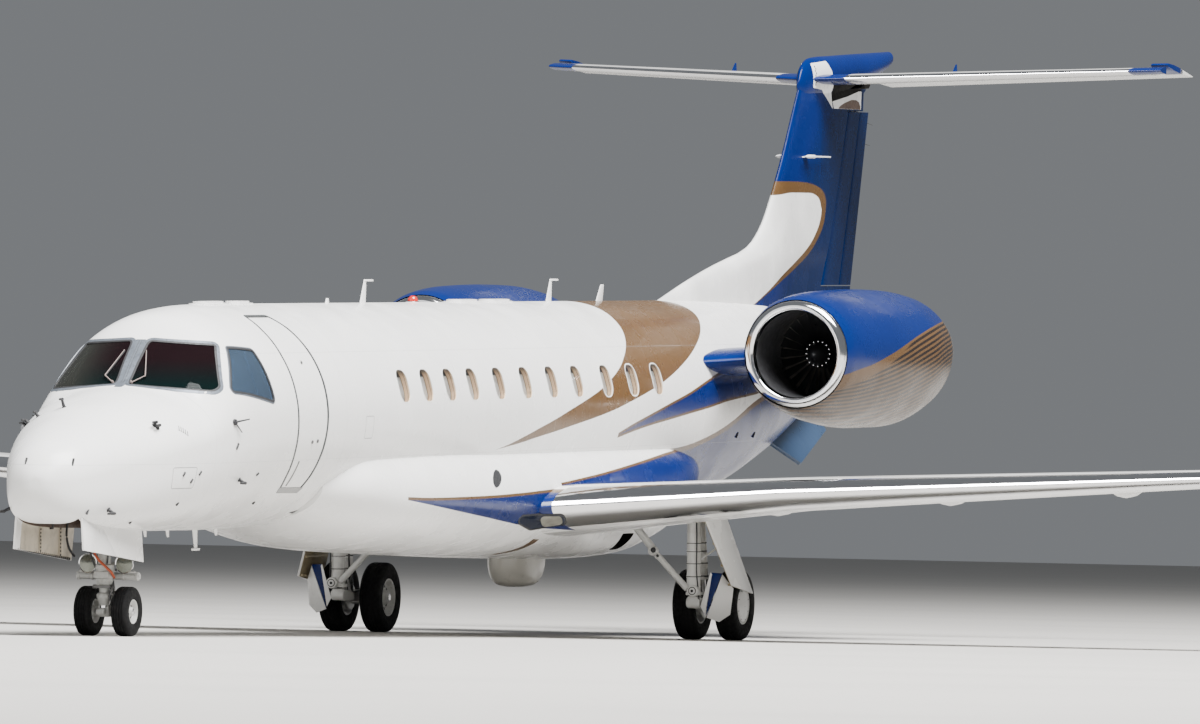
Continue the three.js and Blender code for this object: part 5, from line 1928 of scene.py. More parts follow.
def body_rings(table: Sequence[Point], steps: int, count: int) -> list[np.ndarray]:
    """Smooth rings over a table of station, half width, widest height, top and bottom.

    Args:
        table: Rows of station, half width, widest height, top and bottom.
        steps: How many rings.
        count: Points in a ring.

    Returns:
        The rings.
    """
    stations = np.linspace(table[0][0], table[-1][0], steps)
    rings = []
    for station, half, widest, top, bottom in smooth_rows(table, stations):
        rings.append(oval((station, top, bottom, half, widest, 2.0), count))
    return rings


@dataclass
class Belly(Assembly):
    """The wing-to-body fairing and the pod under it."""

    wings: Sequence[Wing]
    box_half: float = 1.12
    box_square: float = 3.4
    box_ends: tuple[float, float, float, float] = (12.5, 13.5, 14.9, 16.0)
    well: tuple[float, float, float, float] = (14.0, 14.56, 0.86, -1.365)

    def __post_init__(self) -> None:
        """Makes the plain fairing, on which other pieces lie. Its foot is boxy beside the wheel wells."""
        rings = []
        stations = np.linspace(FAIRING[0][0], FAIRING[-1][0], 110)
        for station, half, widest, top, bottom in smooth_rows(FAIRING, stations):
            ring = oval((station, top, bottom, half, widest, 2.0), 96)
            depth = np.clip((widest - ring[:, 2]) / (widest - bottom), 0.0, 1.0)
            boxy = self.box_half * (1 - depth**self.box_square) ** (1 / self.box_square)
            share = np.interp(station, self.box_ends, (0.0, 1.0, 1.0, 0.0)) * np.clip(depth / 0.35, 0.0, 1.0)
            share = share**2 * (3 - 2 * share)
            ring[:, 1] += (np.sign(ring[:, 1]) * boxy - ring[:, 1]) * share
            rings.append(ring)
        self.shell = skin("belly_fairing_skin", rings)
        self.tree = tree_of(self.shell)

    def build(self) -> None:
        """Makes both and cuts the wells."""
        fairing = dressed(self.shell, FAIRING_PAINT)
        front, rear, inner, roof = self.well
        cutters = []
        for wing in self.wings:
            outline = ((front + 0.28, inner), (rear, inner), (rear, 1.6), (front - 0.1, 1.6))
            cutters.append(dressed(rounded_edges(slab("wheel_well", outline, wing.side, -1.9, roof), 0.03),
                                   WELL_DARK))
        carved(fairing, cutters)
        show(fairing, FAIRING_PAINT, stands_for=("belly_fairing",))
        self.pod()

    def pod(self) -> None:
        """The pod, with the joint round its shell."""
        angle = 2 * math.pi * np.arange(64) / 64
        heights = -np.concatenate([np.linspace(1.581, 1.88, 10), np.linspace(1.89, 1.949, 12)])
        rings, joint = [], []
        for height, half, front, rear in smooth_rows(sorted(POD), np.sort(heights)):
            level = np.column_stack([(front + rear) / 2 + (rear - front) / 2 * np.cos(angle),
                                     half * np.sin(angle), np.full(64, height)])
            rings.append(level)
            joint.append(level[5])
        show(skin("belly_pod_skin", rings), POD_SHADE_AND_SOIL, stands_for=("belly_pod",))
        seams = []
        for side in (1.0, -1.0):
            route = [mirror(point, side) for point in joint[4:]]
            seams.append(hose("seam", route, 0.0035, 6, 24))
        show(joined("belly_pod_seams", seams), SEAM_GREY)


# Level sections of the fin: height, leading edge, trailing edge, thickness.
FIN = (
    (1.0, 17.65, 24.942, 0.25), (1.14, 18.26, 24.983, 0.26), (1.4, 19.45, 25.06, 0.257),
    (1.55, 20.26, 25.11, 0.254),
    (1.7, 21.19, 25.15, 0.251), (1.77, 21.43, 25.17, 0.25), (1.86, 21.62, 25.2, 0.248),
    (2.03, 21.87, 25.25, 0.243), (2.21, 22.05, 25.3, 0.236), (2.49, 22.29, 25.38, 0.228),
    (2.73, 22.48, 25.45, 0.218), (3.33, 22.9, 25.627, 0.19), (3.6, 23.09, 25.706, 0.18),
)
# Sections of the tailplane: distance to port, leading edge, chord, height, thickness ratio.
TAILPLANE = ((0.0, 23.29, 1.76, 3.685, 0.07), (3.775, 25.01, 1.29, 3.84, 0.068))
# Sections of the bullet: station, half width, widest height, top, bottom.
BULLET = (
    (23.06, 0.015, 3.62, 3.66, 3.56), (23.16, 0.06, 3.64, 3.82, 3.45), (23.45, 0.105, 3.68, 3.935, 3.45),
    (24.2, 0.14, 3.74, 3.972, 3.5), (25.2, 0.14, 3.82, 4.012, 3.66), (26.1, 0.1, 3.93, 4.045, 3.82),
    (26.34, 0.07, 3.975, 4.055, 3.89),
)
PORT_SIDE = (0.0, 1.0, 0.0)


@dataclass
class Tail(Assembly):
    """Fin, rudder, tailplane, elevators, bullet and ventral strakes."""

    rudder: tuple[float, float, float] = (1.29, 3.34, 0.058)
    rudder_gap: float = 0.008
    rudder_end: float = 0.012
    rudder_parts: tuple[float, float] = (0.565, 0.6)
    hinge: tuple[tuple[float, float], tuple[float, float]] = ((1.3, 23.87), (3.33, 24.77))
    elevator_root: float = 0.42
    elevator_tip: float = 3.773
    elevator_hinge: float = 0.66
    elevator_gap: float = 0.026
    nose_share: float = 0.3
    horn_root: float = 3.552
    horn_front: float = 0.24
    horn_gap: float = 0.024
    droop: float = math.radians(8)
    polished: float = 0.078
    blue_tip: tuple[float, float] = (3.43, 0.25)
    behind: float = 27.0
    beyond: float = 4.0

    def hinge_at(self, height: float) -> float:
        """Station of the rudder's hinge."""
        (low, s0), (high, s1) = self.hinge
        return s0 + (s1 - s0) * (height - low) / (high - low)

    def build(self) -> None:
        """Makes every piece of the tail."""
        heights = np.linspace(1.0, 3.6, 40)
        rings = []
        for height, lead, tail, thickness in smooth_rows(FIN, heights):
            rings.append(Aerofoil(lead, tail - lead, 0.0, height, thickness, PORT_SIDE).ring())
        fin = dressed(skin("fin_skin", rings), FIN_PAINT)
        foot, head, radius = self.rudder
        outline = [(self.hinge_at(height) - radius - self.rudder_gap, height) for height in (foot, head)]
        outline += [(self.behind, head), (self.behind, foot)]
        slot = skin("rudder_slot", [np.array([(s, y, h) for s, h in outline]) for y in (-0.4, 0.4)])
        rear = [(25.38, 3.2), (25.39, 3.55), (25.6, 3.64), (26.4, 3.64), (26.4, 3.2)]
        trim = skin("fin_trim", [np.array([(s, y, h) for s, h in rear]) for y in (-0.4, 0.4)])
        carved(fin, [dressed(slot, BLUE_PAINT), dressed(trim, WHITE_PAINT)])
        show(fin, FIN_PAINT, stands_for=("fin",))
        self.head(rings)
        ends = []
        for height in (foot + self.rudder_end, head - self.rudder_end):
            hinge = (self.hinge_at(height), 0.0, height)
            ends.append((hinge, radius, (smooth_rows(FIN, np.array([height]))[0][2], 0.0, height)))
        front = control("rudder_front", ends, PORT_SIDE, self.rudder_parts[0])
        rear = control("rudder_rear", ends, PORT_SIDE, 1.0, self.rudder_parts[1])
        show(front, FIN_PAINT, "rudder", ("rudder",))
        show(rear, FIN_PAINT, "rudder")
        self.stabiliser()
        self.bullet()
        wicks = [bar("wick", (25.54, 0, 3.21), (25.8, 0, 3.18), 0.005, 0.003, count=8),
                 bar("wick", (25.46, 0, 2.96), (25.7, 0, 2.94), 0.005, 0.003, count=8)]
        show(joined("rudder_wicks", wicks), SEAL, "rudder")
        strip = bar("rudder_strip", (24.84, 0.0, 3.316), (25.2, 0.0, 3.316), 0.024, count=16)
        show(strip, WHITE_PAINT, "rudder")

    def head(self, fin_rings: Sequence[np.ndarray]) -> None:
        """What shows between the fin and the tailplane, and the two rods on the fin.

        Args:
            fin_rings: The fin's own rings.
        """
        solid = joined("head", [skin("fin", fin_rings), skin("bullet", body_rings(BULLET, 60, 48))])
        tree = tree_of(solid)
        bpy.data.objects.remove(solid)
        looks = (
            ("fin_plate", WHITE_PAINT, 0.0035, 0.02,
             ((23.33, 3.87), (23.8, 3.905), (23.9, 3.78), (23.93, 3.65), (23.62, 3.57), (23.34, 3.59))),
            ("fin_plate_foot", WHITE_PAINT, 0.003, 0.006,
             ((23.56, 3.6), (23.95, 3.67), (24.0, 3.46), (24.04, 3.35), (23.78, 3.5))),
            # The cavity is a near-black pad: painted shade in the cut-out under the tailplane.
            ("fin_cavity", WELL_DARK, 0.0022, 0.01,
             ((23.97, 3.67), (25.36, 3.67), (25.2, 3.54), (24.02, 3.43))),
            ("fin_lip", WHITE_PAINT, 0.0035, 0.008,
             ((24.03, 3.44), (24.7, 3.51), (25.14, 3.57), (25.28, 3.57), (25.27, 3.357), (24.1, 3.357))),
            ("fin_arc", BAY_DARK, 0.005, 0.006,
             ((24.24, 3.359), (24.38, 3.4), (24.54, 3.43), (24.82, 3.467), (25.04, 3.467), (25.18, 3.44),
              (25.24, 3.39), (25.25, 3.359))),
        )
        dots, outs = [], []
        for name, finish, lift, radius, points in looks:
            pads = []
            for _, side in SIDES:
                corners = mirror([(s, 0.12, h) for s, h in points], side)
                outline = Outline(tree, corners, radius, turned((0.0, side, 0.0)), 5, 10)
                pads.append(outline.pad("pad", 0.0, lift, 0.008, 9))
            show(joined(name, pads), finish)
        for _, side in SIDES:
            for i in range(9):
                near = placed((23.395 + 0.02 * (i % 2), 0.14 * side, 3.62 + 0.029 * i))
                place, normal, _, _ = tree.find_nearest(Vector(near))
                dots.append(np.array(place) + 0.003 * np.array(normal))
                outs.append(np.array(normal))
        rivets = Repeat("fin_plate_dots", stud(0.012, 0.003, 8), SEAL)
        show(rivets.build(np.array(dots), np.array(outs)), SEAL)
        rods = []
        for _, side in SIDES:
            y = 0.18 * side
            rods += [
                spun("rod", (22.82, y, 2.79), (23.8, y, 2.79),
                     ((0.0, 0.004), (0.06, 0.016), (0.12, 0.021), (0.32, 0.021), (0.36, 0.01), (0.9, 0.009),
                      (0.91, 0.005)), 20),
                plate("mount",
                      mirror(((22.95, 0.07, 2.775), (23.12, 0.07, 2.775), (23.1, 0.178, 2.788),
                              (23.0, 0.178, 2.788)), side), (0.0, 0.0, 0.012), 0.003),
            ]
        show(joined("fin_rods", rods), WHITE_PAINT)
        fins = [blade("fin", (24.72, 1.36 * side, 3.78), 0.2, 0.02, 0.11, 0.06, 0.25) for _, side in SIDES]
        show(joined("tailplane_fins", fins), BLUE_PAINT)

    def tailplane_ring(self, span: float, side: float) -> np.ndarray:
        """The tailplane's aerofoil at a distance from the middle."""
        y, lead, chord, height, ratio = wing_row(TAILPLANE, span)
        return mirror(Aerofoil(lead, chord, y, height, ratio * chord).ring(), side)

    def stabiliser(self) -> None:
        """The fixed tailplane and both elevators, which hang down a little at rest."""
        spans = (TAILPLANE[1][0], self.blue_tip[0], 2.2, 1.2, self.elevator_root, 0.2)
        rings = [self.tailplane_ring(y, 1.0) for y in spans] + [self.tailplane_ring(0.0, 1.0)]
        rings += [self.tailplane_ring(y, -1.0) for y in spans[::-1]]
        plane = dressed(skin("tailplane_skin", rings), WING_PAINT, CHROME, BLUE_PAINT)
        slots = []
        for word, side in SIDES:
            outline = []
            for span, share in ((self.elevator_root, self.elevator_hinge),
                                (self.horn_root, self.elevator_hinge), (self.horn_root, self.horn_front),
                                (self.elevator_tip, self.horn_front)):
                _, lead, chord, _, ratio = wing_row(TAILPLANE, span)
                nose = self.nose_share * ratio * chord + self.elevator_gap
                gap = nose if share == self.elevator_hinge else self.horn_gap
                outline.append((lead + share * chord - gap,
                                span if span < self.elevator_tip else self.beyond))
            outline += [(self.behind, self.beyond), (self.behind, self.elevator_root)]
            slots.append(dressed(slab("elevator_slot", outline, side), WING_PAINT))
            self.elevator(word, side)
        carved(plane, slots)
        paint_faces(plane, 1, self.on_edge)
        paint_faces(plane, 2, self.on_blue)
        show(plane, WING_PAINT, stands_for=("tailplane",))

    def on_edge(self, place: np.ndarray) -> bool:
        """Whether a point lies on the tailplane's polished leading edge."""
        _, lead, chord, _, _ = wing_row(TAILPLANE, place[1])
        return bool(place[0] < lead + self.polished * chord)

    def on_blue(self, place: np.ndarray) -> bool:
        """Whether a point lies on the blue middle of the tailplane, or on the blue front of its tip.

        Args:
            place: Station, distance from the middle and height.

        Returns:
            True on the blue.
        """
        start, depth = self.blue_tip
        on_tip = place[1] > start and place[0] < wing_row(TAILPLANE, place[1])[1] + depth
        return bool(place[1] < self.elevator_root or on_tip)

    def elevator(self, word: str, side: float) -> None:
        """One elevator with its balance horn, turned down about its hinge.

        Args:
            word: left or right, as names say it.
            side: 1 for port, -1 for starboard.
        """
        ends = []
        for span in (self.elevator_root + 0.01, self.elevator_tip):
            _, lead, chord, height, ratio = wing_row(TAILPLANE, span)
            hinge = np.array([lead + self.elevator_hinge * chord, span * side, height])
            ends.append((hinge, self.nose_share * ratio * chord, (lead + chord, span * side, height)))
        surface = dressed(control(f"elevator_panel_{word}", ends, (0.0, 0.0, 1.0)), WING_PAINT)
        rings = []
        for span in (self.horn_root + 0.033, self.elevator_tip):
            y, lead, chord, height, ratio = wing_row(TAILPLANE, span)
            half = ratio * chord / 2
            ring = [(self.horn_front, 0.0), (0.27, 0.5), (0.44, 0.8), (0.6, 0.76), (0.71, 0.55),
                    (0.71, -0.55), (0.6, -0.76), (0.44, -0.8), (0.27, -0.5)]
            rings.append(mirror([(lead + f * chord, y, height + share * half) for f, share in ring], side))
        horn = dressed(rounded_edges(skin("horn", rings), 0.012), BLUE_PAINT)
        whole = joined(f"elevator_panel_{word}", [surface, horn])
        start, end = placed(ends[0][0]), placed(ends[1][0])
        axis = Vector(end - start).normalized()
        turn = Matrix.Rotation(-side * self.droop, 4, axis)
        whole.data.transform(Matrix.Translation(start) @ turn @ Matrix.Translation(-Vector(start)))
        show(whole, WING_PAINT, f"{word}_elevator", (f"elevator_{word}",))

    def bullet(self) -> None:
        """The fairing over the tailplane's joint, and the strakes under the tail."""
        show(skin("tail_bullet_skin", body_rings(BULLET, 60, 48)), BLUE_PAINT, stands_for=("tail_bullet",))
        for word, side in SIDES:
            outline = mirror(((20.4, 0.33, -0.33), (21.05, 0.74, -0.74), (22.35, 0.6, -0.38),
                              (22.55, 0.24, 0.04)), side)
            piece = plate(f"ventral_strake_skin_{word}", outline, (0.0, 0.034 * side, 0.03), 0.01)
            show(piece, STRAKE_PAINT, stands_for=(f"ventral_strake_{word}",))


# Sections of the cowl: station, half width, widest height, top, bottom. The duct: station, radius.
NACELLE = (
    (16.6, 0.6, 0.58, 1.18, -0.02), (16.75, 0.645, 0.58, 1.225, -0.065),
    (17.4, 0.715, 0.56, 1.275, -0.19), (18.4, 0.765, 0.53, 1.29, -0.255), (19.2, 0.765, 0.52, 1.28, -0.255),
    (20.0, 0.68, 0.545, 1.225, -0.14), (20.7, 0.49, 0.59, 1.08, 0.1),
)
DUCT = ((16.65, 0.476), (17.0, 0.47), (17.45, 0.496), (18.2, 0.496), (20.0, 0.47), (20.66, 0.44))
# Distance to port and height of the engine's axis.
ENGINE_Y = 2.2
ENGINE_H = 0.58


@dataclass
class Engine(Assembly):
    """One engine: cowl, intake, fan, exhaust and pylon."""

    word: str
    side: float
    blades: int = 24
    blade_root: float = 0.13
    blade_tip: float = 0.476
    spinner_tip: float = 17.18
    hub_rear: float = 17.6
    lip_depth: float = 0.078

    def axis(self, station: float) -> tuple[float, float, float]:
        """A point on the engine's axis."""
        return (station, ENGINE_Y * self.side, ENGINE_H)

    def build(self) -> None:
        """Makes the engine's pieces."""
        y = ENGINE_Y * self.side
        stations = np.concatenate([np.linspace(16.6, 16.75, 5), np.linspace(16.8, 20.7, 44)])
        outer = []
        for station, half, widest, top, bottom in smooth_rows(NACELLE, stations):
            outer.append(oval((station, top, bottom, half, widest, 2.0), 96) + np.array([0.0, y, 0.0]))
        first = outer[0]
        inner = []
        for station, radius in smooth_rows(DUCT, np.linspace(20.66, 16.65, 30)):
            inner.append(oval((station, ENGINE_H + radius, ENGINE_H - radius, radius, ENGINE_H, 2.0), 96)
                         + np.array([0.0, y, 0.0]))
        last = inner[-1]
        lip = []
        for angle in np.linspace(0, math.pi, 14)[1:-1]:
            share = (1 - math.cos(angle)) / 2
            front = first[0, 0] * (1 - share) + last[0, 0] * share - self.lip_depth * math.sin(angle)
            ring = first * share + last * (1 - share)
            ring[:, 0] = front
            lip.append(ring)
        rings = inner + lip + outer
        cowl = dressed(skin(f"nacelle_skin_{self.word}", rings, wrap=True), NACELLE_PAINT, CHROME, DUCT_METAL,
                       BURNT_METAL)
        kinds = [2] * (len(inner) - 1) + [1] * (len(lip) + 1) + [0] * (len(outer) - 4) + [1] * 2 + [3] * 2
        self.by_ring(cowl, rings, kinds)
        show(cowl, NACELLE_PAINT, stands_for=(f"nacelle_{self.word}",))
        self.fan()
        self.core()
        pylon = [mirror(Aerofoil(lead, chord, out, height, ratio * chord).ring(), self.side)
                 for out, lead, chord, height, ratio in ((1.0, 16.84, 3.42, 0.465, 0.095),
                                                         (1.64, 17.05, 3.05, 0.52, 0.095))]
        show(skin(f"pylon_skin_{self.word}", pylon), BLUE_PAINT, stands_for=(f"pylon_{self.word}",))

    def by_ring(self, obj: bpy.types.Object, rings: Sequence[np.ndarray], kinds: Sequence[int]) -> None:
        """Gives each face the material of the ring that it starts from.

        Args:
            obj: The skin over the rings.
            rings: The rings, in order.
            kinds: Material index of each ring.
        """
        count = len(rings[0])
        centres = {}
        for r in range(len(rings)):
            pair = np.vstack([rings[r], rings[(r + 1) % len(rings)]])
            centres[r] = placed(pair)
        tree_points = np.array([[centres[r][[i, (i + 1) % count, count + i,
                                             count + (i + 1) % count]].mean(axis=0) for i in range(count)]
                                for r in range(len(rings))])
        flat = tree_points.reshape(-1, 3)
        kd = KDTree(len(flat))
        for i, point in enumerate(flat):
            kd.insert(point, i)
        kd.balance()
        for face in obj.data.polygons:
            _, index, _ = kd.find(face.center)
            face.material_index = kinds[min(index // count, len(kinds) - 1)]

    def fan(self) -> None:
        """The spinner with its bolts, and the twisted blades."""
        body = f"{self.word}_fan"
        profile = ((0.0, 0.004), (0.012, 0.03), (0.05, 0.066), (0.11, 0.1), (0.18, 0.13), (0.25, 0.148),
                   (0.3, 0.15), (0.36, 0.15))
        spinner = spun("spinner", self.axis(self.spinner_tip), self.axis(self.hub_rear), profile, 48)
        rim = ((0.0, 0.06), (0.004, 0.16), (0.035, 0.16), (0.04, 0.06))
        disc = spun("disc", self.axis(17.5), self.axis(self.hub_rear), rim, 48)
        shaft = bar("shaft", self.axis(17.5), self.axis(17.59), 0.088)
        hub = joined(f"fan_hub_{self.word}", [spinner, disc, shaft])
        show(hub, DARK_METAL, body, (f"fan_{self.word}",))
        places, ups = ring_points(self.axis(17.36), self.axis(16.0), 0.138, 16)
        bolts = Repeat(f"spinner_bolts_{self.word}", stud(0.011, 0.012, 8), STEEL)
        show(bolts.build(places, ups), STEEL, body)
        rings = []
        for radius in np.linspace(self.blade_root, self.blade_tip, 9):
            share = (radius - self.blade_root) / (self.blade_tip - self.blade_root)
            twist = math.radians(28 + 34 * share)
            half = 0.036 + 0.022 * share
            across, back = math.sin(twist) * half, math.cos(twist) * half
            curve = 0.008
            rings.append(np.array([
                (-across, -back, radius), (-curve * 0.4, curve, radius), (across, back, radius),
                (across + 0.001, back - 0.004, radius), (-curve * 0.4 + 0.004, curve - 0.005, radius),
                (-across + 0.001, -back - 0.003, radius)]))
        points, faces = lofted(rings)
        shape = new_object("blade_shape", points, faces)
        spots, ups, fronts = [], [], []
        along = turned((-1.0, 0.0, 0.0))
        first, second = cross_axes(along)
        for i in range(self.blades):
            angle = 2 * math.pi * i / self.blades
            spots.append(placed(self.axis(17.485)))
            ups.append(math.cos(angle) * first + math.sin(angle) * second)
            fronts.append(math.sin(angle) * first - math.cos(angle) * second)
        repeat = Repeat(f"fan_blades_{self.word}", shape, DARK_METAL)
        show(repeat.build(np.array(spots), np.array(ups), np.array(fronts)), DARK_METAL, body)

    def core(self) -> None:
        """The fixed core behind the fan, and the exhaust cone."""
        profile = ((0.0, 0.1), (0.002, 0.494), (0.03, 0.494), (2.3, 0.494), (2.4, 0.47), (2.8, 0.34),
                   (2.98, 0.26), (2.99, 0.1))
        wall = spun("core_wall", self.axis(17.62), self.axis(20.0), profile, 64)
        profile = ((0.0, 0.2), (0.15, 0.19), (0.27, 0.12), (0.33, 0.03), (0.335, 0.0))
        cone = spun("tail_cone", self.axis(20.3), self.axis(20.6), profile, 48)
        core = joined(f"engine_core_skin_{self.word}",
                      [dressed(wall, BURNT_METAL), dressed(cone, BURNT_METAL)])
        show(core, BURNT_METAL, stands_for=(f"engine_core_{self.word}",))


def unplaced(point: Point) -> np.ndarray:
    """A point of the level frame as station, distance to port and height.

    Args:
        point: X, Y and Z.

    Returns:
        The airframe point.
    """
    x, y, z = point
    cos, sin = math.cos(NOSE_DOWN), math.sin(NOSE_DOWN)
    along, up = (x - AXLE_X) * cos - z * sin, (x - AXLE_X) * sin + z * cos
    return np.array([MAIN_STATION - along, y, up - CENTRE_HEIGHT])


@dataclass
class Wheel(Assembly):
    """One wheel on an axle across the aircraft. Its open or capped face looks to the outside."""

    name: str
    body: str
    centre: tuple[float, float, float]
    radius: float
    width: float
    rim: float
    bore: float
    outside: float
    node: str
    capped: bool = False
    holes: int = 9

    def turned_piece(self, name: str, profile: Sequence[Point], wrap: bool = True) -> bpy.types.Object:
        """A turned piece whose profile counts towards the outside from the wheel's middle."""
        start = unplaced(self.centre)
        return spun(name, start, start + np.array([0.0, self.outside, 0.0]), profile, 64, wrap)

    def build(self) -> None:
        """Makes the tyre with its grooves and the wheel with its bolts, and on an open face dark discs of
        painted shade for its holes.
        """
        half, top, rim = self.width / 2, self.radius, self.rim
        rise = top - rim
        shoulder = [(0.78, 0.0), (0.9, 0.06), (0.96, 0.22), (1.0, 0.45), (0.985, 0.66), (0.92, 0.83),
                    (0.8, 0.945), (0.66, 0.985)]
        left = [(-half * a, rim + rise * b) for a, b in shoulder]
        tread = []
        for place in (-0.48, -0.17, 0.17, 0.48):
            middle = place * half
            tread += [(middle - 0.006, top), (middle - 0.005, top - 0.008), (middle + 0.005, top - 0.008),
                      (middle + 0.006, top)]
        right = [(half * a, rim + rise * b) for a, b in shoulder[::-1]]
        tyre = self.turned_piece(f"{self.name}_tyre_body", left + tread + right)
        show(tyre, RUBBER, self.body, (f"{self.node}_tyre",))
        deep = half * 0.84
        face = [(deep, rim), (deep, rim * 0.94), (deep * 0.9, rim * 0.91), (deep * 0.5, rim * 0.86),
                (deep * 0.32, rim * 0.78), (deep * 0.3, rim * 0.48), (deep * 0.62, rim * 0.4),
                (deep * 0.94, rim * 0.32), (deep, rim * 0.29), (deep, self.bore)]
        back = [(-deep, self.bore), (-deep, rim * 0.36), (-deep * 0.4, rim * 0.45), (-deep * 0.35, rim * 0.8),
                (-deep * 0.9, rim * 0.92), (-deep, rim * 0.94), (-deep, rim)]
        show(self.turned_piece(f"{self.name}_rim_body", face + back), WHEEL_PAINT, self.body,
             (f"{self.node}_rim",))
        centre = unplaced(self.centre)
        across = np.array([0.0, self.outside, 0.0])
        if self.capped:
            cap = [(deep * 0.5, rim * 0.89), (deep * 0.93, rim * 0.89), (deep * 0.98, rim * 0.86),
                   (deep * 1.03, rim * 0.5), (deep * 1.04, 0.0)]
            show(self.turned_piece(f"{self.name}_cap", cap, False), GEAR_WHITE, self.body)
            radius, depth, count = rim * 0.8, deep * 1.0, 8
        else:
            nut = [(deep * 0.6, self.bore * 0.98), (deep * 1.04, self.bore * 0.98),
                   (deep * 1.12, self.bore * 0.7), (deep * 1.12, 0.0)]
            show(self.turned_piece(f"{self.name}_nut", nut, False), STEEL, self.body)
            radius, depth, count = rim * 0.66, deep * 0.31, self.holes
            # The holes are dark flat discs: painted shade where the holes would be.
            points, ups = ring_points(centre + across * depth, centre + across, radius, count)
            show(Repeat(f"{self.name}_holes", stud(rim * 0.12, 0.0012, 14), SEAL).build(points, ups), SEAL,
                 self.body)
        points, ups = ring_points(centre + across * depth, centre + across, radius, 2 * count)
        points, ups = points[1::2], ups[1::2]
        show(Repeat(f"{self.name}_bolts", stud(0.008, 0.009, 6), STEEL).build(points, ups), STEEL, self.body)


def eye(place: Point, along: Point, radius: float, length: float) -> bpy.types.Object:
    """A ringed pivot with a sunk middle.

    Args:
        place: Its middle.
        along: Direction of its axis.
        radius: Radius.
        length: Length.

    Returns:
        The object.
    """
    start = np.asarray(place, float) - np.asarray(along, float) * length / 2
    profile = ((0.0, radius * 0.8), (0.006, radius), (length - 0.006, radius), (length, radius * 0.86),
               (length, radius * 0.66), (length - 0.012, radius * 0.6), (length - 0.012, radius * 0.42),
               (length + 0.004, radius * 0.36), (length + 0.004, radius * 0.18),
               (length - 0.008, radius * 0.12))
    return spun("eye", start, start + np.asarray(along, float), profile, 32)


def banded(name: str, start: Point, end: Point, radius: float, bands: Sequence[float]) -> bpy.types.Object:
    """A leg tube with thin grooves beside raised clamps, at shares of its length.

    Args:
        name: Name of the object.
        start: First airframe point.
        end: Second airframe point.
        radius: Radius.
        bands: Shares of its length where a clamp sits.

    Returns:
        The object.
    """
    length = float(np.linalg.norm(placed(end) - placed(start)))
    profile = [(0.0, radius)]
    for share in bands:
        at = share * length
        profile += [(at - 0.014, radius), (at - 0.012, radius * 1.05), (at - 0.004, radius * 1.05),
                    (at - 0.003, radius * 0.93), (at + 0.003, radius * 0.93), (at + 0.004, radius * 1.05),
                    (at + 0.012, radius * 1.05), (at + 0.014, radius)]
    profile.append((length, radius))
    return spun(name, start, end, profile, 40)


def stud_mark(station: float, out: float, height: float) -> bpy.types.Object:
    """A small block, one of the dark row along a stiffener."""
    return brick("mark", (station - 0.012, out - 0.004, height - 0.009),
                 (station + 0.004, out + 0.004, height + 0.009), 0.001)


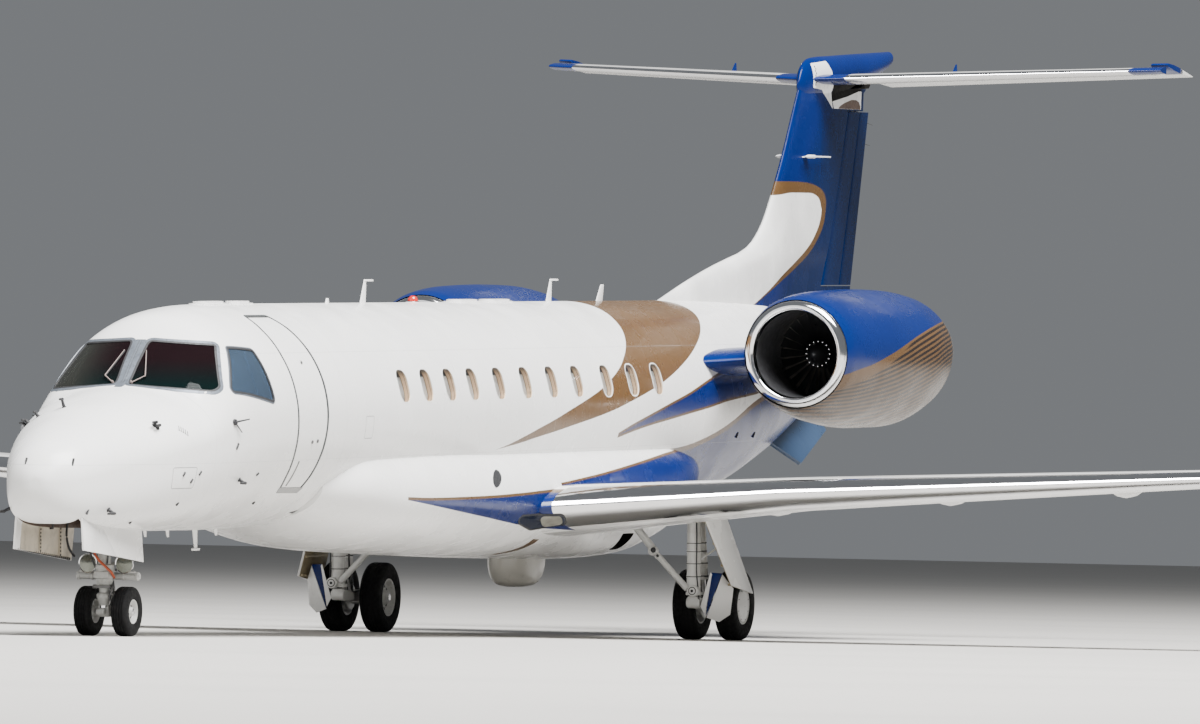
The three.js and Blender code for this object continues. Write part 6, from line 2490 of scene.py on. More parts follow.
@dataclass
class NoseGear(Assembly):
    """The nose leg, its steered fork, wheels, lamps and bay doors."""

    station: float = 1.83
    tyre_radius: float = 0.2475
    wheel_out: float = 0.2
    door_out: float = 0.346
    axle_place: tuple[float, float, float] = (11.13655, 0.0, 0.2475)

    def build(self) -> None:
        """Makes the nose gear."""
        s = self.station
        leg = [
            banded("cylinder", (s, 0, -0.53), (s, 0, -1.5), 0.062, (0.45, 0.62, 0.8)),
            spun("collar", (s, 0, -1.43), (s, 0, -1.58),
                 ((0, 0.07), (0.01, 0.092), (0.05, 0.092), (0.055, 0.084), (0.075, 0.084), (0.08, 0.095),
                  (0.14, 0.095), (0.145, 0.08)), 40),
            bar("trunnion", (s, -0.318, -0.66), (s, 0.318, -0.66), 0.04),
            brick("mount", (1.86, -0.06, -1.57), (1.985, 0.06, -1.49), 0.012),
            brick("mount_face", (1.735, -0.075, -1.565), (1.8, 0.075, -1.5), 0.01),
            brick("lamp_mount", (s, -0.03, -1.445), (1.95, 0.03, -1.405), 0.006),
            bar("lamp_bar", (1.94, -0.25, -1.425), (1.94, 0.25, -1.425), 0.018),
        ]
        for _, side in SIDES:
            leg += [
                bar("steer_barrel", (1.935, 0.05 * side, -1.55), (1.935, 0.31 * side, -1.55), 0.036),
                bar("steer_ring", (1.935, 0.15 * side, -1.55), (1.935, 0.18 * side, -1.55), 0.042),
                bar("steer_cap", (1.935, 0.285 * side, -1.55), (1.935, 0.335 * side, -1.55), 0.043,
                    chamfer=0.3), bar("steer_pipe", (1.9, 0.2 * side, -1.51), (1.9, 0.3 * side, -1.505),
                                      0.012),
                bar("brace", (s - 0.02, 0.04 * side, -1.23), (1.15, 0.17 * side, -0.545), 0.024),
                eye((s - 0.02, 0.05 * side, -1.23), (0, side, 0), 0.04, 0.05),
            ]
        show(joined("nose_leg_frame", leg), GEAR_PAINT, stands_for=("nose_leg",))
        lamps, lenses = [], []
        for _, side in SIDES:
            front, rear = (1.865, 0.195 * side, -1.425), (1.98, 0.195 * side, -1.425)
            bowl = ((0.004, 0.088), (0.0, 0.097), (0.012, 0.098), (0.06, 0.08), (0.1, 0.045), (0.11, 0.02))
            lens = ((-0.008, 0.0), (-0.004, 0.05), (0.003, 0.089), (0.012, 0.089))
            lamps.append(spun("lamp", front, rear, bowl, 40))
            lenses.append(spun("lens", front, rear, lens, 40))
        show(joined("nose_lamp_bowls", lamps), STEEL)
        show(joined("nose_lamp_lenses", lenses), LENS)
        red = ((1.7, -0.02, -1.2), (1.7, -0.06, -1.3), (1.71, -0.02, -1.38), (1.73, 0.06, -1.46),
               (1.76, 0.11, -1.52), (1.84, 0.1, -1.56))
        show(hose("nose_hose_red", red, 0.013), RED_HOSE)
        dark = [
            hose("hose", ((1.76, -0.06, -0.7), (1.72, -0.13, -1.0), (1.74, -0.12, -1.3), (1.8, -0.08, -1.47)),
                 0.011),
            hose("hose", ((1.93, 0.02, -0.8), (1.96, 0.09, -1.2), (1.98, 0.1, -1.4), (1.95, 0.07, -1.5)),
                 0.01),
            hose("hose", ((1.74, 0.05, -0.9), (1.71, 0.1, -1.15), (1.73, 0.08, -1.3), (1.78, 0.05, -1.42)),
                 0.009),
        ]
        show(joined("nose_hoses_dark", dark), HOSE)
        self.fork()
        for word, side in SIDES:
            x, _, z = self.axle_place
            centre = (x, self.wheel_out * side, z)
            Wheel(f"nose_{word}", "nose_wheels", centre, self.tyre_radius, 0.171, 0.12, 0.0308, side,
                  f"nose_{word}").build()
            self.door(word, side)

    def fork(self) -> None:
        """The steered lower leg."""
        s = self.station
        axle_s, _, axle_h = unplaced(self.axle_place)
        frame = [
            spun("swivel", (s, 0, -1.5765), (s, 0, -1.66),
                 ((0, 0.084), (0.03, 0.084), (0.034, 0.076), (0.05, 0.076), (0.055, 0.082), (0.065, 0.08),
                  (0.075, 0.058)), 40),
            spun("gland", (s, 0, -1.66), (s, 0, -1.84),
                 ((0, 0.05), (0.05, 0.05), (0.06, 0.07), (0.075, 0.078), (0.1, 0.078), (0.14, 0.058),
                  (0.18, 0.05)), 40), brick("bracket", (s, -0.035, -1.592), (1.975, 0.035, -1.624), 0.005),
            brick("knuckle", (s - 0.03, -0.062, axle_h + 0.062), (axle_s + 0.05, 0.062, axle_h - 0.055),
                  0.018), bar("axle_tube", (axle_s, -0.12, axle_h), (axle_s, 0.12, axle_h), 0.04),
            bar("tow", (1.735, -0.04, axle_h), (1.735, 0.04, axle_h), 0.03),
            brick("tow_block", (1.735, -0.036, axle_h + 0.028), (s, 0.036, axle_h - 0.028), 0.006),
        ]
        show(joined("nose_fork_frame", frame), GEAR_PAINT, "nose_steering", ("nose_fork",))
        links = [bar("link_pin", (2.04, -0.05, -1.715), (2.04, 0.05, -1.715), 0.015)]
        for _, side in SIDES:
            upper = ((1.95, 0.035, -1.6), (1.985, 0.03, -1.59), (2.06, 0.012, -1.7), (2.03, 0.012, -1.735))
            lower = ((2.03, 0.012, -1.7), (2.06, 0.012, -1.73), (1.88, 0.045, -1.875), (1.86, 0.045, -1.83))
            for outline in (upper, lower):
                links.append(plate("link", mirror(outline, side), (0.0, 0.016 * side, 0.0), 0.003))
        links.append(spun("flange", (s, 0, -1.64), (s, 0, -1.67),
                          ((0, 0.08), (0.004, 0.1), (0.022, 0.1), (0.027, 0.06)), 40))
        links += [bar("flange_ear", (s - 0.02, 0.07 * side, -1.655), (s - 0.02, 0.112 * side, -1.655), 0.022,
                      count=20) for _, side in SIDES]
        links.append(hose("flange_hose", ((1.79, 0.09, -1.65), (1.77, 0.11, -1.69), (1.775, 0.085, -1.73),
                                          (1.79, 0.07, -1.78)), 0.012))
        show(joined("nose_links", links), DARK_STEEL, "nose_steering")
        bright = [bar("piston", (s, 0, -1.76), (s, 0, axle_h + 0.03), 0.045, count=32),
                  bar("axle", (axle_s, -0.275, axle_h), (axle_s, 0.275, axle_h), 0.0298)]
        show(joined("nose_piston", bright), STEEL, "nose_steering")

    def door(self, word: str, side: float) -> None:
        """A bay door that hangs open beside the leg, with stiffeners inside.

        Args:
            word: left or right, as names say it.
            side: 1 for port, -1 for starboard.
        """
        out = self.door_out
        fold = ((0.66, out + 0.004, -0.89), (1.16, out + 0.034, -1.333))
        front = ((0.36, out - 0.016, -0.86), *fold, (0.36, out + 0.01, -1.255))
        rear = (fold[0], (1.88, out, -1.014), (1.88, out + 0.03, -1.404), fold[1])
        panel = dressed(joined("panel", [plate("panel", mirror(part, side), (0.0, 0.022 * side, 0.0), 0.003)
                                         for part in (front, rear)]), WHITE_PAINT)
        edge = ((0.5, out - 0.006, -0.88), (1.87, out - 0.006, -1.02), (1.87, out + 0.024, -1.395),
                (0.5, out + 0.008, -1.26))
        inner = dressed(plate("lining", mirror(edge, side), (0.0, 0.006 * side, 0.0), 0.001), CREAM)
        ribs, marks = [], []
        for station in (0.98, 1.5):
            drop = (station - 0.36) / 1.58
            top, foot = -0.92 - 0.12 * drop, -1.225 - 0.155 * drop
            ribs.append(brick("rib", (station, (out - 0.02) * side, top),
                              (station + 0.05, (out + 0.02) * side, foot), 0.003))
            marks += [stud_mark(station - 0.012, (out - 0.016) * side, top + (foot - top) * i / 9)
                      for i in range(10)]
        marks += [
            hose("pipe",
                 mirror(((1.2, out - 0.03, -0.96), (1.45, out - 0.03, -0.985), (1.7, out - 0.03, -1.0)),
                        side), 0.011),
            hose("pipe",
                 mirror(((1.62, out - 0.03, -1.0), (1.6, out - 0.03, -1.13), (1.68, out - 0.02, -1.26),
                         (1.86, out - 0.01, -1.36)), side), 0.012),
            brick("bracket", (1.22, (out - 0.03) * side, -0.95), (1.27, (out - 0.002) * side, -1.08), 0.004),
        ]
        hem = [brick("tooth", (0.39 + 0.052 * i, (out + 0.012) * side, -1.235 - 0.0051 * i),
                     (0.412 + 0.052 * i, (out + 0.026) * side, -1.262 - 0.0051 * i), 0.002)
               for i in range(28)]
        lining = dressed(joined("ribs", ribs), CREAM)
        teeth = dressed(joined("teeth", hem + marks), SEAL)
        whole = joined(f"nose_bay_door_skin_{word}", [panel, inner, lining, teeth])
        show(whole, WHITE_PAINT, stands_for=(f"nose_bay_door_{word}",))


@dataclass
class MainGear(Assembly):
    """One main leg with its stays, guard, door and two wheels."""

    word: str
    side: float
    out: float = 2.05
    station: float = 13.7
    tyre_radius: float = 0.381
    wheel_out: float = 0.24
    axle_place: tuple[float, float, float] = (-1.29345, 0.0, 0.381)

    def at(self, station: float, off: float, height: float) -> tuple[float, float, float]:
        """A point on the leg, with its distance outboard of the leg's own plane."""
        return (station, (self.out + off) * self.side, height)

    def build(self) -> None:
        """Makes the main gear."""
        at, side, post = self.at, self.side, self.station
        axle_s, _, axle_h = unplaced(self.axle_place)
        arm = ((post, -2.02), (axle_s - 0.03, axle_h + 0.06), (axle_s, axle_h - 0.06), (post, -2.14))
        frame = [
            banded("post", at(post, 0, -1.031), at(post, 0, -1.99), 0.075, (0.3, 0.426, 0.52, 0.656, 0.8)),
            bar("trunnion", at(13.561, 0, -1.09), at(13.959, 0, -1.09), 0.045),
            banded("strut", at(13.87, 0, -1.07), at(14.03, 0, -1.83), 0.052, (0.22, 0.42, 0.62, 0.82)),
            bar("lower_stay", at(13.64, -0.05, -1.935), at(13.64, -0.45, -1.52), 0.036, 0.032),
            bar("upper_stay", at(13.66, -0.42, -1.55), at(13.66, -0.82, -1.075), 0.042),
            eye(at(13.62, 0.03, -1.95), (-1, 0, 0), 0.06, 0.11),
            eye(at(13.63, -0.44, -1.53), (-1, 0, 0), 0.05, 0.08),
            eye(at(13.63, -0.385, -1.585), (-1, 0, 0), 0.03, 0.07),
            brick("foot", at(13.65, -0.075, -1.965), at(13.79, 0.075, -2.0), 0.008),
            brick("casting", at(13.66, -0.06, -2.01), at(13.79, 0.06, -2.1), 0.02),
            bar("arm_pin", at(13.72, -0.075, -2.08), at(13.72, 0.075, -2.08), 0.062),
            plate("arm", [at(s, -0.045, h) for s, h in arm], (0.0, 0.09 * side, 0.0), 0.02),
            bar("knuckle", at(axle_s, -0.095, axle_h), at(axle_s, 0.095, axle_h), 0.078),
            bar("brake_in", at(axle_s, -0.13, axle_h), at(axle_s, -0.1, axle_h), 0.15, chamfer=0.05),
            bar("brake_out", at(axle_s, 0.1, axle_h), at(axle_s, 0.13, axle_h), 0.15, chamfer=0.05),
        ]
        show(joined(f"main_leg_frame_{self.word}", frame), GEAR_WHITE, stands_for=(f"main_leg_{self.word}",))
        marks = []
        for height in (-1.44, -1.53, -1.66, -1.8):
            marks.append(bar("ring", at(post, 0, height + 0.009), at(post, 0, height - 0.009), 0.0795,
                             count=40))
            aft = 13.87 + 0.16 * (-1.07 - height) / 0.76
            marks.append(bar("ring", at(aft, 0, height + 0.009), at(aft, 0, height - 0.009), 0.0565,
                             count=32))
        # The bores are dark discs on the pivots' faces: painted shade in their holes.
        marks += [bar("bore", at(13.565, 0.03, -1.95), at(13.5595, 0.03, -1.95), 0.044, count=28),
                  bar("bore", at(13.56, 0.03, -1.95), at(13.5535, 0.03, -1.95), 0.016, count=20)]
        marks += [bar("bore", at(13.589, off, height), at(13.58, off, height), radius, count=20)
                  for off, height, radius in ((-0.425, -1.518, 0.03), (-0.375, -1.58, 0.016))]
        show(joined(f"main_leg_marks_{self.word}", marks), SEAL)
        face = bar(f"main_leg_eye_{self.word}", at(13.562, 0.03, -1.95), at(13.5565, 0.03, -1.95), 0.035,
                   count=28)
        show(face, GEAR_WHITE)
        bright = [bar("ram", at(14.03, 0, -1.82), at(14.08, 0, -2.06), 0.036),
                  bar("axle", at(axle_s, -0.335, axle_h), at(axle_s, 0.335, axle_h), 0.0418)]
        show(joined(f"main_leg_bright_{self.word}", bright), STEEL)
        pipes = [
            hose("pipe", (at(13.62, 0.05, -1.1), at(13.615, 0.06, -1.4), at(13.615, 0.06, -1.7),
                          at(13.64, 0.07, -1.93), at(13.8, 0.07, -2.15),
                          at(axle_s - 0.1, 0.1, axle_h + 0.05)), 0.008),
            hose("pipe", (at(13.78, -0.06, -1.1), at(13.79, -0.08, -1.45), at(13.8, -0.09, -1.8),
                          at(13.9, -0.1, -2.05), at(axle_s - 0.08, -0.11, axle_h + 0.08)), 0.01),
        ]
        show(joined(f"main_leg_hoses_{self.word}", pipes), HOSE)
        outer = ((13.715, 0.32, -1.77), (13.83, 0.41, -1.925), (13.82, 0.38, -2.205), (13.76, 0.275, -2.285),
                 (13.715, 0.145, -2.24))
        inner = ((0.08, -2.12), (0.19, -1.752), (0.205, -1.77), (0.13, -2.215))
        guard = [
            plate("outer", [at(*point) for point in outer], (0.009, -0.003 * side, 0.0), 0.003),
            plate("inner", [at(post, out, h) for out, h in inner], (0.009, 0.003 * side, 0.0), 0.002),
        ]
        show(joined(f"wheel_guard_{self.word}", guard), WHITE_PAINT)
        # The fold is a navy facet: painted shade in the fold of the guard.
        fold = plate(f"wheel_guard_fold_{self.word}",
                     [at(13.704, 0.2, -1.752), at(13.712, 0.318, -1.758), at(13.706, 0.142, -2.22)],
                     (0.007, 0.0, 0.0), 0.002)
        show(fold, BLUE_PAINT)
        self.door()
        for place, off in (("outer", 1.0), ("inner", -1.0)):
            x, _, z = self.axle_place
            centre = (x, (self.out + self.wheel_out * off) * side, z)
            Wheel(f"main_{self.word}_{place}", f"{self.word}_main_wheels", centre, self.tyre_radius, 0.241,
                  0.205, 0.0428, off * side, f"main_{self.word}_{place}", off > 0, 10).build()

    def door(self) -> None:
        """The door that is carried by the leg, with its rod."""
        side = self.side
        outline = mirror(((13.42, 2.185, -1.0), (14.12, 2.185, -1.0), (14.33, 2.49, -1.99),
                          (13.66, 2.49, -1.89)), side)
        panel = dressed(plate("leg_panel", outline, (0.0, 0.026 * side, 0.0), 0.006), WHITE_PAINT)
        lining = dressed(plate("leg_lining", outline + np.array([0.0, -0.006 * side, 0.0]),
                               (0.0, 0.005 * side, 0.0), 0.001), PRIMER)
        ribs = []
        for share in (0.2, 0.45, 0.7, 0.92):
            y, h = 2.185 + 0.305 * share - 0.014, -1.0 - 0.94 * share
            s = 13.46 + 0.22 * share
            ribs.append(brick("rib", (s, y * side, h), (s + 0.6, (y + 0.02) * side, h - 0.025), 0.003))
        whole = joined(f"main_leg_door_skin_{self.word}",
                       [panel, lining, dressed(joined("ribs", ribs), PRIMER)])
        show(whole, WHITE_PAINT, stands_for=(f"main_leg_door_{self.word}",))
        rod = bar(f"leg_door_rod_{self.word}", self.at(13.72, 0.06, -1.62), (13.86, 2.315 * side, -1.45),
                  0.011)
        show(rod, GEAR_WHITE)


def blade(name: str, base: Point, chord: float, thick: float, rise: float, lean: float = 0.0,
          tip: float = 0.6) -> bpy.types.Object:
    """A thin fin that stands up or hangs down, with a rounded section and end.

    Args:
        name: Name of the object.
        base: Middle of its foot in the airframe.
        chord: Its length.
        thick: Its thickness.
        rise: Its height, negative to hang.
        lean: How far its end lies aft.
        tip: Share of its size that is left at the end.

    Returns:
        The object.
    """
    station, out, height = base
    angle = 2 * math.pi * np.arange(28) / 28
    rings = []
    for share in (-0.08, 0.3, 0.65, 0.92, 0.98, 1.0):
        size = (1 - (1 - tip) * max(share, 0.0)) * (1.0 if share < 0.95 else 0.9 if share < 0.99 else 0.6)
        rings.append(np.column_stack([station + lean * share + np.cos(angle) * chord / 2 * size,
                                      out + np.sin(angle) * thick / 2 * size,
                                      np.full(28, height + rise * share)]))
    return skin(name, rings)


@dataclass
class Fittings(Assembly):
    """Probes, vanes, antennas, lamps, drains and marked panels on the fuselage and fairing."""

    tree: BVHTree
    belly: BVHTree

    def spot(self, place: Point) -> tuple[np.ndarray, np.ndarray]:
        """The nearest place on the fuselage's skin and the direction out of it, both in the airframe.

        Args:
            place: Airframe point near the skin.

        Returns:
            The place and a unit direction.
        """
        near, normal, _, _ = self.tree.find_nearest(Vector(placed(place)))
        base = unplaced(near)
        return base, unplaced(near + normal) - base

    def build(self) -> None:
        """Makes all of them."""
        self.probes()
        self.roof()
        self.underside()
        self.panels()
        self.wipers()
        self.lamps()

    def probe(self, place: Point, reach: float, length: float) -> list[bpy.types.Object]:
        """A base plate, a mast and a tube that points forward.

        Args:
            place: Airframe point near its foot.
            reach: Length of the mast.
            length: Length of the tube.

        Returns:
            Its pieces.
        """
        base, out = self.spot(place)
        head = base + out * reach
        nose = head + np.array([-length, 0.0, 0.0])
        return [
            spun("probe_base", base - out * 0.004, base + out, ((0.0, 0.02), (0.006, 0.026), (0.009, 0.02)),
                 20),
            bar("mast", base - out * 0.004, head, 0.018, 0.013, count=12),
            bar("tube", head + np.array([0.02, 0.0, 0.0]), nose, 0.016, 0.011, count=12),
        ]

    def probes(self) -> None:
        """Pressure probes, angle vanes and latches on the nose."""
        pieces, latches = [], []
        for _, side in SIDES:
            for place, reach, length in (
                ((1.431, 0.677, -0.03), 0.045, 0.09), ((1.45, 0.69, -0.075), 0.04, 0.08),
                ((0.639, 0.511, -0.857), 0.08, 0.16), ((2.977, 0.973, -0.597), 0.07, 0.11),
            ):
                pieces += self.probe(mirror(place, side), reach, length)
            base, out = self.spot(mirror((2.656, 1.04, -0.019), side))
            root = base + out * 0.01
            pieces += [
                spun("vane_base", base - out * 0.003, base + out, ((0, 0.028), (0.01, 0.034), (0.026, 0.028)),
                     24),
                bar("vane_arm", root, base + out * 0.13 + np.array([0.12, 0.0, 0.01]), 0.011, 0.007),
                bar("vane_stem", root, base + out * 0.05 + np.array([0.1, 0.0, -0.11]), 0.008, 0.005),
            ]
        pieces += self.probe((1.324, -0.244, 0.124), 0.085, 0.06)
        pieces += self.probe((1.35, -0.56, 0.07), 0.055, 0.04)
        for place, size in (
            ((0.12, -0.141, -0.391), 0.03), ((0.224, 0.301, -0.395), 0.036), ((0.375, 0.396, -0.869), 0.03),
            ((1.77, 0.788, -0.816), 0.016), ((2.716, 1.05, -0.258), 0.03), ((1.185, 0.526, -0.99), 0.014),
            ((3.404, 1.0, -0.546), 0.012), ((3.923, 0.76, -0.847), 0.014), ((1.7, 0.88, -0.52), 0.02),
            ((1.86, 0.9, -0.59), 0.02), ((1.998, 0.94, -0.515), 0.02), ((17.88, 1.07, -0.34), 0.03),
            ((18.55, 1.05, -0.35), 0.03), ((9.52, 1.35, -0.67), 0.012),
        ):
            base, out = self.spot(place)
            latches.append(bar("latch", base - out * 0.003 - (0.015, 0.0, size),
                               base + out * 0.006 + (0.02, 0.0, size), 0.012, count=10))
        show(joined("nose_probes", pieces), SEAL)
        show(joined("skin_latches", latches), SEAL)

    def roof(self) -> None:
        """Antennas, low pads and the red beacon."""
        masts = []
        for station in (8.95, 14.66):
            masts.append(blade("mast", (station, 0.0, 1.135), 0.17, 0.028, 0.24, 0.07, 0.4))
            masts.append(blade("mast_head", (station + 0.17, 0.0, 1.366), 0.28, 0.035, 0.018, 0.0, 0.95))
        masts.append(blade("fin_mast", (16.3, 0.0, 1.13), 0.22, 0.03, 0.19, 0.1, 0.5))
        masts.append(blade("stub_mast", (7.91, 0.0, 1.135), 0.1, 0.03, 0.055, 0.01, 0.6))
        up = turned((0.0, 0.0, 1.0))
        for front, rear, half in ((4.25, 4.84, 0.1), (5.14, 5.58, 0.09), (11.62, 12.25, 0.11),
                                  (12.62, 13.26, 0.11)):
            corners = np.array([(front, -half, 1.13), (rear, -half, 1.13), (rear, half, 1.13),
                                (front, half, 1.13)])
            outline = Outline(self.tree, corners, half * 0.9, up)
            pad = outline.pad("pad", -0.02, 0.03, 0.036)
            masts.append(pad)
            masts.append(outline.pad("pad_foot", 0.02, 0.012, 0.02))
        show(joined("roof_antennas", masts), WHITE_PAINT)
        lens = spun("beacon_lens", (10.45, 0, 1.15), (10.45, 0, 1.3),
                    ((0, 0.055), (0.02, 0.055), (0.045, 0.042), (0.06, 0.02)), 28)
        show(lens, RED_LENS)
        ring = spun("beacon_ring", (10.45, 0, 1.125), (10.45, 0, 1.3),
                    ((0, 0.07), (0.02, 0.075), (0.028, 0.062)), 28)
        show(ring, STEEL)

    def underside(self) -> None:
        """Antennas, drains and the inlets under the fuselage, whose openings are near-black pads of painted
        shade.
        """
        pieces = [
            blade("belly_mast", (4.25, 0.0, -1.13), 0.13, 0.03, -0.2, 0.03, 0.6),
            blade("belly_foot", (4.28, 0.0, -1.33), 0.22, 0.05, -0.02, 0.0, 0.9),
        ]
        pieces += [blade("stub", (s, 0.0, h), 0.09, 0.02, -0.07, 0.02, 0.6)
                   for s, h in ((2.89, -1.115), (3.5, -1.13), (4.82, -1.14))]
        show(joined("belly_antennas", pieces), WHITE_PAINT)
        # The inlets are near-black pads: painted shade in their openings.
        inlets = []
        for _, side in SIDES:
            base, out = self.spot(mirror((5.45, 0.6, -1.0), side))
            corners = [base + np.array([a, b * side, 0.0])
                       for a, b in ((-0.1, 0.0), (0.16, -0.04), (0.16, 0.075), (0.12, 0.08))]
            inlets.append(Outline(self.tree, np.array(corners), 0.006,
                                  turned(out)).pad("inlet", 0.0, 0.002, 0.004))
            inlets.append(self.oval_inlet(side).pad("oval_inlet", 0.0, 0.003, 0.005))
        show(joined("skin_inlets", inlets), SEAL)
        rims = []
        for _, side in SIDES:
            rims.append(self.oval_inlet(side).band("rim",
                                                   ((0.0, -0.004), (0.0, 0.006), (0.014, 0.004),
                                                    (0.014, -0.004))))
        show(joined("inlet_rims", rims), STEEL)

    def oval_inlet(self, side: float) -> Outline:
        """The outline of the slanted oval inlet on the fairing, which looks upright from ahead.

        Args:
            side: 1 for port, -1 for starboard.

        Returns:
            The outline.
        """
        angle = 2 * math.pi * np.arange(20) / 20
        rise = 0.088 * np.sin(angle)
        corners = np.column_stack([9.62 + 0.11 * np.cos(angle) + 1.47 * rise, np.full(20, 1.27),
                                   -0.688 + rise])
        return Outline(self.belly, mirror(corners, side), 0.004, turned((0.0, side, 0.2)), 2, 2)

    def panels(self) -> None:
        """Lines of the access panels, the louvres and the ledge under the door."""
        lines, slots = [], []
        line = ((0.0, -0.002), (0.0, 0.0006), (0.006, 0.0006), (0.006, -0.002))
        for _, side in SIDES:
            for corners in (
                ((1.514, 0.845, -0.46), (1.93, 0.93, -0.46), (1.92, 0.9, -0.66), (1.52, 0.83, -0.66)),
                ((6.1, 1.1, 0.0), (6.32, 1.1, 0.0), (6.32, 1.1, -0.22), (6.1, 1.1, -0.22)),
            ):
                lines.append(Outline(self.tree, mirror(corners, side), 0.02,
                                     turned((0.0, side, 0.0))).band("line", line))
            for i in range(5):
                base, out = self.spot(mirror((1.7 + 0.027 * i, 0.85, -0.08 - 0.02 * i), side))
                slots.append(bar("slot", base + np.array([-0.02, 0, 0.05]),
                                 base + np.array([0.025, 0, -0.05]), 0.0035, count=8))
        show(joined("panel_lines", lines), SEAM_GREY)
        show(joined("nose_louvres", slots), SEAM_GREY)
        corners = ((4.286, 0.903, -0.697), (4.946, 0.897, -0.708), (4.887, 0.855, -0.768),
                   (4.3, 0.861, -0.757))
        ledge = Outline(self.tree, np.array(corners), 0.008, turned((0.0, 1.0, -0.6)))
        show(ledge.pad("door_ledge", 0.0, 0.006, 0.01), GREY_METAL)
        knobs = []
        for place in ((4.626, 1.115, -0.24), (4.771, 1.116, -0.233), (4.603, 0.993, 0.561)):
            base, out = self.spot(place)
            knobs.append(spun("knob", base, base + out,
                              ((0, 0.018), (0.006, 0.02), (0.012, 0.014), (0.013, 0.004)), 20))
        route = [self.spot((4.42, y, h))[0]
                 for y, h in ((1.054, -0.43), (1.01, -0.52), (0.96, -0.61), (0.912, -0.68))]
        knobs.append(hose("slit", route, 0.009, 8, 3))
        show(joined("door_knobs", knobs), DARK_STEEL, "entrance_door")

    def wipers(self) -> None:
        """An arm and a blade on each windshield."""
        for word, side in SIDES:
            foot, _ = self.spot(mirror((2.24, 0.1, 0.372), side))
            bend, out = self.spot(mirror((2.325, 0.215, 0.43), side))
            tip, _ = self.spot(mirror((2.606, 0.115, 0.67), side))
            lift = out * 0.022
            pieces = [
                bar("arm", foot + lift * 0.4, bend + lift, 0.007, 0.006, count=12),
                bar("wiper", bend + lift, tip + lift, 0.006, 0.004, count=12),
                bar("pivot", foot, foot + lift * 1.3, 0.014, 0.01, count=16),
            ]
            show(joined(f"wiper_{word}", pieces), WIPER_METAL)
            rubber = bar(f"wiper_rubber_{word}", bend + lift * 0.35, tip + lift * 0.35, 0.006, count=8)
            show(rubber, SEAL)

    def lamps(self) -> None:
        """Landing lights in the front of the wing roots."""
        for word, side in SIDES:
            wing = Wing(word, side)
            root = skin("wing", [wing.ring(y) for y in (1.1, 3.6)])
            edge = joined("edge", [skin("fairing", body_rings(FAIRING, 70, 96)), root])
            tree = tree_of(edge)
            bpy.data.objects.remove(edge)
            toward = turned((-0.94, 0.34 * side, 0.0))
            corners = mirror(((10.5, 1.1, -1.1), (10.9, 1.55, -1.09), (10.95, 1.57, -1.2),
                              (10.75, 1.25, -1.25)), side)
            outline = Outline(tree, corners, 0.045, toward)
            show(outline.pad(f"root_lamp_{word}", 0.0, 0.003, 0.006), DARK_GLASS)
            rim = outline.band(f"root_lamp_rim_{word}",
                               ((0.0, -0.004), (0.0, 0.006), (0.02, 0.005), (0.02, -0.004)))
            show(rim, SEAL)
            corners = mirror(((10.7, 1.36, -1.105), (10.85, 1.55, -1.1), (10.9, 1.56, -1.19),
                              (10.75, 1.38, -1.225)), side)
            show(Outline(tree, corners, 0.04, toward).pad(f"root_lamp_lens_{word}", 0.0, 0.008, 0.008),
                 LAMP_GLASS)


@dataclass
class DoorInside(Assembly):
    """The folding stair on the inside of the entrance door."""

    steps: int = 4
    first: float = -0.55
    rise: float = 0.27
    run: float = 0.125
    wall_radius: float = 1.079
    string_radius: float = 1.06
    step_ends: tuple[float, float] = (4.38, 4.83)
    grip_ends: tuple[float, float] = (4.41, 4.8)
    string_stations: tuple[float, float] = (4.35, 4.85)

    def build(self) -> None:
        """Makes the steps with their grip pads and the two side strings."""
        steps, pads = [], []
        for i in range(self.steps):
            low = self.first + i * self.rise
            high = low + 2 * self.run
            inner, outer = (math.sqrt(self.wall_radius**2 - h * h) for h in (low, high))
            nose = (inner - self.run, low + self.run)
            section = ((inner, low), nose, (outer, high), (outer + 0.03, high), (inner + 0.03, low))
            rings = [np.array([(s, y, h) for y, h in section]) for s in self.step_ends]
            steps.append(rounded_edges(skin("step", rings), 0.008))
            for k in range(7):
                share = 0.12 + 0.12 * k
                y, h = inner + (nose[0] - inner) * share, low + (nose[1] - low) * share
                start, end = ((s, y - 0.002, h - 0.002) for s in self.grip_ends)
                pads.append(bar("grip", start, end, 0.004, count=6))
        show(joined("door_steps", steps), TRIM, "entrance_door")
        show(joined("door_step_grips", pads), SEAL, "entrance_door")
        strings = []
        for station in self.string_stations:
            route = [(station, math.sqrt(self.string_radius**2 - h * h), h)
                     for h in np.linspace(-0.6, 0.62, 9)]
            strings.append(hose("string", route, 0.014, 12))
        show(joined("door_step_strings", strings), STEEL, "entrance_door")


def pad_outline(angle: np.ndarray, square: float = 5.0) -> np.ndarray:
    """The squarish outline of a pad, whose sides pull in between its corners.

    Args:
        angle: Angles round the outline.
        square: Its squareness.

    Returns:
        Rows of two shares of the pad's half size.
    """
    both = np.column_stack([np.cos(angle), np.sin(angle)])
    pull = 1 - 0.025 * np.cos(2 * angle) ** 2
    return np.sign(both) * np.abs(both) ** (2 / square) * pull[:, None]


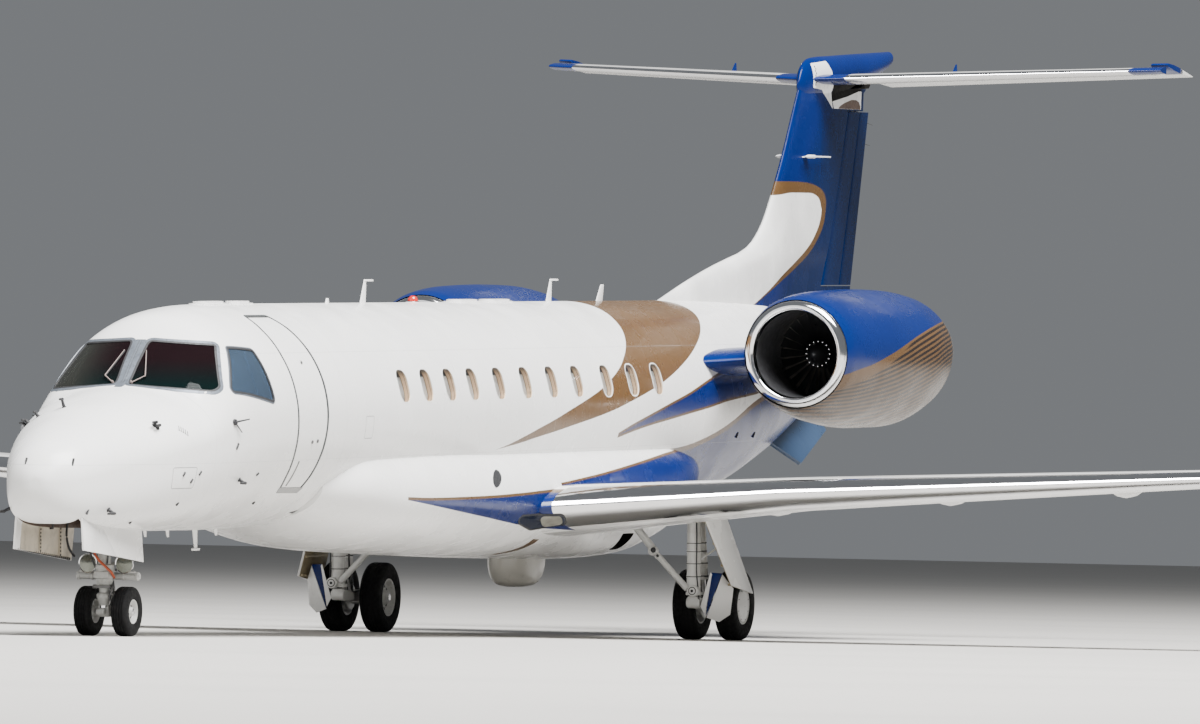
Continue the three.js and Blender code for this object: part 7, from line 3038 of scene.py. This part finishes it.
def cushion(name: str, low: Point, high: Point, thin: int, crown: float = 0.22) -> bpy.types.Object:
    """A crowned pad with pulled-in sides.

    Args:
        name: Name of the object.
        low: Its lowest airframe corner.
        high: Its highest airframe corner.
        thin: Index of its thin direction.
        crown: Share of its thickness by which the middle rises over the edge.

    Returns:
        The object.
    """
    low, high = np.asarray(low, float), np.asarray(high, float)
    middle, half = (low + high) / 2, (high - low) / 2
    wide = [i for i in range(3) if i != thin]
    edge = pad_outline(2 * math.pi * np.arange(72) / 72)
    rings = []
    for turn in np.linspace(-0.5, 0.5, 21)[1:-1] * math.pi:
        depth = math.copysign(abs(math.sin(turn)) ** 0.75, turn)
        across = max(math.cos(turn), 0.0) ** 0.28
        ring = np.tile(middle, (72, 1))
        ring[:, wide] += half[wide] * across * edge
        ring[:, thin] += half[thin] * depth * (1 - crown * across**2)
        rings.append(ring)
    return skin(name, rings)


@dataclass
class Cockpit(Assembly):
    """Instrument panel, hood, pedestal and the two pilot seats."""

    seat_y: float = 0.45
    panel_half: float = 0.86
    screen_places: tuple[float, ...] = (-0.62, -0.36, 0.0, 0.36, 0.62)

    def build(self) -> None:
        """Makes the flight deck's pieces."""
        self.panel()
        for word, side in SIDES:
            self.seat(word, side)

    def panel(self) -> None:
        """The panel with its displays, the padded hood and the pedestal."""
        width = self.panel_half
        face = [brick("panel_face", (2.49, -width, -0.41), (2.555, width, 0.13), 0.01)]
        for side in (-1.0, 1.0):
            face.append(brick("knee", (2.5, width * 0.55 * side - 0.02, -0.42),
                              (2.6, width * 0.55 * side + 0.02, -0.05), 0.008))
        pedestal = [
            brick("console", (2.54, -0.188, -0.599), (3.15, 0.188, -0.19), 0.02),
            brick("console_top", (2.56, -0.17, -0.195), (3.12, 0.17, -0.155), 0.012),
        ]
        show(joined("flight_panel", face + pedestal), PANEL, stands_for=("instrument_panel",))
        rings = []
        for share in np.linspace(-1, 1, 25):
            y = share * width
            bulge = 0.012 * (1 - share**2)
            drop = 0.035 * abs(share) ** 2.5
            upper = [(2.35 + 0.28 * t, y, 0.17 + bulge - drop - 0.012 * (2 * t - 1) ** 4)
                     for t in np.linspace(0, 1, 9)]
            lower = [(2.35 + 0.28 * t, y, 0.138 - drop) for t in np.linspace(1, 0, 5)]
            rings.append(np.array(upper + lower))
        show(skin("panel_hood", rings), HOOD)
        screens, bezels = [], []
        for centre in self.screen_places:
            half = 0.115 if centre else 0.14
            screens.append(brick("screen", (2.553, centre - half, -0.14), (2.5585, centre + half, 0.09),
                                 0.003))
            bezels.append(brick("bezel", (2.55, centre - half - 0.014, -0.155),
                                (2.5565, centre + half + 0.014, 0.105), 0.003))
        show(joined("panel_bezels", bezels), DARK_STEEL)
        show(joined("panel_displays", screens), SCREEN)
        places, ups = [], []
        for centre in (-0.62, -0.36, -0.12, 0.12, 0.36, 0.62):
            for k in range(5):
                places.append(placed((2.5575, centre - 0.08 + 0.04 * k, -0.185)))
                ups.append(turned((1.0, 0.0, 0.0)))
        knobs = Repeat("panel_knobs", stud(0.011, 0.02, 12),
                       GREY_METAL).build(np.array(places), np.array(ups))
        show(knobs, GREY_METAL)
        levers = []
        for out in (-0.05, 0.05):
            levers.append(bar("lever", (2.86, out, -0.16), (2.83, out, -0.075), 0.01, count=12))
            levers.append(rounded_edges(brick("grip", (2.81, out - 0.03, -0.085), (2.85, out + 0.03, -0.055),
                                              0.008), 0.003))
        show(joined("pedestal_levers", levers), GREY_METAL)

    def seat(self, word: str, side: float) -> None:
        """One pilot seat: frame, padded cushion, back and headrest, with piping along the pads.

        Args:
            word: left or right, as names say it.
            side: 1 for port, -1 for starboard.
        """
        y = self.seat_y * side
        frame = [
            brick("base", (3.13, y - 0.1, -0.599), (3.35, y + 0.1, -0.25), 0.02),
            brick("tray", (3.03, y - 0.215, -0.262), (3.5, y + 0.215, -0.235), 0.01),
            brick("shell", (3.492, y - 0.2, -0.17), (3.518, y + 0.2, 0.42), 0.012),
            bar("rail", (3.06, y - 0.16, -0.59), (3.48, y - 0.16, -0.59), 0.009),
            bar("rail", (3.06, y + 0.16, -0.59), (3.48, y + 0.16, -0.59), 0.009),
            bar("neck", (3.47, y - 0.05, 0.38), (3.47, y - 0.05, 0.46), 0.008),
            bar("neck", (3.47, y + 0.05, 0.38), (3.47, y + 0.05, 0.46), 0.008),
        ]
        show(joined(f"pilot_seat_frame_{word}", frame), DARK_STEEL, stands_for=(f"pilot_seat_{word}",))
        pads = {
            "cushion": ((3.02, y - 0.228, -0.24), (3.49, y + 0.228, -0.14), 2),
            "back": ((3.4, y - 0.222, -0.15), (3.495, y + 0.222, 0.42), 0),
            "headrest": ((3.42, y - 0.128, 0.44), (3.5, y + 0.128, 0.635), 0),
        }
        for name, (low, high, thin) in pads.items():
            pad = cushion(f"pilot_{name}_{word}", low, high, thin)
            show(pad, LEATHER)
            middle, half = (np.array(low) + high) / 2, (np.array(high) - low) / 2
            wide = [i for i in range(3) if i != thin]
            route = np.tile(middle, (49, 1))
            route[:, wide] += half[wide] * pad_outline(np.linspace(0, 2 * math.pi, 49))
            show(hose(f"pilot_{name}_piping_{word}", route, 0.0045, 8, 2), PIPING)


@dataclass
class Studio(Assembly):
    """Floor, light and the camera at the photograph's place."""

    camera_place: tuple[float, float, float] = (122.399, 44.872, 1.034)
    target: tuple[float, float, float] = (-3.216, 0.0, 3.021)
    roll: float = 0.0209
    lens: float = 362.5
    floor_half: float = 900.0
    sky: tuple[float, float, float, float] = (0.86, 0.9, 0.95, 1.0)
    sky_strength: float = 0.22

    def build(self) -> None:
        """Makes the stage."""
        data = bpy.data.cameras.new("photo_camera")
        data.lens, data.sensor_width = self.lens, 36.0
        data.clip_start, data.clip_end = 1.0, 3000.0
        camera = bpy.data.objects.new("photo_camera", data)
        ahead = (Vector(self.target) - Vector(self.camera_place)).normalized()
        right = ahead.cross(Vector((0.0, 0.0, 1.0))).normalized()
        up = right.cross(ahead)
        cos, sin = math.cos(self.roll), math.sin(self.roll)
        turned_right, turned_up = right * cos + up * sin, up * cos - right * sin
        matrix = Matrix((turned_right, turned_up, -ahead)).transposed().to_4x4()
        matrix.translation = self.camera_place
        camera.matrix_world = matrix
        scene = bpy.context.scene
        scene.collection.objects.link(camera)
        scene.camera = camera
        corners = [(a * self.floor_half, b * self.floor_half, 0.0)
                   for a, b in ((-1, -1), (1, -1), (1, 1), (-1, 1))]
        floor = new_object("studio_floor", np.array(corners), [(0, 1, 2, 3)])
        dressed(floor, FLOOR_FINISH)
        self.light("key_light", (28.0, 34.0, 86.0), 60.0, 480000.0)
        self.light("fill_light", (70.0, -40.0, 30.0), 60.0, 16000.0)
        world = bpy.data.worlds.new("studio_world")
        world.use_nodes = True
        background = world.node_tree.nodes["Background"]
        background.inputs["Color"].default_value = self.sky
        background.inputs["Strength"].default_value = self.sky_strength
        scene.world = world

    def light(self, name: str, place: Point, size: float, power: float) -> None:
        """A large soft light that faces the aircraft.

        Args:
            name: Name of the light.
            place: X, Y and Z.
            size: Length of its sides.
            power: Its power in watts.
        """
        data = bpy.data.lights.new(name, "AREA")
        data.size, data.energy = size, power
        lamp = bpy.data.objects.new(name, data)
        lamp.location = place
        lamp.rotation_euler = (Vector((0.0, 0.0, 2.0)) - Vector(place)).to_track_quat("-Z", "Y").to_euler()
        bpy.context.scene.collection.objects.link(lamp)


def dress_frame(frame: dict) -> None:
    """Gives the CAD nodes that stay in view their finishes."""
    looks = {"cockpit_floor": CARPET, "cabin_bulkhead": TRIM}
    for name, obj in frame["nodes"].items():
        if obj.hide_render:
            continue
        finish = looks.get(name, RUBBER if "tyre" in name else GEAR_PAINT)
        if not obj.material_slots:
            obj.data.materials.append(None)
        for place in obj.material_slots:
            place.material = material_of(finish)


def main() -> None:
    """Builds the aircraft around its frame."""
    logging.basicConfig(level=logging.INFO, format="%(name)s %(message)s")
    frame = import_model()
    Studio().build()
    wings = [Wing(word, side) for word, side in SIDES]
    hull, belly = Skin(), Belly(wings)
    assemblies = [
        hull, *wings, belly, Tail(), *(Engine(word, side) for word, side in SIDES), NoseGear(),
        *(MainGear(word, side) for word, side in SIDES), Fittings(hull.tree, belly.tree), DoorInside(),
        Cockpit(),
    ]
    for assembly in assemblies:
        LOG.info("building %s", type(assembly).__name__)
        assembly.build()
    dress_frame(frame)


if __name__ == "__main__":
    main()
